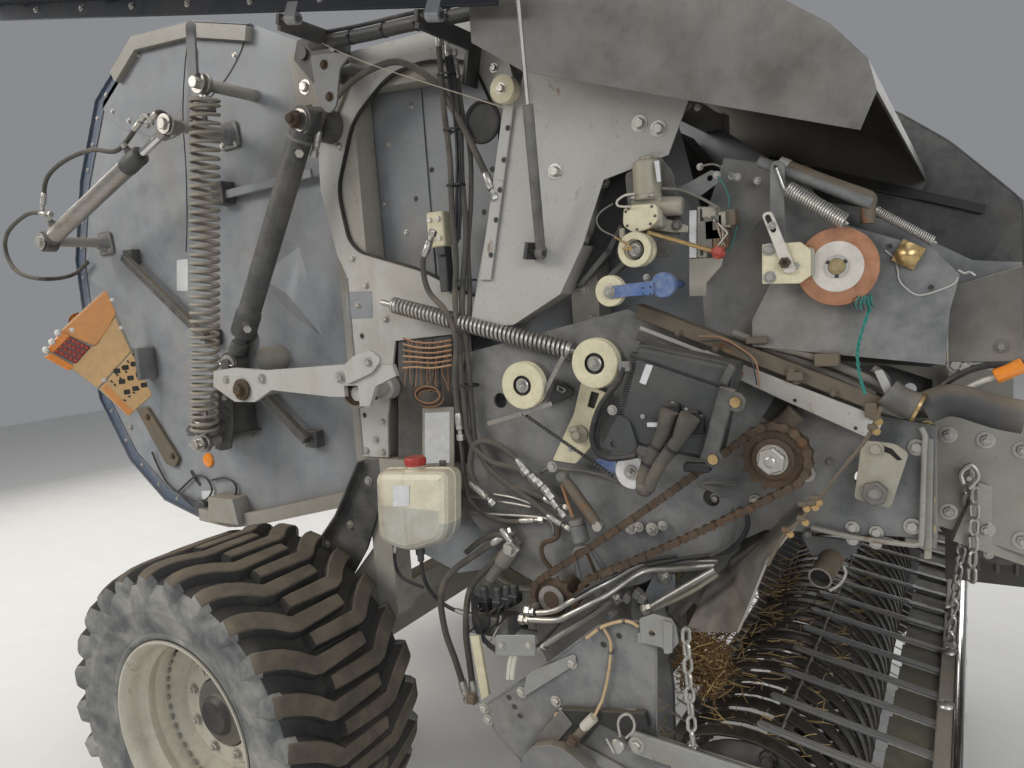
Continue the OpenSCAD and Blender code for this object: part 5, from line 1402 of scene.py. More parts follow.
def front_group():
    g = Geo()
    for a, b in ((729, 645), (829, 673), (288, 896)):
        bolt(g, P37(a, b, -0.784), OUT, 0.0135, "zinc", washer=1.5)
    for a, b in ((543, 948), (437, 1249)):
        bolt(g, P37(a, b, -0.716), OUT, 0.0125, "zinc")
    # a dark sheet filling the gap between the front panel and the net drive: painted shade
    sheet(g, O37(-0.716, (575, 915), (690, 850), (705, 1030), (655, 1150), (612, 1260), (600, 1335), (400, 1505), (400, 1430), (440, 1330), (505, 1170), (560, 960)), -0.716, 0.004, "cavern", r=0)
    for a, b in (((580, 1300), (412, 1500)), ((640, 1180), (560, 1330)), ((690, 1340), (520, 1500))):
        beam(g, P37(*a, -0.745), P37(*b, -0.745), 0.016, 0.010, "dark", up=(0, 1, 0))
    # light corner plate beside the panel
    sheet(g, O37(-0.77, (968, 503), (1004, 550), (922, 632), (938, 505)), -0.770, 0.003, "plate", r=0.002)
    # scale plate, its slide and the folded bracket
    sheet(g, O37(-0.803, (988, 1100), (1027, 1098), (1027, 1348), (988, 1348)), -0.803, 0.003, "label", r=0.002)
    sheet(g, O37(-0.800, (1031, 1080), (1080, 1080), (1080, 1345), (1031, 1345)), -0.800, 0.006, "olive", r=0.002)
    # the dark strip in the slide is painted shade in its slot
    sheet(g, O37(-0.801, (1046, 1092), (1062, 1092), (1062, 1336), (1046, 1336)), -0.801, 0.001, "cavern", r=0)
    sheet(g, O37(-0.798, (988, 1350), (1165, 1345), (1160, 1385), (1078, 1480), (1078, 1548), (988, 1548)), -0.798, 0.006, "frame", r=0.003)
    for a, b, w, h, m in ((1105, 1110, 34, 26, "olive"), (1130, 1190, 44, 60, "dull"), (1185, 1150, 30, 40, "olive"), (1215, 1140, 26, 40, "brown_rail"), (1095, 1230, 36, 70, "dull"), (1160, 1250, 40, 50, "brown_rail")):
        c = P37(a, b, -0.80)
        s = 0.00046
        cbox(g, c - V((w * s, 0.022, h * s)), c + V((w * s, 0.018, h * s)), m, 0.002)
    for k in range(7):
        tube(g, R37(-0.825 - 0.002 * k, (1090 + 8 * k, 1130 + 6 * k), (1130 + 9 * k, 1170 + 7 * k), (1150 + 5 * k, 1230), (1175 - 6 * k, 1285)), 0.0018, ("white_cable", "copper_wire", "cable")[k % 3], 5, 4)
    # small arm over the net roll and its thin wire
    q = P37(1100, 932, -0.79)
    sheet(g, O37(-0.795, (925, 985), (1105, 888), (1128, 897), (1147, 950), (1040, 1030), (965, 1012)), -0.795, 0.004, "plate", [ring(q.x, q.z, 0.007, 12)], r=0.002)
    bolt(g, P37(1135, 915, -0.795), OUT, 0.006, "zinc")
    tube(g, R37(-0.80, (1137, 918), (1175, 975), (1197, 1035), (1192, 1095)), 0.0013, "teal", 5, 5)
    tube(g, R37(-0.80, (1240, 1170), (1222, 1250), (1195, 1305), (1160, 1322)), 0.0013, "teal", 5, 5)
    tube(g, R37(-0.79, (1048, 870), (1110, 858), (1170, 880), (1210, 925)), 0.0025, "dull", 6, 5)
    for a, b in ((1047, 872), (1212, 920), (1242, 925), (1347, 945), (1034, 562)):
        bolt(g, P37(a, b, -0.775), OUT, 0.0058, "zinc")
    # roller for the net roll
    c = P34(380, 405, -0.70)
    lathe(g, [(0, -0.70), (0.030, -0.70), (0.030, -0.69), (0.047, -0.685), (0.045, -0.62), (0.043, 0.62), (0.047, 0.685), (0.030, 0.69), (0, 0.70)], (c.x, 0, c.z), (0, 1, 0), "brown_rail", 36)
    # tensioner with blue arm, two rollers
    c = P37(590, 1520, -0.865)
    lathe(g, [(0, 0), (0.036, 0), (0.0375, 0.003), (0.0375, 0.007), (0.034, 0.010), (0.0375, 0.013), (0.0375, 0.020), (0.033, 0.022), (0.012, 0.022), (0.012, 0.10), (0, 0.10)], c + V((0, -0.022, 0)), (0, 1, 0), "cream", 32)
    arm = O37(-0.89, (548, 1500), (700, 1480), (800, 1468), (803, 1542), (700, 1548), (562, 1562))
    hs = [ring(v.x, v.z, 0.0028, 8) for v in (P37(752, 1505, -0.89), P37(752, 1538, -0.89), P37(790, 1500, -0.89), P37(790, 1534, -0.89))]
    sheet(g, arm, -0.893, 0.004, "blue", hs, r=0.006)
    lathe(g, [(0, 0), (0.028, 0), (0.030, 0.003), (0.030, 0.016), (0.026, 0.019), (0.010, 0.019), (0.010, 0.13), (0, 0.13)], P37(850, 1490, -0.885), (0, 1, 0), "blue", 28)
    bolt(g, P37(573, 1527, -0.893), OUT, 0.010, "zinc", nut=True)
    bolt(g, P37(768, 1452, -0.86), OUT, 0.006, "zinc")
    # white roller under the control box with its blue end
    c = P33(872, 608, -0.87)
    lathe(g, [(0, 0), (0.041, 0), (0.043, 0.003), (0.043, 0.024), (0.040, 0.026), (0.010, 0.026), (0.010, 0.12), (0, 0.12)], c, (0, 1, 0), "white_plastic", 36)
    # dark ring round the roller's bolt: painted shade in its bore
    lathe(g, [(0.008, 0), (0.018, 0), (0.018, 0.002), (0.008, 0.002)], c + V((0, -0.0002, 0)), OUT, "cavern", 20)
    bolt(g, c + V((0, -0.002, 0)), OUT, 0.0125, "zinc", nut=True)
    sheet(g, O33(-0.862, (675, 535), (790, 545), (800, 610), (730, 612), (690, 580)), -0.862, 0.006, "blue", r=0.003)
    # cream bracket between the pulleys with its square slot and knob
    slot = fillet(O33(-0.806, (632, 252), (655, 168), (700, 180), (670, 266)), 0.003, 2)
    sheet(g, O33(-0.806, (600, 120), (765, 190), (690, 300), (655, 400), (652, 470), (570, 562), (446, 542), (560, 290)), -0.806, 0.006, "cream", [slot], r=0.006)
    # dark sheet behind the bracket's square slot: painted shade
    sheet(g, O33(-0.80, (600, 130), (740, 150), (700, 300), (610, 280)), -0.797, 0.002, "cavern", r=0)
    c = P33(598, 398, -0.806)
    lathe(g, [(0, 0), (0.022, 0), (0.024, 0.003), (0.024, 0.012), (0.018, 0.016), (0.012, 0.024), (0.010, 0.030), (0, 0.031)], c, OUT, "olive", 24)
    cbox(g, c + V((-0.022, -0.026, 0.008)), c + V((0.004, -0.014, 0.022)), "olive", 0.003)
    bolt(g, P33(545, 478, -0.806), OUT, 0.006, "zinc")
    # thin strap over the first pulley and the fine chain below it
    for a, b in (((95, 345), (275, 292)), ((285, 290), (440, 236)), ((395, 190), (505, -20))):
        beam(g, P33(*a, -0.885), P33(*b, -0.885), 0.003, 0.012, "steel", up=(0, 0, 1))
    a, b = P33(285, 288, -0.878), P33(775, 628, -0.878)
    n = 62
    e = (b - a) / n
    for i in range(n):
        p = a + e * i
        cbox(g, (-0.0032 if i % 2 else -0.0042, -0.004, 0.0), (0.0032 if i % 2 else 0.0042, 0.004, e.length * 0.82), "cable" if i % 2 else "dark", 0.0008, place(p, e, (0, 1, 0)))
    # dark plate with its lug behind the strap
    q = P33(492, 152, -0.74)
    sheet(g, O33(-0.765, (470, 100), (560, 170), (540, 205), (400, 255), (430, 190)), -0.765, 0.005, "dark", r=0.003)
    tube(g, R33(-0.77, (478, 140), (512, 158), (500, 172), (472, 160)), 0.0028, "bright_spring", 6, 5, closed=True)
    # round cover with bolts on the side sheet
    c = P33(300, 500, -0.665)
    lathe(g, [(0, 0.006), (0.030, 0.006), (0.034, 0.010), (0.052, 0.010), (0.056, 0.006), (0.060, 0.0), (0.060, -0.02)], c, OUT, "dull", 36)
    for k in range(6):
        bolt(g, c + V((0.044 * cos(k * pi / 3), -0.010, 0.044 * sin(k * pi / 3))), OUT, 0.006, "zinc")
    # damper, fork and rod of the drive's release
    a, b = P33(500, 625, -0.84), P33(695, 895, -0.84)
    e = (b - a).normalized()
    lathe(g, [(0, 0), (0.010, 0), (0.0125, 0.01), (0.0145, 0.02), (0.0145, (b - a).length - 0.02), (0.011, (b - a).length), (0, (b - a).length)], a, e, "brown_rail", 18)
    for p, m in ((a, "dull"), (b, "zinc")):
        lathe(g, [(0, -0.012), (0.013, -0.012), (0.015, -0.009), (0.015, 0.009), (0.013, 0.012), (0, 0.012)], p, (0, 1, 0), m, 16)
    bolt(g, P33(445, 577, -0.86), OUT, 0.010, "zinc")
    bar(g, P33(498, 675, -0.82), P33(556, 850, -0.82), 0.005, "copper_wire", 10)
    a, b = P33(572, 860, -0.82), P33(605, 985, -0.82)
    lathe(g, [(0, 0), (0.016, 0), (0.0215, 0.004), (0.0215, 0.014), (0.019, 0.016), (0.0225, 0.020), (0.0225, (b - a).length - 0.003), (0.018, (b - a).length), (0, (b - a).length)], a, b - a, "plate", 24)
    tube(g, R33(-0.83, (590, 1170), (568, 1050), (590, 1020), (630, 1012), (665, 1035), (745, 1165)), 0.0075, "plate", 8, 5)
    bar(g, P33(618, 1010, -0.82), P33(678, 1150, -0.82), 0.0045, "rust", 10)
    c = P33(688, 1165, -0.82)
    cbox(g, c - V((0.014, 0.012, 0.010)), c + V((0.014, 0.012, 0.010)), "zinc", 0.002)
    for a, b, r in ((870, 908, 0.0115), (912, 902, 0.0095), (985, 914, 0.012), (1042, 896, 0.009)):
        bolt(g, P33(a, b, -0.765), OUT, r, "zinc", stub=0.012)
    # old hose loop with its crimped fittings
    hose(g, R33(-0.80, (340, 640), (260, 545), (170, 470), (90, 440), (30, 455), (5, 520), (5, 600), (40, 690), (95, 745)), 0.0088, "hose", 10, 6, fit=0.07)
    hose(g, R33(-0.79, (-20, 370), (30, 450), (110, 590), (230, 690), (330, 760), (440, 850), (500, 890)), 0.0080, "hose", 10, 6, ends=(0, 1))
    for a, b in ((300, 600), (345, 640), (375, 665), (410, 700), (435, 735)):
        p = P33(a, b, -0.805)
        lathe(g, [(0, -0.011), (0.013, -0.011), (0.0145, -0.009), (0.0145, 0.009), (0.013, 0.011), (0, 0.011)], p, P33(440, 760, -0.80) - P33(300, 600, -0.80), "zinc", 6)
    for pts in (((130, 725), (240, 745), (370, 790)), ((120, 760), (230, 775), (330, 795)), ((510, 590), (600, 598), (720, 625), (800, 660)), ((380, 610), (440, 580), (520, 590)), ((0, 735), (90, 748)), ((0, 820), (120, 832), (380, 850), (440, 880), (455, 950)), ((1240, 670), (1330, 660), (1450, 680)), ((1240, 665), (1300, 700), (1380, 740))):
        tube(g, R33(-0.77, *pts), 0.0045, "steel" if pts[0][1] > 700 else "dull", 8, 5)
    tube(g, R33(-0.775, (1450, 795), (1500, 850), (1490, 930), (1430, 1010), (1330, 1050), (1150, 1075), (960, 1110)), 0.006, "cable", 8, 5)
    tube(g, R33(-0.785, (1420, 800), (1440, 870), (1400, 1000), (1300, 1060)), 0.004, "dark", 8, 5)
    return g


def net_actuator():
    g = Geo()
    sheet(g, [(1.330, 2.07), (1.42, 2.10), (1.45, 2.06), (1.47, 1.93), (1.43, 1.86), (1.34, 1.86)], -0.790, 0.006, "dull", r=0.01)
    a, b = P37(772, 1045, -0.822), P37(766, 838, -0.822)
    L = (b - a).length
    lathe(g, [(0, 0), (0.032, 0), (0.035, 0.004), (0.035, L * 0.12), (0.0335, L * 0.14), (0.0335, L - 0.010), (0.0315, L - 0.003), (0.024, L), (0.018, L + 0.001), (0.017, L + 0.008), (0.013, L + 0.010), (0, L + 0.010)], a, b - a, "olive", 36)
    sheet(g, O37(-0.857, (806, 842), (830, 838), (842, 948), (820, 952)), -0.857, 0.0015, "label", r=0.001)
    for k in range(4):
        bolt(g, a + V((0.034 * cos(k * 1.57 + 0.7), 0.034 * sin(k * 1.57 + 0.7) - 0.006, 0.004)), (0, 0, 1), 0.005, "zinc")
    # gear housing with its screwed lid
    c = P37(760, 1110, -0.82)
    cbox(g, c + V((-0.030, -0.016, -0.040)), c + V((0.045, 0.028, 0.034)), "olive", 0.005)
    lid = O37(-0.85, (648, 1085), (690, 1072), (818, 1064), (828, 1150), (780, 1196), (700, 1218), (643, 1180))
    sheet(g, lid, -0.852, 0.016, "cream", r=0.010)
    for v in inset(fillet(lid, 0.010, 3), 0.006)[::4]:
        bolt(g, (v[0], -0.852, v[1]), OUT, 0.0034, "dark", washer=0)
    lathe(g, [(0, 0), (0.020, 0), (0.022, 0.003), (0.022, 0.045), (0.018, 0.050), (0, 0.050)], P37(848, 1075, -0.815), (1, 0.1, -0.12), "olive", 24)
    cbox(g, P37(900, 1100, -0.81) - V((0.015, 0.01, 0.012)), P37(900, 1100, -0.81) + V((0.015, 0.01, 0.012)), "plate", 0.002)
    sheet(g, O37(-0.80, (800, 1120), (985, 1180), (985, 1215), (900, 1215), (790, 1200)), -0.802, 0.010, "olive", r=0.004)
    bolt(g, P37(925, 1178, -0.802), OUT, 0.009, "dull")
    tube(g, R37(-0.862, (702, 1012), (650, 1022), (612, 1052), (622, 1077), (688, 1080)), 0.0028, "white_cable", 7, 6)
    tube(g, R37(-0.83, (850, 985), (940, 992), (1040, 1030), (1140, 1085)), 0.0034, "dull", 7, 5)
    tube(g, R37(-0.85, (590, 1065), (530, 1105), (505, 1150), (530, 1200), (600, 1235)), 0.002, "dull", 6, 5)
    # spool: two cream rings on a dark hub
    c = P37(700, 1305, -0.872)
    for dy, r0, r1 in ((0.0, 0.0255, 0.0415), (0.034, 0.024, 0.040)):
        lathe(g, [(r0, 0), (r1 - 0.002, 0), (r1, 0.002), (r1, 0.012), (r1 - 0.003, 0.014), (r0 + 0.004, 0.014), (r0, 0.010)], c + V((0, dy, 0)), (0, 1, 0), "cream", 36, closed=True)
    lathe(g, [(0, 0.006), (0.019, 0.006), (0.022, 0.012), (0.022, 0.075), (0, 0.075)], c, (0, 1, 0), "dull", 28)
    bolt(g, c + V((0, 0.006, 0)), OUT, 0.010, "zinc", nut=True, stub=0.010)
    tube(g, R37(-0.885, (600, 1240), (640, 1262), (690, 1300), (640, 1300)), 0.0028, "brass", 7, 5)
    cbox(g, P37(640, 1220, -0.85) - V((0.006, 0.006, 0.012)), P37(640, 1220, -0.85) + V((0.006, 0.006, 0.012)), "olive", 0.002)
    # threaded rod and its red knob
    a, b = P37(772, 1213, -0.862), P37(1112, 1312, -0.862)
    bar(g, a, b, 0.0048, "brass", 12)
    for i in range(46):
        p = a.lerp(b, 0.30 + 0.68 * i / 45)
        lathe(g, [(0.0046, -0.0011), (0.0056, 0), (0.0046, 0.0011)], p, b - a, "brass", 8)
    c, e = P37(1142, 1320, -0.862), (b - a).normalized()
    prof = [((0.0125 + (0.0022 if i % 4 < 2 else 0)) * cos(2 * pi * i / 24), (0.0125 + (0.0022 if i % 4 < 2 else 0)) * sin(2 * pi * i / 24)) for i in range(24)]
    prism(g, prof, -0.010, 0.010, "red", (), 0.003, place(c, e))
    bar(g, c - e * 0.016, c + e * 0.016, 0.007, "red", 14, 0.002)
    return g


def pulleys():
    g = Geo()
    for x, z in ((1.060, 1.562), (1.268, 1.616)):
        o = V((x, -0.868, z))
        # the pulley's inner recess is painted shade
        lathe(g, [(0.0, 0.0), (0.058, 0.0), (0.062, 0.003), (0.062, 0.007), (0.054, 0.0115), (0.054, 0.0150), (0.062, 0.0195), (0.062, 0.0245), (0.0595, 0.0275), (0.0290, 0.0280), (0.0265, 0.0270), (0.0255, 0.0200), (0.0180, 0.0185)], o, OUT, ["cream"] * 9 + ["cream", "cavern", "cavern"], 44)
        lathe(g, [(0.0, 0.012), (0.0185, 0.012), (0.0185, 0.0275), (0.0165, 0.0290), (0, 0.0290)], o, OUT, "zinc", 24)
        bolt(g, o + V((0, -0.029, 0)), OUT, 0.0115, "zinc", washer=0, stub=0.006)
        lathe(g, [(0, 0), (0.058, 0), (0.060, 0.003), (0.060, 0.016), (0.050, 0.022), (0.014, 0.022), (0.014, 0.10), (0, 0.10)], o + V((0, 0.010, 0)), (0, 1, 0), "dull", 36)
    return g


def control_box():
    g = Geo()
    pts = [(1.390, 1.659), (1.610, 1.608), (1.557, 1.392), (1.320, 1.432)]
    plate(g, fillet(pts, 0.012, 4), -0.815, -0.905, "box_black", d=0.004)
    plate(g, fillet(inset(pts, -0.003), 0.014, 4), -0.899, -0.907, "box_black", d=0.002)
    plate(g, fillet(inset(pts, 0.004), 0.012, 4), -0.905, -0.922, "box_black", d=0.006)
    # cooling ribs on the left edge
    a, b = V((1.389, 0, 1.645)), V((1.326, 0, 1.444))
    for i in range(34):
        p = a.lerp(b, i / 33)
        cbox(g, (p.x - 0.013, -0.918, p.z - 0.0020), (p.x + 0.004, -0.840, p.z + 0.0020), "box_black", 0.0008)
    lab = O33(-0.923, (952, 22), (990, 30), (950, 135), (915, 122))
    sheet(g, lab, -0.9232, 0.001, "label", r=0.002, d=0.0003)
    # top lip
    for a, b in (((870, -30), (1365, 140)),):
        beam(g, P33(*a, -0.915), P33(*b, -0.915), 0.010, 0.018, "cable", up=(0, 1, 0))
    # sockets and their thick conduits
    for a, b, w in ((1095, 262, 0.030), (1195, 300, 0.034)):
        c = P33(a, b, -0.930)
        cbox(g, c - V((w * 0.6, 0.014, 0.012)), c + V((w * 0.6, 0.010, 0.012)), "cable", 0.003)
    cbox(g, P33(1240, 350, -0.925) - V((0.016, 0.01, 0.020)), P33(1240, 350, -0.925) + V((0.012, 0.008, 0.020)), "cable", 0.003)
    p1 = R33(-0.955, (1080, 290), (1055, 370), (1010, 470), (965, 560), (938, 640), (935, 715))
    tube(g, p1, 0.0165, "hose", 14, 5, scale=None)
    lathe(g, [(0, 0), (0.021, 0), (0.0205, 0.012), (0.0165, 0.05)], p1[0] + V((0, 0, 0.006)), p1[1] - p1[0], "hose", 16)
    p2 = R33(-0.965, (1190, 320), (1150, 400), (1090, 480), (1030, 560), (985, 640), (965, 700))
    tube(g, p2, 0.0150, "hose", 14, 5)
    lathe(g, [(0, 0), (0.024, 0), (0.0225, 0.02), (0.015, 0.06)], p2[0] + V((0, 0, 0.006)), p2[1] - p2[0], "hose", 16)
    for p, e in ((p1[2], p1[3] - p1[2]), (p2[2], p2[3] - p2[2]), (p1[3], p1[4] - p1[3])):
        lathe(g, [(0.0160, -0.004), (0.0180, -0.0035), (0.0180, 0.0035), (0.0160, 0.004)], p, e, "cable", 16)
    c = P33(940, 705, -0.962)
    lathe(g, [(0, -0.012), (0.014, -0.010), (0.020, -0.002), (0.020, 0.006), (0.013, 0.016), (0, 0.018)], c, (0.35, 0, 1), "hose", 18)
    cbox(g, P33(995, 350, -0.94) - V((0.016, 0.004, 0.005)), P33(995, 350, -0.94) + V((0.016, 0.004, 0.005)), "label", 0.001)
    # round black cable from the top of the box
    tube(g, R33(-0.93, (835, 40), (800, 120), (745, 190), (700, 260), (668, 350), (662, 430), (690, 500), (750, 530), (830, 528), (900, 515)), 0.0075, "cable", 10, 6)
    tube(g, R33(-0.925, (905, 515), (880, 490), (850, 480), (820, 470)), 0.006, "hose", 10, 5)
    tube(g, R33(-0.925, (700, 330), (690, 400), (700, 470), (760, 500)), 0.004, "cable", 8, 5)
    cbox(g, P33(835, 30, -0.925) - V((0.012, 0.01, 0.014)), P33(835, 30, -0.925) + V((0.016, 0.01, 0.010)), "dull", 0.003)
    # lower left bracket with its round cutout and screws
    q = P33(780, 452, -0.93)
    sheet(g, O33(-0.932, (800, 300), (860, 330), (905, 470), (880, 505), (745, 490), (722, 450), (760, 370)), -0.932, 0.010, "box_black", [ring(q.x, q.z, 0.009, 16)], r=0.006)
    for a, b, r in ((770, 270, 0.0085), (1098, 238, 0.004), (1168, 270, 0.004), (1250, 310, 0.004), (935, 305, 0.004)):
        bolt(g, P33(a, b, -0.924), OUT, r, "zinc")
    # link bar at the right end
    beam(g, P33(1398, 150, -0.935), P33(1288, 545, -0.935), 0.036, 0.020, "dark", up=(0, 1, 0))
    beam(g, P33(1370, 130, -0.935), P33(1420, 30, -0.935), 0.018, 0.016, "dark", up=(0, 1, 0))
    for a, b in ((1435, 228), (1315, 537)):
        c = P33(a, b, -0.945)
        lathe(g, [(0, 0), (0.019, 0), (0.021, 0.003), (0.021, 0.008), (0, 0.008)], c + V((0, 0.01, 0)), OUT, "dark", 20)
        lathe(g, [(0, 0), (0.0115, 0), (0.0115, 0.004), (0, 0.005)], c, OUT, "brass", 16)
    cbox(g, P33(1230, 580, -0.93) - V((0.03, 0.012, 0.010)), P33(1230, 580, -0.93) + V((0.03, 0.012, 0.010)), "cable", 0.003)
    for z in (1.60, 1.45):
        bar(g, (1.400 if z > 1.5 else 1.530, -0.815, z), (1.400 if z > 1.5 else 1.530, -0.750, z), 0.014, "dark", 14)
    return g


def valve_block():
    g = Geo()
    b = V((0.730, -0.737, 2.000))
    cbox(g, b + V((-0.030, -0.028, -0.050)), b + V((0.030, 0.028, 0.050)), "cream", 0.004)
    for dx, dz in ((-0.016, 0.028), (0.014, 0.028), (-0.016, -0.026), (0.014, -0.026)):
        lathe(g, [(0, 0), (0.008, 0), (0.008, 0.006), (0, 0.006)], b + V((dx, -0.028, dz)), OUT, "zinc", 6)
    cbox(g, b + V((-0.015, -0.008, -0.180)), b + V((0.015, 0.028, -0.050)), "box_black", 0.003)
    cbox(g, b + V((-0.008, -0.022, -0.075)), b + V((0.022, 0.012, -0.034)), "box_black", 0.003)
    return g


def drive_wheels():
    g = Geo()
    a, b = (1.680, 1.395), (1.095, 0.985)
    sprocket(g, a, 0.072, 15, -0.8605, -0.8675, "rust", 0.030, -0.880)
    sprocket(g, b, 0.058, 12, -0.8605, -0.8675, "rust", 0.026, -0.872)
    for c, r in ((a, 0.026), (b, 0.024)):
        bar(g, (c[0], -0.750, c[1]), (c[0], -0.905 if c is a else -0.880, c[1]), r, "rust", 24)
    lathe(g, [(0.040, 0.0), (0.046, 0.004), (0.046, 0.012), (0.040, 0.014), (0.030, 0.014)], (a[0], -0.8675, a[1]), OUT, "rust", 28)
    lathe(g, [(0, 0), (0.034, 0), (0.034, 0.003), (0, 0.003)], (a[0], -0.883, a[1]), OUT, "zinc", 28)
    lathe(g, [(0, 0), (0.0295, 0), (0.031, 0.003), (0.031, 0.019), (0.027, 0.022), (0, 0.022)], (a[0], -0.886, a[1]), OUT, "zinc", 6, a0=0.35)
    lathe(g, [(0, 0.020), (0.012, 0.020), (0.012, 0.026), (0.009, 0.028), (0, 0.028)], (a[0], -0.886, a[1]), OUT, "zinc", 16)
    lathe(g, [(0, 0), (0.036, 0), (0.038, 0.002), (0.038, 0.006), (0.020, 0.007), (0, 0.007)], (b[0], -0.872, b[1]), OUT, ["rust", "steel", "steel", "steel", "rust"], 28)
    q = at(586, 580, -0.864)
    chain(g, a, 0.0735, b, 0.0595, -0.864, 0.0254, "rust", 0.0075, 0.0078, (q.x, q.z))
    return g


def drive_side():
    """Rails, plates and pipes over and under the drive plate."""
    g = Geo()
    # upper brown rail as an angle, thin black rail, pale strip
    a, b = P35(-10, 128, -0.79), P35(985, 512, -0.79)
    beam(g, a, b, 0.012, 0.034, "brown_rail", up=(0, 0, 1))
    beam(g, a + V((0, 0.018, 0.016)), b + V((0, 0.018, 0.016)), 0.040, 0.005, "brown_rail", up=(0, 0, 1))
    beam(g, P35(0, 195, -0.80), P35(345, 330, -0.80), 0.006, 0.010, "pale", up=(0, 0, 1))
    beam(g, P35(-10, 225, -0.81), P35(390, 420, -0.81), 0.010, 0.022, "dark", up=(0, 0, 1))
    tube(g, R35(-0.815, (0, 262), (90, 292), (200, 335), (330, 395)), 0.005, "cable", 8, 4)
    hs = [ring(v.x, v.z, 0.0045, 10) for v in (P35(632, 492, -0.797), P35(880, 605, -0.797))]
    sheet(g, O35(-0.797, (265, 285), (560, 400), (980, 560), (985, 600), (928, 645), (560, 480), (400, 405), (270, 335)), -0.797, 0.004, "pale", hs, r=0.003)
    for a, b, r in ((155, 214, 0.006), (310, 280, 0.006), (620, 370, 0.008), (640, 400, 0.010), (938, 520, 0.009), (400, 385, 0.009), (790, 460, 0.006)):
        bolt(g, P35(a, b, -0.80), OUT, r, "brown_rail")
    for a, b, w, h in ((635, 392, 0.018, 0.010), (480, 245, 0.024, 0.008), (765, 325, 0.026, 0.014), (945, 530, 0.012, 0.016)):
        c = P35(a, b, -0.80)
        cbox(g, c - V((w, 0.012, h)), c + V((w, 0.012, h)), "brown_rail", 0.002)
    # loose wires over the rail
    tube(g, R35(-0.82, (240, 230), (330, 235), (420, 285), (470, 330), (485, 400), (490, 440)), 0.0022, "copper_wire", 6, 5)
    tube(g, R35(-0.82, (250, 250), (340, 250), (430, 300), (462, 350), (478, 430)), 0.0018, "cable", 6, 5)
    # dark sheet seen between the net box and the rail: painted shade in the gap
    sheet(g, O35(-0.76, (455, 190), (1252, 335), (1180, 360), (800, 330), (455, 210)), -0.742, 0.002, "cavern", r=0)
    tube(g, R35(-0.79, (380, 215), (500, 260), (700, 310), (900, 390), (1010, 440)), 0.009, "dull", 10, 5)
    tube(g, R35(-0.775, (510, 270), (700, 350), (860, 420), (960, 470)), 0.012, "dark", 10, 5)
    # stub tube beside the sprocket
    bar(g, P35(480, 690, -0.78), P35(640, 540, -0.78), 0.024, "brown_rail", 24)
    # dark patch behind the stub tube: painted shade
    sheet(g, O35(-0.7515, (550, 480), (640, 520), (560, 600), (500, 560)), -0.7515, 0.002, "cavern", r=0)
    # tan plate with its arc slot, washers and large nut
    arc = R35(-0.80, (930, 690), (975, 668), (1030, 690), (1072, 735), (1050, 738), (1020, 712), (975, 695), (940, 708))
    hole1 = [(v.x, v.z) for v in arc]
    sheet(g, O35(-0.800, (905, 655), (1040, 668), (1098, 708), (1022, 935), (873, 893)), -0.800, 0.006, "olive", [hole1], r=0.010)
    # dark sheet behind the arc slot: painted shade
    sheet(g, O35(-0.79, (915, 665), (1090, 700), (1060, 760), (915, 720)), -0.792, 0.002, "cavern", r=0)
    bolt(g, P35(962, 690, -0.800), OUT, 0.0115, "olive", washer=1.5)
    bolt(g, P35(960, 868, -0.800), OUT, 0.028, "dull", washer=0)
    bolt(g, P35(955, 870, -0.820), OUT, 0.012, "steel", washer=1.2)
    # thin rod with clips
    rod = R35(-0.885, (985, 520), (930, 640), (835, 760), (735, 885), (660, 975), (590, 1040), (555, 1100), (520, 1165))
    tube(g, rod, 0.0042, "brown_rail", 8, 4)
    for a, b in ((950, 600), (960, 560), (715, 890), (700, 910), (660, 972), (598, 1020), (665, 915)):
        c = P35(a, b, -0.885)
        cbox(g, c - V((0.010, 0.007, 0.006)), c + V((0.010, 0.007, 0.006)), "brown_rail", 0.002)
        bolt(g, P35(a + 16, b + 18, -0.888), OUT, 0.0055, "brass")
    # drive plate: bolts along its lower edge, seams
    for a, b, r in ((868, 1010, 0.0105), (965, 1030, 0.0105), (868, 1060, 0.009), (963, 1075, 0.009), (1130, 683, 0.0125), (1112, 1005, 0.0125), (470, 900, 0.010), (683, 1035, 0.007), (775, 740, 0.006), (680, 790, 0.014)):
        bolt(g, P35(a, b, -0.752), OUT, r, "zinc" if r > 0.008 else "dull")
    tube(g, R35(-0.765, (1148, 600), (1165, 640), (1160, 700), (1150, 1050), (1135, 1078), (1090, 1080), (870, 1050), (700, 1010)), 0.006, "frame", 8, 3)
    sheet(g, O35(-0.756, (1168, 640), (1198, 650), (1190, 1140), (1160, 1140)), -0.756, 0.006, "frame", r=0.002)
    tube(g, R35(-0.80, (1010, 455), (1060, 490), (1130, 520)), 0.030, "dull", 18, 3)
    lathe(g, [(0.028, -0.004), (0.034, -0.003), (0.034, 0.003), (0.028, 0.004)], P35(1135, 522, -0.80), P35(1150, 530, -0.80) - P35(1060, 490, -0.80), "brass", 24)
    tube(g, R35(-0.78, (1165, 520), (1280, 490), (1460, 540), (1568, 560)), 0.034, "dark", 18, 3, scale=None)
    tube(g, R35(-0.77, (950, 360), (1000, 400), (1010, 455)), 0.010, "dull", 10, 4)
    sheet(g, O35(-0.805, (955, 372), (990, 365), (1035, 450), (1000, 470)), -0.805, 0.003, "pale", r=0.004)
    tube(g, R35(-0.76, (1170, 480), (1280, 400), (1400, 352), (1568, 340)), 0.007, "cable", 8, 5)
    tube(g, R35(-0.76, (1310, 455), (1400, 412), (1500, 385)), 0.006, "white_cable", 8, 4)
    bar(g, P35(1450, 395, -0.76), P35(1568, 345, -0.76), 0.016, "orange_lens", 16)
    # pipe stub with ring under the drive plate
    a, b = P31(800, 210, -0.66), P31(735, 320, -0.78)
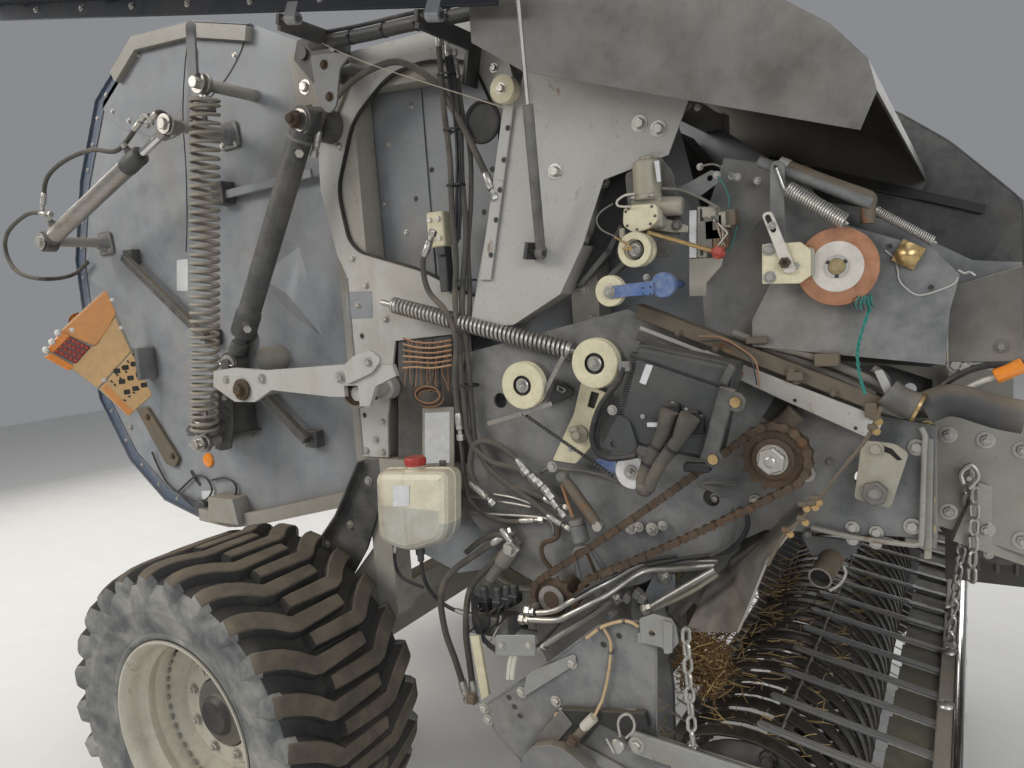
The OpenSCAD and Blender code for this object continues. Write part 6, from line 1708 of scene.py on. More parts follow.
    # the stub's bore is painted shade
    lathe(g, [(0.020, 0), (0.0265, 0), (0.0265, (b - a).length), (0.0225, (b - a).length), (0.0225, (b - a).length - 0.02), (0, (b - a).length - 0.021)], a, b - a, ["dull", "brown_rail", "steel", "cavern", "cavern"], 28)
    tube(g, R31(-0.80, (830, 270), (840, 300), (815, 345), (775, 370)), 0.0035, "zinc", 7, 5)
    sheet(g, O31(-0.70, (655, 140), (915, 170), (850, 240), (700, 230)), -0.700, 0.006, "plate", r=0.002)
    # chute sheets leading the crop in, near-black as painted shade
    sheet(g, O36(-0.84, (1130, 300), (1300, 130), (1568, -60), (1640, -120), (1600, 40), (1568, 90), (1568, 460), (1400, 470)), -0.700, 0.004, "chute", r=0)
    A, B, C, D, E, F2 = P31(185, 540, -0.80), P31(400, 540, -0.88), P31(435, 460, -0.88), P31(520, 250, -0.86), P31(720, 0, -0.84), P31(330, 240, -0.66)
    t = V((0, 0.003, 0.003))
    for q in ((A, B, C, F2), (F2, C, D, P31(470, 120, -0.66)), (P31(470, 120, -0.66), D, E, P31(600, 60, -0.66))):
        q = [V(v) for v in q]
        g.add(q + [v + t for v in q], [(0, 1, 2, 3), (7, 6, 5, 4), (0, 1, 5, 4), (1, 2, 6, 5), (2, 3, 7, 6), (3, 0, 4, 7)], "chute")
    tube(g, [B, C, D, E], 0.0028, "frame", 6, 0)
    return g


def pipes():
    g = Geo()
    y = -0.74
    ways = (
        (((420, 330), (500, 325), (570, 300), (650, 250), (850, 145), (1050, 35), (1200, 10), (1560, 10)), 0.0075, "zinc", y),
        (((370, 372), (540, 378), (620, 345), (850, 225), (1080, 75), (1300, 55), (1540, 35)), 0.0085, "zinc", y - 0.02),
        (((445, 548), (700, 385), (920, 240)), 0.0085, "zinc", y - 0.05),
        (((1140, 292), (1350, 170), (1540, 60)), 0.0085, "zinc", y - 0.07),
        (((1150, 310), (1380, 200), (1550, 90)), 0.0065, "olive", y - 0.06),
        (((420, 540), (520, 440), (600, 340), (650, 240), (760, 170), (900, 100), (1050, 20), (1300, -25)), 0.0050, "cable", y - 0.06),
    )
    for k, (pts, r, m, yy) in enumerate(ways):
        if k in (0, 1, 5):
            # in front of the lower sprocket, then back to the pipes' own plane
            tube(g, [P36(u, v, yy + (-0.91 - yy) * min(1, max(0, (1150 - u) / 400))) for u, v in pts], r, m, 12, 4)
        else:
            tube(g, R36(yy, *pts), r, m, 12, 4)
    for u, v in ((345, 372), (380, 320)):
        q = P36(u, v, -0.91)
        bar(g, q + V((0, -0.008, 0)), q + V((0, 0.12, 0)), 0.011, "dull", 16)
    for a, b, yy, ax in (((345, 372), None, -0.91, (1, 0, 0)), ((1115, 300), None, y - 0.07, (1, 0, 0.5)), ((930, 240), None, y - 0.05, (1, 0, 0.6)), ((380, 320), None, -0.91, (1, 0, 0)), ((455, 545), None, y - 0.05, (1, 0, 0.6))):
        p = P36(a[0], a[1], yy)
        lathe(g, [(0, -0.016), (0.0135, -0.016), (0.015, -0.014), (0.015, -0.001), (0.0115, 0.0), (0.0115, 0.012), (0, 0.012)], p, ax, "zinc", 6)
    # clamps of the pipes and the ribbed connector
    for a, b in ((990, 235), (1050, 210), (1085, 240), (890, 345), (815, 200)):
        p = P36(a, b, y - 0.06)
        cbox(g, (-0.010, -0.012, -0.014), (0.010, 0.012, 0.014), "plate", 0.003, place(p, (0, -1, 0), (0.5, 0, 1)))
    bolt(g, P36(1218, 105, -0.76), OUT, 0.012, "zinc", nut=True)
    sheet(g, O36(-0.755, (1100, 200), (1170, 60), (1285, 90), (1285, 190), (1130, 300)), -0.755, 0.005, "panel", r=0.004)
    # valve block with four coils
    c = P36(170, 400, -0.76)
    cbox(g, c + V((-0.085, -0.030, -0.030)), c + V((0.055, 0.045, 0.030)), "plate", 0.004)
    for a, b, h in ((100, 310, 0.072), (185, 312, 0.070), (240, 285, 0.062), (285, 260, 0.052)):
        p = P36(a, b, -0.775)
        cbox(g, p + V((-0.016, -0.018, -0.004)), p + V((0.016, 0.018, h * 0.45)), "cable", 0.004)
        lathe(g, [(0, h * 0.45), (0.0125, h * 0.45), (0.0125, h * 0.66), (0.010, h * 0.70), (0.013, h * 0.72), (0.013, h * 0.92), (0.009, h), (0, h)], p, (0, 0, 1), "box_black", 14)
        tube(g, [p + V((0.0, -0.018, 0.012)), p + V((-0.01, -0.034, 0.0)), p + V((-0.02, -0.035, -0.04)), p + V((-0.05, -0.03, -0.07))], 0.003, "cable", 6, 5)
    for k in range(7):
        tube(g, R36(-0.80 - 0.003 * k, (10 + 8 * k, 200 + 6 * k), (14 + 5 * k, 330), (30 + 9 * k, 430 + 7 * k), (90 + 10 * k, 520 + 3 * k), (190 + 5 * k, 600 - 10 * k)), 0.0026, "cable", 6, 4)
    tube(g, R36(-0.80, (195, 350), (185, 400), (140, 490), (90, 535)), 0.0025, "white_cable", 6, 4)
    # two hoses and the elbow below
    hose(g, [at(505, 535, -0.78), at(478, 553, -0.80), at(452, 572, -0.82), at(441, 595, -0.82), at(445, 630, -0.82), at(456, 662, -0.82), at(466, 694, -0.80)], 0.010, "hose", 10, 6)
    hose(g, [at(512, 545, -0.76), at(490, 565, -0.78), at(470, 590, -0.78), at(466, 630, -0.79), at(470, 665, -0.79), at(474, 694, -0.78)], 0.010, "hose", 10, 6)
    a, b = P33(235, 1010, -0.78), P33(110, 1180, -0.78)
    lathe(g, [(0, 0), (0.020, 0), (0.024, 0.006), (0.024, (b - a).length * 0.5), (0.018, (b - a).length * 0.55), (0.016, (b - a).length), (0, (b - a).length)], a, b - a, "dull", 20)
    bolt(g, a + V((0, -0.020, 0)), OUT, 0.017, "zinc", washer=1.3)
    hose(g, R33(-0.79, (-20, 1040), (60, 975), (140, 945), (200, 960), (225, 990)), 0.0085, "hose", 10, 5, ends=(0, 1))
    # rust coloured fork and lower linkage bits
    tube(g, R33(-0.79, (480, 900), (470, 960), (400, 990), (385, 1030), (400, 1080), (440, 1130)), 0.007, "rust", 8, 4)
    # cream strip and the small bracket by the pickup
    sheet(g, O36(-0.90, (0, 480), (55, 478), (118, 850), (72, 880)), -0.900, 0.012, "cream", r=0.003)
    p = P36(20, 870, -0.90)
    cbox(g, p - V((0.020, 0.012, 0.014)), p + V((0.010, 0.012, 0.014)), "brown_rail", 0.003)
    return g


def net_side():
    g = Geo()
    Y = -0.800
    # post with the rounded top, tube over the net box, springs
    sheet(g, O34(-0.840, (530, 320), (540, 292), (566, 286), (590, 300), (590, 640), (560, 640), (530, 560)), -0.840, 0.006, "plate", [ring(P34(553, 316, -0.84).x, P34(553, 316, -0.84).z, 0.005, 12)], r=0.003)
    a = P34(600, 312, -0.800)
    tube(g, [P34(580, 308, -0.80), P34(760, 378, -0.80), P34(915, 434, -0.80), P34(936, 448, -0.80), P34(932, 470, -0.80), P34(930, 545, -0.80)], 0.0155, "brown_rail", 16, 3)
    lathe(g, [(0, -0.01), (0.0175, -0.01), (0.0175, 0.012), (0, 0.012)], P34(585, 310, -0.80), P34(760, 378, -0.80) - P34(580, 308, -0.80), "pale", 18)
    coil(g, P34(605, 402, -0.845), P34(838, 538, -0.845), 0.0145, 0.0026, 24, "bright_spring", 14, 7)
    coil(g, P34(962, 492, -0.79), P34(1198, 618, -0.79), 0.0085, 0.0016, 30, "bright_spring", 12, 6)
    for pts in (((556, 318), (572, 360), (590, 405), (605, 402)), ((838, 538), (850, 548)), ((945, 490), (962, 492)), ((1198, 618), (1210, 626))):
        tube(g, R34(-0.845 if pts[0][0] < 900 else -0.79, *pts), 0.0028, "bright_spring", 6, 3)
    sheet(g, O34(-0.79, (430, 580), (500, 500), (600, 490), (760, 560), (640, 760), (520, 700)), -0.742, 0.004, "plate", r=0.004)
    # slotted bright lever
    s1 = P34(525, 530, -0.87)
    s2 = P34(541, 566, -0.87)
    sheet(g, O34(-0.868, (497, 512), (510, 498), (538, 495), (636, 735), (622, 748), (590, 750)), -0.868, 0.005, "disc_white", [slot2(s1.x, s1.z, 0.012, 0.006, 112), slot2(s2.x, s2.z, 0.006, 0.006, 112)], r=0.006)
    # dark sheet behind the lever's slots: painted shade
    sheet(g, O34(-0.862, (500, 505), (545, 500), (565, 590), (530, 590)), -0.8615, 0.001, "cavern", r=0)
    bolt(g, P34(540, 553, -0.868), OUT, 0.006, "zinc")
    c = P34(592, 705, -0.868)
    # the nut's dark centre is painted shade in its hole
    lathe(g, [(0.0, 0.002), (0.006, 0.002), (0.006, 0.007), (0.0105, 0.008), (0.0125, 0.006), (0.0125, 0)], c, OUT, ["cavern", "rust", "rust", "rust", "rust"], 6)
    # caliper plate with its bolts
    sheet(g, O34(-0.858, (498, 630), (655, 620), (697, 652), (697, 758), (652, 790), (498, 792)), -0.858, 0.007, "cream", r=0.003)
    sheet(g, O34(-0.852, (690, 640), (712, 650), (712, 760), (690, 760)), -0.8545, 0.010, "olive", r=0.002)
    for a, b, r in ((525, 652, 0.0095), (530, 765, 0.0095), (638, 718, 0.005)):
        bolt(g, P34(a, b, -0.858), OUT, r, "zinc")
    # the net plate: rolled light edge, cone with square washer, holes
    edge = R34(-0.801, (1000, 655), (1040, 690), (1052, 735), (1058, 775), (1085, 808), (1145, 838), (1270, 798), (1300, 765))
    tube(g, edge, 0.0022, "pale", 6, 4)
    c = P34(1095, 672, -0.802)
    u, v = V((0.86, 0, -0.50)), V((0.50, 0, 0.86))
    sq = [c + u * (a * 0.024) + v * (b * 0.024) for a, b in ((-1, -1), (1, -1), (1, 1), (-1, 1))]
    plate(g, [(p.x, p.z) for p in sq], -0.802, -0.808, "brass")
    lathe(g, [(0.0245, 0.006), (0.024, 0.010), (0.015, 0.019), (0.006, 0.024), (0, 0.025)], (c.x, -0.802, c.z), OUT, "brass", 28)
    for a, b in ((1020, 638), (1188, 806)):
        hole(g, P34(a, b, -0.800), 0.005)
    # bumps, pins and the handle on the net box side
    YB = -0.742
    for a, b, r in ((708, 176, 0.0058), (697, 205, 0.0045), (970, 155, 0.0062)):
        hole(g, P35(a, b, YB), r)
    for a, b in ((692, 240), (1000, 200)):
        lathe(g, [(0, 0.014), (0.010, 0.013), (0.0155, 0.008), (0.017, 0)], P35(a, b, YB), OUT, "plate", 20)
    h = O35(YB - 0.02, (1050, 196), (1082, 194), (1078, 310), (1044, 305))
    sheet(g, h, YB - 0.014, 0.014, "panel", r=0.002)
    c = P35(1158, 125, YB - 0.006)
    tube(g, [c + V((0.018 * cos(t * pi / 6), -0.006 - 0.004 * sin(t * 1.3), 0.014 * sin(t * pi / 6))) for t in range(12)], 0.0016, "zinc", 6, closed=True)
    tube(g, [c + V((0.014 * cos(t * pi / 6), -0.010, 0.017 * sin(t * pi / 6))) for t in range(12)], 0.0014, "zinc", 6, closed=True)
    # the handle's dark socket is painted shade
    lathe(g, [(0, 0), (0.011, 0), (0.011, 0.010), (0.008, 0.012), (0, 0.012)], c, OUT, "cavern", 18)
    bar(g, c + V((-0.010, -0.012, -0.004)), c + V((0.012, -0.012, 0.004)), 0.003, "zinc", 8)
    tube(g, R35(YB - 0.01, (865, 130), (880, 150), (855, 175), (885, 180), (850, 190), (880, 185), (868, 222), (880, 215), (875, 160), (862, 145)), 0.0018, "bright_spring", 6, 4)
    tube(g, R35(YB - 0.015, (640, 60), (630, 120), (622, 150), (600, 215)), 0.0008, "twine", 5, 4)
    # teal twine
    tw = R35(-0.83, (942, 60), (935, 120), (900, 230), (888, 300), (895, 380), (912, 440), (918, 466))
    for ph in (0, pi):
        pth = smooth(tw, 10)
        tube(g, [p + V((0.0022 * cos(i * 0.9 + ph), 0.0022 * sin(i * 0.9 + ph), 0)) for i, p in enumerate(pth)], 0.0021, "teal", 6)
    for k in range(14):
        tube(g, [P35(890 + 4 * k, 62 + rnd.uniform(0, 10), -0.845), P35(870 + 6 * k + rnd.uniform(-4, 4), 80 + rnd.uniform(0, 25), -0.85), P35(880 + 6 * k, 100 + rnd.uniform(0, 30), -0.84)], 0.0009, "teal" if k % 3 else "cable", 5, 3)
    # right hand panel with its fold
    sheet(g, O35(YB - 0.022, (1252, 32), (1568, -60), (1568, 335), (1252, 335)), YB - 0.020, 0.003, "hood", r=0.002)
    tube(g, R35(YB - 0.022, (1252, 30), (1252, 180), (1254, 334)), 0.0028, "olive", 6, 3)
    bolt(g, P35(1475, 272, YB - 0.022), OUT, 0.008, "dull")
    for a, b in ((1290, 345), (1325, 355)):
        bolt(g, P35(a, b, -0.75), OUT, 0.012, "zinc")
    tube(g, R34(-0.80, (1300, 735), (1325, 748), (1345, 742), (1370, 758)), 0.0022, "bright_spring", 6, 4)
    return g


def net_disc():
    g = Geo()
    c = V((1.815, -0.835, 1.807))
    lathe(g, [(0.0, 0.0), (0.078, 0.0), (0.082, 0.001), (0.082, 0.005), (0.081, 0.006), (0.053, 0.0065), (0.0525, 0.0085), (0.018, 0.0085)], c, OUT, ["copper", "copper", "copper", "copper", "copper", "disc_white", "disc_white"], 72)
    lathe(g, [(0.0, 0.0), (0.030, 0.0), (0.030, 0.029), (0, 0.029)], V((1.815, -0.806, 1.807)) + V((0, 0, 0)), OUT, "dull", 28)
    lathe(g, [(0.017, 0.0), (0.0175, 0.004), (0.023, 0.005), (0.0235, 0.0)], c + V((0, -0.0085, 0)), OUT, "pale", 28)
    # three dark patches on the disc's centre: painted shade in its slots
    for k in range(3):
        a = 0.5 + k * 2.1
        q = [(1.815 + r * cos(a + d), 1.807 + r * sin(a + d)) for r, d in ((0.0175, -0.22), (0.0235, -0.18), (0.0235, 0.18), (0.0175, 0.22))]
        plate(g, q, -0.8480, -0.8486, "cavern", d=0)
    bolt(g, c + V((0, -0.0085, 0)), OUT, 0.0125, "yellow_zinc", washer=1.35)
    bar(g, (1.815, -0.600, 1.807), (1.815, -0.835, 1.807), 0.0148, "steel", 24)
    return g


piece("front_fittings_right", front_group(), "chassis")
piece("net_actuator_detail", net_actuator(), "chassis", ["net_actuator"])
piece("tension_pulleys_detail", pulleys(), "chassis", ["tension_pulleys"])
piece("control_box_detail", control_box(), "chassis", ["control_box"])
piece("valve_block_detail", valve_block(), "chassis", ["valve_block"])
piece("drive_sprockets_detail", drive_wheels(), "chassis", ["drive_sprockets"])
piece("drive_side_fittings", drive_side(), "chassis")
piece("hydraulic_pipes", pipes(), "chassis")
piece("net_side_fittings", net_side(), "chassis")
piece("net_disc_detail", net_disc(), "net_disc", ["net_disc"])


# ---------------------------------------------------------------- pickup, strips, reel and finger guard
finish("strip", (0.012, 0.011, 0.010), rough=(0.35, 0.55), amt=0.45, scale=7, top=0.2, dust=(0.050, 0.034, 0.020), wear=0.4, wear_col=(0.10, 0.08, 0.06))
finish("strip_edge", (0.045, 0.038, 0.030), rough=(0.45, 0.6), amt=0.4, scale=9, top=0.1, dust=(0.12, 0.08, 0.05))
finish("finger", (0.12, 0.125, 0.125), rough=(0.35, 0.5), amt=0.35, scale=6, top=0.2, streak=0.1, speck=0.3, rust=0.12, rust_scale=14)
finish("guard_plate", (0.060, 0.060, 0.048), rough=(0.5, 0.7), amt=0.6, scale=9, top=0.4, dust=(0.15, 0.125, 0.08), rust=0.15, rust_scale=16)
finish("galv", (0.30, 0.30, 0.285), rough=(0.35, 0.55), metal=0.35, amt=0.5, scale=5, top=0.3, streak=0.25, dust=(0.24, 0.19, 0.13), rust=0.14, rust_scale=9)
PITCH = 1.96 / 29
RX, RZ = 1.60, 0.545
GX, GZ, GA = 1.985, 0.732, rad(11.15)
GM = Matrix(((cos(GA), 0, sin(GA), GX), (0, 1, 0, 0), (-sin(GA), 0, cos(GA), GZ), (0, 0, 0, 1)))


def on_reel(r, a, y=0.0):
    return V((RX + r * cos(rad(a)), y, RZ + r * sin(rad(a))))


def bands():
    """Wrapper strips: a bent strip with raised edges, a rolled rear tip and a strap to the angle below."""
    g = Geo()
    for i in range(29):
        y = -0.98 + PITCH * (i + 0.5)
        w = (PITCH - 0.022) / 2
        e = rnd.uniform(-0.0015, 0.0015)
        an = list(range(-110, 121, 10))
        tip = [on_reel(0.228, 120) + V((-0.016, 0, -0.010)), on_reel(0.224, 120) + V((-0.016, 0, -0.010))]
        out = [on_reel(0.228 + e, a) for a in an] + tip + [on_reel(0.224 + e, a) for a in reversed(an)]
        plate(g, [(p.x, p.z) for p in out], y - w, y + w, "strip", d=0.0008)
        for s in (-1, 1):
            o2 = [on_reel(0.2305 + e, a) for a in an] + [on_reel(0.226 + e, a) for a in reversed(an)]
            plate(g, [(p.x, p.z) for p in o2], y + s * (w - 0.0012) - 0.0012, y + s * (w - 0.0012) + 0.0012, "strip_edge", d=0.0005)
        tube(g, [on_reel(0.226, 121, y - w + 0.004), on_reel(0.226, 121, y + w - 0.004)], 0.0035, "strip_edge", 8)
        a, b = on_reel(0.226, -109.6, y), on_reel(0.296, -109.6, y)
        beam(g, a, b, 0.034, 0.004, "strip", up=(1, 0, 0))
        bolt(g, on_reel(0.2245, -98, y), on_reel(1, -98) - on_reel(0, -98), 0.0055, "zinc")
    x0, z0 = RX - 0.117, RZ - 0.288
    cbox(g, (x0, -0.9998, z0), (x0 + 0.030, 0.9998, z0 + 0.005), "dark", 0.0015)
    cbox(g, (x0, -0.9998, z0), (x0 + 0.005, 0.9998, z0 + 0.018), "dark", 0.0015)
    for i in range(29):
        bolt(g, (x0 + 0.02, -0.98 + PITCH * (i + 0.5), z0), (0, 0, -1), 0.006, "zinc")
    return g


def reel():
    g = Geo()
    lathe(g, [(0, -0.940), (0.022, -0.940), (0.030, -0.93), (0.030, 0.93), (0.022, 0.940), (0, 0.940)], (RX, 0, RZ), (0, 1, 0), "steel", 28)
    for y in (-0.90, -0.01, 0.88):
        hs = [ring(RX + 0.095 * cos(rad(a)), RZ + 0.095 * sin(rad(a)), 0.026, 16) for a in (25, 115, 205, 295)] + [ring(RX, RZ, 0.0305, 24)]
        plate(g, ring(RX, RZ, 0.175, 56), y, y + 0.008, "steel", hs, 0.001)
        lathe(g, [(0.030, -0.012), (0.050, -0.012), (0.052, -0.010), (0.052, 0.018), (0.050, 0.020), (0.030, 0.020)], (RX, y, RZ), (0, 1, 0), "steel", 28, closed=True)
        for k in range(4):
            c = on_reel(0.16, 70 - 90 * k, y)
            lathe(g, [(0.014, -0.006), (0.022, -0.006), (0.022, 0.014), (0.014, 0.014)], c, (0, 1, 0), "dark", 20, closed=True)
        for k in range(6):
            bolt(g, on_reel(0.041, 60 * k, y - 0.012 if y < 0.5 else y + 0.020), (0, -1 if y < 0.5 else 1, 0), 0.005, "zinc")
    for k in range(4):
        a = 70 - 90 * k
        d = on_reel(1, a) - on_reel(0, a)
        t = V((-d.z, 0, d.x))
        c = on_reel(0.16, a)
        tube(g, [c + V((0, -0.93, 0)), c + V((0, 0.93, 0))], 0.0125, "steel", 12)
        for i in range(1, 29):
            y = -0.98 + PITCH * i
            pts = []
            for j in range(15):
                q = 2 * pi * j / 7
                pts.append(c + (d * cos(q) - t * sin(q)) * 0.0165 + V((0, y + 0.011 - 0.0007 * j, 0)))
            e = pts[-1]
            pts += [c + d * 0.03 + V((0, y, 0)), c + d * 0.07 - t * 0.001 + V((0, y, 0)), c + d * 0.112 - t * 0.004 + V((0, y, 0))]
            tube(g, pts, 0.0028, "steel", 6)
            bolt(g, c - d * 0.0125 + V((0, y + 0.017, 0)), -d, 0.0045, "zinc")
    return g


def finger_guard():
    g = Geo()
    for i in range(0, 29, 2):
        y = -0.98 + PITCH * (i + 0.5)
        dz = rnd.uniform(-0.0012, 0.0012)
        pts = [(-0.339 + 0.0125 * cos(rad(a)), y + 0.0125 * sin(rad(a))) for a in range(90, 271, 20)] + [(0.006, y - 0.0125), (0.006, y + 0.0125)]
        prism(g, pts, 0.0 + dz, 0.008 + dz, "finger", d=0.0016, M=GM)
        # raised middle bead of the finger
        prism(g, [(-0.325, y - 0.004), (-0.10, y - 0.004), (-0.10, y + 0.004), (-0.325, y + 0.004)], 0.007 + dz, 0.0098 + dz, "finger", d=0.0012, M=GM)
        weld(g, GM @ V((-0.092, y - 0.013, 0.001)), GM @ V((-0.002, y - 0.013, 0.001)), 0.0022)
        if i < 28:
            st = rnd.uniform(-0.004, 0.002)
            lo, hi = y + 0.0135, y + 2 * PITCH - 0.0135
            pp = [(-0.094 + st, lo), (-0.002, lo), (-0.002, hi), (-0.088 + st, hi), (-0.088 + st, hi - 0.012), (-0.094 + st, hi - 0.016)]
            prism(g, pp, -0.006, -0.001, "guard_plate", d=0.001, M=GM)
            prism(g, [(-0.034, lo + 0.004), (-0.010, lo + 0.004), (-0.010, lo + 0.020), (-0.034, lo + 0.020)], -0.001, 0.0015, "guard_plate", d=0.0008, M=GM)
    prism(g, [(-0.09, -0.962), (0.004, -0.962), (0.004, 0.962), (-0.09, 0.962)], -0.0065, -0.003, "guard_plate", d=0.0008, M=GM)
    # cross channel, rod and their clamps
    cbox(g, (1.984, -0.978, 0.714), (2.020, 0.978, 0.7475), "plate", 0.003)
    tube(g, [(2.031, -0.978, 0.744), (2.031, 0.978, 0.744)], 0.0125, "chrome", 20)
    for y in (-0.90, -0.60, -0.30, 0.0, 0.30, 0.60, 0.90):
        lathe(g, [(0, 0.011), (0.008, 0.0105), (0.015, 0.008), (0.019, 0.004), (0.0205, 0.0), (0, 0)], (2.003, y, 0.7475), (0, 0, 1), "zinc", 28)
        lathe(g, [(0, 0.0115), (0.0055, 0.0115), (0.006, 0.009), (0, 0.009)], (2.003, y, 0.7475), (0, 0, 1), "dark", 12)
        cbox(g, (2.012, y - 0.018, 0.716), (2.044, y + 0.018, 0.732), "plate", 0.003)
    for s in (-1, 1):
        hs = [ring(1.48, 0.69, 0.0148, 20)]
        pts = fillet([(1.462, 0.672), (1.500, 0.668), (1.700, 0.690), (1.990, 0.706), (1.990, 0.742), (1.700, 0.724), (1.500, 0.712), (1.462, 0.708)], 0.012, 3)
        a, b = (-0.988, -0.980) if s < 0 else (0.980, 0.988)
        plate(g, pts, a, b, "plate", hs)
        for x in (1.60, 1.80):
            bolt(g, (x, s * 0.980, 0.700 + (x - 1.6) * 0.06), (0, -s, 0), 0.007, "zinc")
    # eye that the chain is hooked into
    eye(g, (2.003, -0.285, 0.760), 0.010, 0.017, 0.007, "zinc", (0, 1, 0))
    return g


def pickup_plates():
    """Both side plates: bent rims, weld beads and bearing housings of the reel."""
    g = Geo()
    top = [(0.940, 0.716), (1.178, 0.901), (1.292, 0.998), (1.395, 1.027), (1.436, 1.014), (1.424, 0.750), (1.662, 0.732), (1.820, 0.712), (1.885, 0.660), (1.905, 0.590), (1.880, 0.490), (1.800, 0.400), (1.680, 0.345), (1.545, 0.244), (1.452, 0.246), (1.330, 0.372), (1.262, 0.392), (1.067, 0.571), (0.972, 0.653)]
    sweep(g, [V((x, -1.0065, z)) for x, z in fillet(top, 0.012, 3)], ring(0, 0, 0.0035, 8), "plate", closed=True)
    # rib along the plate and stiffener over the reel
    beam(g, (1.13, -1.012, 0.70), (1.40, -1.012, 0.62), 0.030, 0.010, "plate", up=(0, 1, 0))
    beam(g, (1.40, -1.012, 0.62), (1.40, -1.012, 0.40), 0.026, 0.010, "plate", up=(0, 1, 0))
    lathe(g, [(0, -0.020), (0.030, -0.020), (0.034, -0.017), (0.034, -0.008), (0.062, -0.008), (0.066, -0.005), (0.066, 0.001), (0, 0.001)], (RX, -1.008, RZ), (0, 1, 0), "dark", 36)
    for k in range(4):
        bolt(g, on_reel(0.052, 45 + 90 * k, -1.016), OUT, 0.0075, "zinc")
    bolt(g, (RX, -1.028, RZ), OUT, 0.010, "zinc")
    for x, z in ((1.48, 0.69),):
        lathe(g, [(0, -0.007), (0.020, -0.007), (0.022, -0.005), (0.022, 0.001), (0, 0.001)], (x, -1.008, z), (0, 1, 0), "zinc", 24)
        bolt(g, (x, -1.015, z), OUT, 0.009, "zinc")
    for x, z in ((1.83, 0.665), (1.86, 0.53), (1.76, 0.42), (1.60, 0.335), (1.50, 0.30), (1.36, 0.44), (1.20, 0.52), (1.10, 0.62)):
        bolt(g, (x, -1.008, z), OUT, 0.0085, "zinc")
    for x in (1.455, 1.645):
        bolt(g, (x, -1.030, 0.404), OUT, 0.009, "zinc")
    weld(g, (1.445, -1.010, 0.4255), (1.655, -1.010, 0.4255), 0.003)
    weld(g, (1.612, -1.0305, 0.382), (1.690, -1.0305, 0.382), 0.003)
    weld(g, (1.33, -1.0, 0.425), (1.27, -1.0, 0.425), 0.003)
    return g


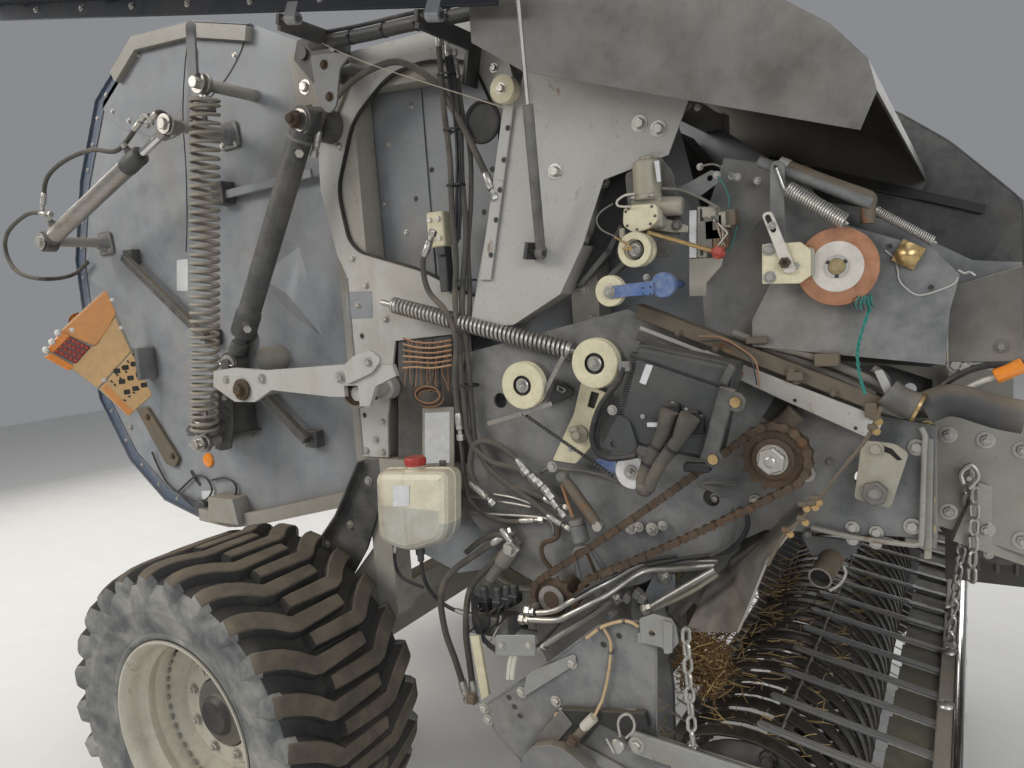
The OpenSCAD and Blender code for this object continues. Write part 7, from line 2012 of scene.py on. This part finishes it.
def pickup_right():
    """Right side of the pickup: punched plate, flat link, cable with its sensor, hook bracket and linkage."""
    g = Geo()
    Y = -1.008
    for a, b in ((245, 862), (280, 920), (315, 977), (838, 530), (935, 475)):
        hole(g, P36(a, b, Y), 0.007)
    for a, b in ((90, 930), (115, 1000), (325, 828), (640, 645), (540, 885)):
        bolt(g, P36(a, b, Y), OUT, 0.010, "zinc", washer=1.5)
    sheet(g, O36(Y, (360, 715), (395, 690), (650, 590), (668, 595), (670, 650), (350, 850), (335, 835)), Y - 0.006, 0.006, "galv", r=0.004)
    # galvanised bracket with its hook plate
    q = P36(1150, 450, -1.02)
    sheet(g, O36(-1.03, (1060, 370), (1150, 340), (1260, 370), (1290, 420), (1310, 520), (1240, 600), (1200, 550), (1070, 520)), -1.030, 0.006, "galv", [ring(q.x, q.z, 0.008, 16)], r=0.004)
    sheet(g, O36(-1.036, (1210, 380), (1270, 400), (1268, 585), (1215, 590)), -1.036, 0.006, "galv", r=0.003)
    cbox(g, P36(1100, 500, -1.028) - V((0.02, 0.0, 0.012)), P36(1100, 500, -1.028) + V((0.02, 0.024, 0.012)), "galv", 0.002)
    # cable along the plate and the sensor at its end
    R = R36(Y - 0.010, (730, 490), (830, 420), (940, 385), (1010, 390), (1080, 430), (1160, 445))
    pth = smooth(R, 6)
    tube(g, pth, 0.0042, "beige_cable", 8)
    for i in (5, 14, 23):
        tie(g, pth, min(i, len(pth) - 2), 0.0044)
    pth = smooth(R36(Y - 0.010, (840, 430), (880, 510), (880, 620), (860, 760), (830, 880)), 6)
    tube(g, pth, 0.0036, "beige_cable", 8)
    tie(g, pth, 10, 0.0038)
    tube(g, [pth[-1], P36(775, 990, -1.045)], 0.0036, "beige_cable", 8)
    bar(g, P36(778, 985, -1.045), P36(712, 1050, -1.045), 0.0125, "white_cable", 20)
    # linkage: flange line, bracket and its bolts
    beam(g, P36(560, 940, Y - 0.004), P36(1050, 950, Y - 0.004), 0.012, 0.008, "galv", up=(0, 1, 0))
    # dark sheet behind the flange line: painted shade
    sheet(g, O45(-1.03, (590, 832), (1000, 850), (1022, 925), (900, 965), (780, 900), (705, 1000), (620, 1010), (500, 985), (520, 920)), -1.030, 0.020, "cavern", r=0.004)
    sheet(g, O45(-1.034, (590, 832), (650, 905), (600, 960), (560, 1010), (470, 1010), (440, 1010)), -1.034, 0.004, "dull", r=0.003)
    sheet(g, O45(-1.06, (385, 1140), (405, 1060), (450, 1016), (530, 1004), (600, 1025), (660, 1070), (735, 1140)), -1.060, 0.050, "plate", r=0.004)
    tube(g, [P45(715, 915, -1.045), P45(640, 995, -1.045)], 0.011, "brown_rail", 12)
    bolt(g, P45(655, 985, -1.056), OUT, 0.011, "rust")
    bolt(g, P36(560, 985, Y - 0.006), OUT, 0.010, "yellow_zinc")
    bolt(g, P36(640, 1130, Y - 0.004), OUT, 0.011, "zinc")
    # lynch pin with its ring
    c = P36(938, 1151, -1.045)
    lathe(g, [(0, -0.018), (0.015, -0.018), (0.018, -0.014), (0.018, 0.0), (0.013, 0.002), (0.013, 0.036), (0, 0.036)], c, (0, 1, 0), "zinc", 20)
    tube(g, smooth(R36(-1.066, (943, 1106), (929, 1024), (952, 978), (997, 969), (1029, 1015), (1025, 1069), (979, 1115)), 6), 0.0034, "zinc", 8)
    bar(g, P36(855, 1120, -1.066), P36(905, 1215, -1.066), 0.0032, "zinc", 10)
    # white hoses beside the plate and the clip that holds them
    for d in (0, 26):
        hose(g, R36(-1.028, (250 + d, 500), (262 + d, 580), (248 + d, 660), (240 + d, 745)), 0.0065, "white_cable", 10, 5, (0, 0))
    sheet(g, O36(-1.036, (160, 470), (410, 470), (410, 600), (160, 600)), -1.038, 0.004, "galv", r=0.006)
    bolt(g, P36(200, 535, -1.038), OUT, 0.007, "zinc")
    bolt(g, P36(370, 535, -1.038), OUT, 0.007, "zinc")
    # chain from the hook plate down to the plate, flat link bar and the round end below it
    link_chain(g, P36(1352, 425, -1.034), P36(1398, 1165, -1.034), 0.0042, 0.042, 0.026, "zinc")
    bolt(g, P36(1398, 1172, -1.020), OUT, 0.010, "zinc")
    a, b = P36(1010, 1135, -1.036), P36(1760, 1385, -1.036)
    beam(g, a, b, 0.056, 0.012, "galv", 0.003, up=(0, 1, 0))
    bolt(g, a + (b - a) * 0.06 + V((0, -0.006, 0)), OUT, 0.012, "zinc", washer=1.6)
    bolt(g, a + (b - a) * 0.94 + V((0, -0.006, 0)), OUT, 0.012, "zinc", washer=1.6)
    return g


def straw(g, lo, hi, n, L=(0.03, 0.10), flat=0.4, m="hay"):
    """Loose stalks in a box: each is a short bent tube."""
    for _ in range(n):
        p = V([rnd.uniform(a, b) for a, b in zip(lo, hi)])
        d = V((rnd.gauss(0, 1), rnd.gauss(0, 1), rnd.gauss(0, flat)))
        d.normalize()
        l = rnd.uniform(*L)
        c = V((rnd.uniform(-1, 1), rnd.uniform(-1, 1), rnd.uniform(-1, 1))) * l * 0.10
        tube(g, [p - d * l / 2, p + c, p + d * l / 2], rnd.uniform(0.0007, 0.0015), m, 4)


def crop_rest():
    """Crop left on the machine: on the feeder's front edge and along the strips."""
    g = Geo()
    straw(g, (1.300, -0.90, 0.560), (1.330, 0.90, 0.70), 240)
    straw(g, (1.200, -0.55, 0.870), (1.330, 0.55, 0.90), 260)
    return g


def crop_pickup():
    g = Geo()
    straw(g, (1.47, -0.93, 0.766), (1.66, 0.93, 0.776), 330, (0.03, 0.09), 0.08)
    straw(g, (1.66, -0.93, 0.735), (1.76, 0.93, 0.748), 150, (0.03, 0.08), 0.1)
    # a matted tuft beside the right plate, where the crop turns in
    c = at(712, 652, -0.84)
    straw(g, (c.x - 0.055, -0.93, c.z - 0.075), (c.x + 0.035, -0.78, c.z + 0.035), 520, (0.02, 0.07), 0.6, "hay_dark")
    straw(g, (c.x - 0.05, -0.92, c.z - 0.07), (c.x + 0.03, -0.80, c.z + 0.03), 110, (0.02, 0.07), 0.6)
    return g


def front_chains():
    """Chains that hold the finger guard and the pickup, and the hook ring over them."""
    g = Geo()
    low = V((2.003, -0.285, 0.775))
    top = V((2.052, -0.60, 1.296))
    link_chain(g, top, low, 0.0042, 0.044, 0.027, "zinc")
    link_chain(g, top + V((0.012, 0.010, -0.010)), top + V((0.004, 0.0, -0.235)), 0.0042, 0.044, 0.027, "zinc")
    bolt(g, top + V((0, 0.035, 0.012)), OUT, 0.012, "zinc", stub=0.03)
    tube(g, smooth([top + V((0, -0.004, -0.01)), top + V((0.018, -0.006, 0.02)), top + V((0.004, -0.006, 0.045)), top + V((-0.016, -0.006, 0.025)), top + V((-0.012, -0.006, 0.0))], 5), 0.006, "zinc", 8)
    return g


piece("pickup_wrapper_strips", bands(), "pickup", ["pickup_wrappers"])
piece("pickup_reel_detail", reel(), "pickup_reel", ["pickup_reel"], ang=50)
piece("finger_guard_detail", finger_guard(), "wind_guard", ["wind_guard"])
piece("pickup_fittings", pickup_plates().both(), "pickup")
piece("pickup_fittings_right", pickup_right(), "pickup")
piece("crop_on_feeder", crop_rest(), "chassis")
piece("crop_on_pickup", crop_pickup(), "pickup")
piece("front_chains", front_chains(), "chassis")


# ---------------------------------------------------------------- covers, shield, drawbar, drive shaft, jack and gauge wheels
# dark blue-grey of the covers' inner side, hinge rail and channels: painted shade with a bluish painted reflection
finish("navy", (0.022, 0.027, 0.036), rough=(0.4, 0.6), amt=0.3, top=0.3, scale=4, dust=(0.11, 0.095, 0.07))
COVER = [(-1.150, 2.930), (1.150, 2.430), (1.330, 2.250), (1.390, 1.900), (1.360, 1.450), (1.200, 1.220), (-0.700, 1.220), (-1.050, 1.380), (-1.250, 1.750), (-1.290, 2.250), (-1.220, 2.700)]


def cover_fittings(turn):
    """Pressed field, handle and bolts outside, lining and stiffening channels inside in a dark blue-grey of painted
    shade and bluish painted reflection, for a cover turned up by the angle.
    """
    g = Geo()
    M = Matrix.Translation((0.45, 0.985, 2.59)) @ Matrix.Rotation(rad(12.3), 4, "Y") @ Matrix.Rotation(rad(turn), 4, "X")
    Q = M @ Matrix.Rotation(rad(90), 4, "X")
    N3 = M.to_3x3() @ V((0, 1, 0))
    sl = rad(12.3)
    loc = [((x - 0.45) * cos(sl) - (z - 2.59) * sin(sl), (x - 0.45) * sin(sl) + (z - 2.59) * cos(sl)) for x, z in COVER]
    # inner lining in the dark blue-grey of painted shade and painted reflection
    prism(g, inset(fillet(loc, 0.05, 4), 0.012), -0.0749, -0.0738, "navy", d=0.0004, M=Q)
    prism(g, inset(fillet(loc, 0.05, 4), 0.11), -0.0785, -0.0812, "panel", d=0.0018, M=Q)
    prism(g, inset(fillet(loc, 0.05, 4), 0.19), -0.0808, -0.0830, "panel", d=0.0018, M=Q)
    for x, z in ((-1.35, -0.75), (-0.85, -1.35), (-0.35, -1.35), (0.15, -1.25), (0.60, -1.12)):
        cbox(g, (x - 0.030, 0.057, z), (x + 0.030, 0.0745, -0.065), "navy", 0.004, M)
        cbox(g, (x - 0.050, 0.0715, z - 0.01), (x + 0.050, 0.0745, -0.055), "navy", 0.001, M)
        for t in (0.1, 0.5, 0.9):
            for s in (-1, 1):
                bolt(g, M @ V((x + s * 0.040, 0.0715, -0.065 + (z + 0.065) * t)), -N3, 0.005, "zinc")
    cbox(g, (-1.50, 0.063, -0.705), (0.90, 0.0742, -0.675), "navy", 0.003, M)
    # rail along the hinge
    cbox(g, (-1.601, 0.0150, -0.0150), (0.681, 0.0770, -0.0050), "navy", 0.001, M)
    cbox(g, (-1.601, 0.0690, -0.0410), (0.681, 0.0760, -0.0060), "navy", 0.001, M)
    for i in range(9):
        bolt(g, M @ V((-1.50 + 0.27 * i, 0.046, -0.0150)), M.to_3x3() @ V((0, 0, -1)), 0.008, "zinc")
        bolt(g, M @ V((-1.48 + 0.27 * i, 0.0790, -0.030)), N3, 0.007, "zinc")
    # handle and two quarter-turn catches at the lower edge
    h = [M @ V(p) for p in ((-0.22, 0.079, -1.34), (-0.22, 0.112, -1.34), (-0.06, 0.112, -1.34), (-0.06, 0.079, -1.34))]
    tube(g, h, 0.009, "cable", 12, 4)
    for x in (-0.70, 0.62):
        c = M @ V((x, 0.0790, -1.13 if x > 0 else -1.44))
        lathe(g, [(0, 0.012), (0.016, 0.012), (0.020, 0.008), (0.026, 0.003), (0.028, 0.0), (0, 0.0)], c, N3, "cable", 24)
        u = basis(N3)[0]
        beam(g, c + N3 * 0.013 - u * 0.016, c + N3 * 0.013 + u * 0.016, 0.006, 0.008, "zinc", up=N3)
    return g


def left_shield():
    g = Geo()
    P = [(1.230, 2.560), (1.450, 2.560), (1.707, 2.478), (1.814, 2.412), (1.985, 2.276), (2.149, 2.102), (2.225, 2.019), (2.235, 1.500), (1.960, 1.380), (1.230, 1.540)]
    f = fillet(P, 0.04, 4)
    sweep(g, [V((x, 0.9375, z)) for x, z in inset(f, 0.003)], ring(0, 0, 0.0045, 8), "dark", closed=True)
    plate(g, inset(f, 0.09), 0.9395, 0.9425, "dark", d=0.0016)
    for x, z in ((1.27, 2.50), (1.27, 2.20), (1.27, 1.90), (1.27, 1.60), (1.60, 1.505), (1.95, 1.425), (2.19, 1.55), (2.19, 1.85), (2.05, 2.15), (1.80, 2.37), (1.50, 2.50)):
        bolt(g, (x, 0.940, z), (0, 1, 0), 0.008, "zinc")
    tube(g, [(1.62, 0.9425, 1.72), (1.62, 0.972, 1.72), (1.78, 0.972, 1.72), (1.78, 0.9425, 1.72)], 0.009, "cable", 12, 4)
    for z in (1.75, 2.30):
        lathe(g, [(0, -0.05), (0.010, -0.05), (0.010, 0.05), (0, 0.05)], (1.236, 0.948, z), (0, 0, 1), "zinc", 16)
        cbox(g, (1.226, 0.9395, z - 0.045), (1.30, 0.9435, z + 0.045), "dark", 0.001)
    # stiffening channels on the inner side, in near-black as painted shade
    beam(g, (1.30, 0.926, 2.30), (2.10, 0.926, 2.00), 0.040, 0.016, "cavern", up=(0, 1, 0))
    beam(g, (1.30, 0.926, 1.80), (2.20, 0.926, 1.62), 0.040, 0.016, "cavern", up=(0, 1, 0))
    return g


def front_end():
    """Gearbox ribs and lids, drawbar plates and welds, hose rack, drive shaft guard, jack and towing eye trim."""
    g = Geo()
    for i in range(6):
        x = 2.020 + 0.046 * i
        for s in (-1, 1):
            ys = sorted((s * 0.149, s * 0.160))
            cbox(g, (x, ys[0], 0.935), (x + 0.010, ys[1], 1.225), "dull", 0.002)
    cbox(g, (2.000, -0.140, 1.258), (2.270, 0.140, 1.268), "dull", 0.004)
    for x in (2.015, 2.135, 2.255):
        for y in (-0.125, 0.125):
            bolt(g, (x, y, 1.268), (0, 0, 1), 0.008, "zinc")
    lathe(g, [(0, 0.035), (0.012, 0.035), (0.016, 0.030), (0.016, 0.012), (0.024, 0.010), (0.024, 0), (0, 0)], (2.07, 0.05, 1.268), (0, 0, 1), "red", 20)
    for k in range(8):
        a = 2 * pi * (k + 0.5) / 8
        bolt(g, (2.280, 0.110 * cos(a), 1.0 + 0.088 * sin(a)), (1, 0, 0), 0.008, "zinc")
    lathe(g, [(0.055, 0.0), (0.126, 0.0), (0.130, 0.004), (0.130, 0.010), (0.100, 0.014), (0.084, 0.014), (0.080, 0.052), (0.055, 0.052)], (2.278, 0, 1.0), (1, 0, 0), "dull", 40, closed=True)
    for k in range(6):
        a = 2 * pi * k / 6
        bolt(g, (2.120 + 0.055 * cos(a), -0.416, 1.120 + 0.055 * sin(a)), (0, -1, 0), 0.008, "zinc")
    # drive shaft guard: bellows rings and end cones
    for i in range(30):
        x = 2.455 + 0.030 * i
        lathe(g, [(0.0545, -0.006), (0.0585, -0.003), (0.0585, 0.003), (0.0545, 0.006)], (x, 0, 1.0), (1, 0, 0), "box_black", 28)
    for x, s in ((2.402, 1), (3.378, -1)):
        lathe(g, [(0.0545, s * 0.050), (0.0600, s * 0.045), (0.0700, s * 0.020), (0.0740, s * 0.004), (0.0740, 0.0), (0.0700, 0.0), (0.0640, s * 0.020), (0.0545, s * 0.040)], (x, 0, 1.0), (1, 0, 0), "box_black", 32, closed=True)
    link_chain(g, V((2.70, -0.058, 0.985)), V((2.70, -0.235, 0.945)), 0.0025, 0.026, 0.016, "zinc", 0.03)
    # drawbar: bolted side plates, weld beads along the beams, gussets at the tip
    for s in (-1, 1):
        for x, z in ((2.010, 1.215), (2.010, 1.400), (2.085, 1.180), (2.085, 1.390), (2.155, 1.160), (2.155, 1.370)):
            bolt(g, (x, s * 0.559 if s > 0 else -0.559, z), (0, s, 0), 0.013, "zinc", nut=True, washer=1.5)
    A, B = V((2.030, -0.535, 1.222)), V((3.380, -0.055, 0.655))
    e = (B - A).normalized()
    for s in (-1, 1):
        a, b = V((A.x, s * 0.535, A.z)), V((B.x, s * 0.055, B.z))
        ee = (b - a).normalized()
        side = ee.cross(V((0, 0, 1))).normalized() * (1 if s < 0 else -1)
        up = side.cross(ee).normalized() * (1 if s < 0 else -1)
        if up.z < 0:
            up = -up
        if side.y * s < 0:
            side = -side
        for t in (0.30, 0.62):
            c = a.lerp(b, t)
            beam(g, c + side * 0.0455 - ee * 0.05, c + side * 0.0455 + ee * 0.05, 0.08, 0.006, "frame", up=side)
            for q in (-0.03, 0.03):
                bolt(g, c + side * 0.049 + ee * q, side, 0.009, "zinc")
        if s < 0:
            # four hoses tied along the top of the right beam, with couplings in the rack
            for k in range(4):
                off = side * (0.026 - 0.017 * k)
                pts = [a.lerp(b, t) + up * (0.085 + 0.002 * sin(t * 30 + k)) + off for t in (0.02, 0.2, 0.4, 0.6, 0.8, 0.93)]
                pts += [V((3.30, -0.045 + 0.03 * k, 0.790)), V((3.330, -0.045 + 0.03 * k, 0.860))]
                pth = hose(g, pts, 0.0075, "cable", 10, 6, (0, 0))
                lathe(g, [(0, -0.030), (0.011, -0.030), (0.011, 0.004), (0.015, 0.006), (0.015, 0.022), (0.010, 0.024), (0.010, 0.040), (0, 0.040)], pts[-1] + V((0.006, 0, 0.012)), (0.5, 0, 0.87), ("red", "zinc", "blue", "zinc")[k], 16)
            for t in (0.2, 0.42, 0.64, 0.86):
                c = a.lerp(b, t) + up * 0.078
                beam(g, c - side * 0.042, c + side * 0.042, 0.016, 0.028, "dark", up=up)
                bolt(g, c + up * 0.014 - side * 0.036, up, 0.006, "zinc")
    for s in (-1, 1):
        weld(g, (3.292, s * 0.0965, 0.60), (3.292, s * 0.0965, 0.72), 0.004)
        for x in (3.33, 3.40):
            bolt(g, (x, s * 0.095, 0.66), (0, s, 0), 0.013, "zinc", nut=True)
    for x, y in ((2.53, -0.33), (2.53, 0.33), (2.57, -0.20), (2.57, 0.20)):
        bolt(g, (x, y, 0.932), (0, 0, 1), 0.009, "zinc")
    # towing eye: weld and wear ring
    lathe(g, [(0.0265, -0.0215), (0.060, -0.0215), (0.063, -0.018), (0.063, 0.018), (0.060, 0.0215), (0.0265, 0.0215)], (3.550, 0, 0.620), (0, 0, 1), "steel", 48, closed=True)
    weld(g, (3.490, -0.030, 0.643), (3.490, 0.030, 0.643), 0.004)
    # jack: crank, collar, pin with ring
    lathe(g, [(0, 0.028), (0.020, 0.028), (0.024, 0.022), (0.040, 0.018), (0.0405, -0.020), (0.0385, -0.020)], (2.9, 0.33, 1.215), (0, 0, 1), "dark", 32)
    tube(g, [V((2.9, 0.33, 1.235)), V((2.9, 0.33, 1.262)), V((2.9, 0.43, 1.262)), V((2.9, 0.445, 1.262)), V((2.9, 0.445, 1.345))], 0.008, "zinc", 10, 4)
    lathe(g, [(0, 0), (0.013, 0), (0.016, 0.01), (0.016, 0.075), (0.012, 0.085), (0, 0.085)], (2.9, 0.445, 1.285), (0, 0, 1), "cable", 20)
    pin_end(g, (2.9, 0.2245, 0.85), 0.010, "zinc", (0, -1, 0), 0.02)
    for z in (0.45, 0.55, 0.65, 0.75):
        hole(g, (2.9, 0.2918, z), 0.009, V((0, -1, 0)))
    return g


def jack_trim():
    g = Geo()
    for k in range(4):
        a = rad(45 + 90 * k)
        u = V((cos(a), sin(a), 0))
        beam(g, V((2.9, 0.33, 0.019)) + u * 0.032, V((2.9, 0.33, 0.0165)) + u * 0.100, 0.006, 0.012, "plate", up=(0, 0, 1))
    lathe(g, [(0.098, 0.0142), (0.112, 0.0142), (0.1155, 0.010), (0.1155, 0.003), (0.113, 0.001)], (2.9, 0.33, 0), (0, 0, 1), "plate", 40)
    return g


def gauge(side):
    g = Geo()
    o = (1.650, side * 1.120, 0.300)
    lathe(g, [(0.150, -0.055), (0.166, -0.0565), (0.180, -0.052), (0.188, -0.040), (0.190, -0.030), (0.190, -0.020), (0.1855, -0.018), (0.1855, -0.012), (0.190, -0.010), (0.190, 0.010),
              (0.1855, 0.012), (0.1855, 0.018), (0.190, 0.020), (0.190, 0.030), (0.188, 0.040), (0.180, 0.052), (0.166, 0.0565), (0.150, 0.055), (0.134, 0.040), (0.132, 0.0), (0.134, -0.040)], o, (0, 1, 0), "rubber", 72, closed=True)
    lathe(g, [(0.1345, -0.0400), (0.1375, -0.0430), (0.1330, -0.0455), (0.126, -0.040), (0.122, -0.010), (0.075, -0.006), (0.066, -0.030), (0.058, -0.044), (0.0165, -0.045),
              (0.0165, 0.045), (0.058, 0.044), (0.066, 0.030), (0.075, 0.006), (0.122, 0.002), (0.126, 0.040), (0.1330, 0.0455), (0.1375, 0.0430), (0.1345, 0.0400)], o, (0, 1, 0), "rim", 60, closed=True)
    for k in range(5):
        a = 2 * pi * k / 5
        for s in (-1, 1):
            bolt(g, (o[0] + 0.098 * cos(a), o[1] + (0.0035 if s > 0 else -0.0085), o[2] + 0.098 * sin(a)), (0, s, 0), 0.009, "zinc")
    return g


piece("cover_fittings_right", cover_fittings(105).mirrored(), "cover_right")
piece("cover_fittings_left", cover_fittings(0), "cover_left")
piece("left_shield_fittings", left_shield(), "chassis")
piece("front_end_fittings", front_end(), "chassis")
piece("jack_foot_fittings", jack_trim(), "jack_leg")
piece("gauge_wheel_detail_right", gauge(-1), "gauge_wheel_right", ["gauge_wheel_right"], ang=30)
piece("gauge_wheel_detail_left", gauge(1), "gauge_wheel_left", ["gauge_wheel_left"], ang=30)



# ---------------------------------------------------------------- room and light
def room():
    g = Geo()
    cbox(g, (-14, -14, -0.10), (20, 14, 0.0), 0, 0.01)
    me = bpy.data.meshes.new("floor")
    me.from_pydata([(x + OFF.x, y, z + OFF.z) for x, y, z in g.v], [], g.f)
    ob = bpy.data.objects.new("floor", me)
    me.materials.append(MAT["floor"])
    bpy.context.scene.collection.objects.link(ob)
    w = bpy.data.worlds.new("studio")
    bpy.context.scene.world = w
    w.use_nodes = True
    bg = w.node_tree.nodes["Background"]
    bg.inputs[0].default_value = (0.86, 0.89, 0.93, 1)
    bg.inputs[1].default_value = 0.29

    def area(name, p, target, size, power, col=(1, 1, 1)):
        d = bpy.data.lights.new(name, "AREA")
        d.shape, d.size, d.size_y, d.energy, d.color = "RECTANGLE", size[0], size[1], power, col
        o = bpy.data.objects.new(name, d)
        bpy.context.scene.collection.objects.link(o)
        p, q = V(p) + OFF, V(target) + OFF
        o.matrix_world = Matrix.Translation(p) @ (p - q).to_track_quat("Z", "Y").to_matrix().to_4x4()

    area("key", (-3.2, -5.2, 5.2), (0.3, 0, 1.5), (4, 3), 300, (1, 0.97, 0.92))
    area("fill", (5.5, -5.0, 3.6), (0.9, 0, 1.4), (4, 3), 160, (0.92, 0.96, 1))
    area("top", (0.5, 0.5, 6.5), (0.5, 0, 0), (6, 5), 160, (1, 1, 1))
    area("left", (0.5, 6.5, 4.0), (0.3, 0, 1.4), (5, 3), 184, (1, 0.98, 0.95))
    area("back", (-6.5, 1.5, 3.6), (0, 0, 1.5), (4, 3), 126, (1, 0.96, 0.9))


finish("floor", (0.72, 0.71, 0.69), var=0.03, rough=(0.6, 0.75), amt=0.12, lo=0.4, hi=0.8, scale=0.8, top=0.0, dust=(0.60, 0.57, 0.52), bump=0.05)
room()
bpy.context.scene.view_settings.view_transform = "Standard"
bpy.context.scene.view_settings.look = "None"
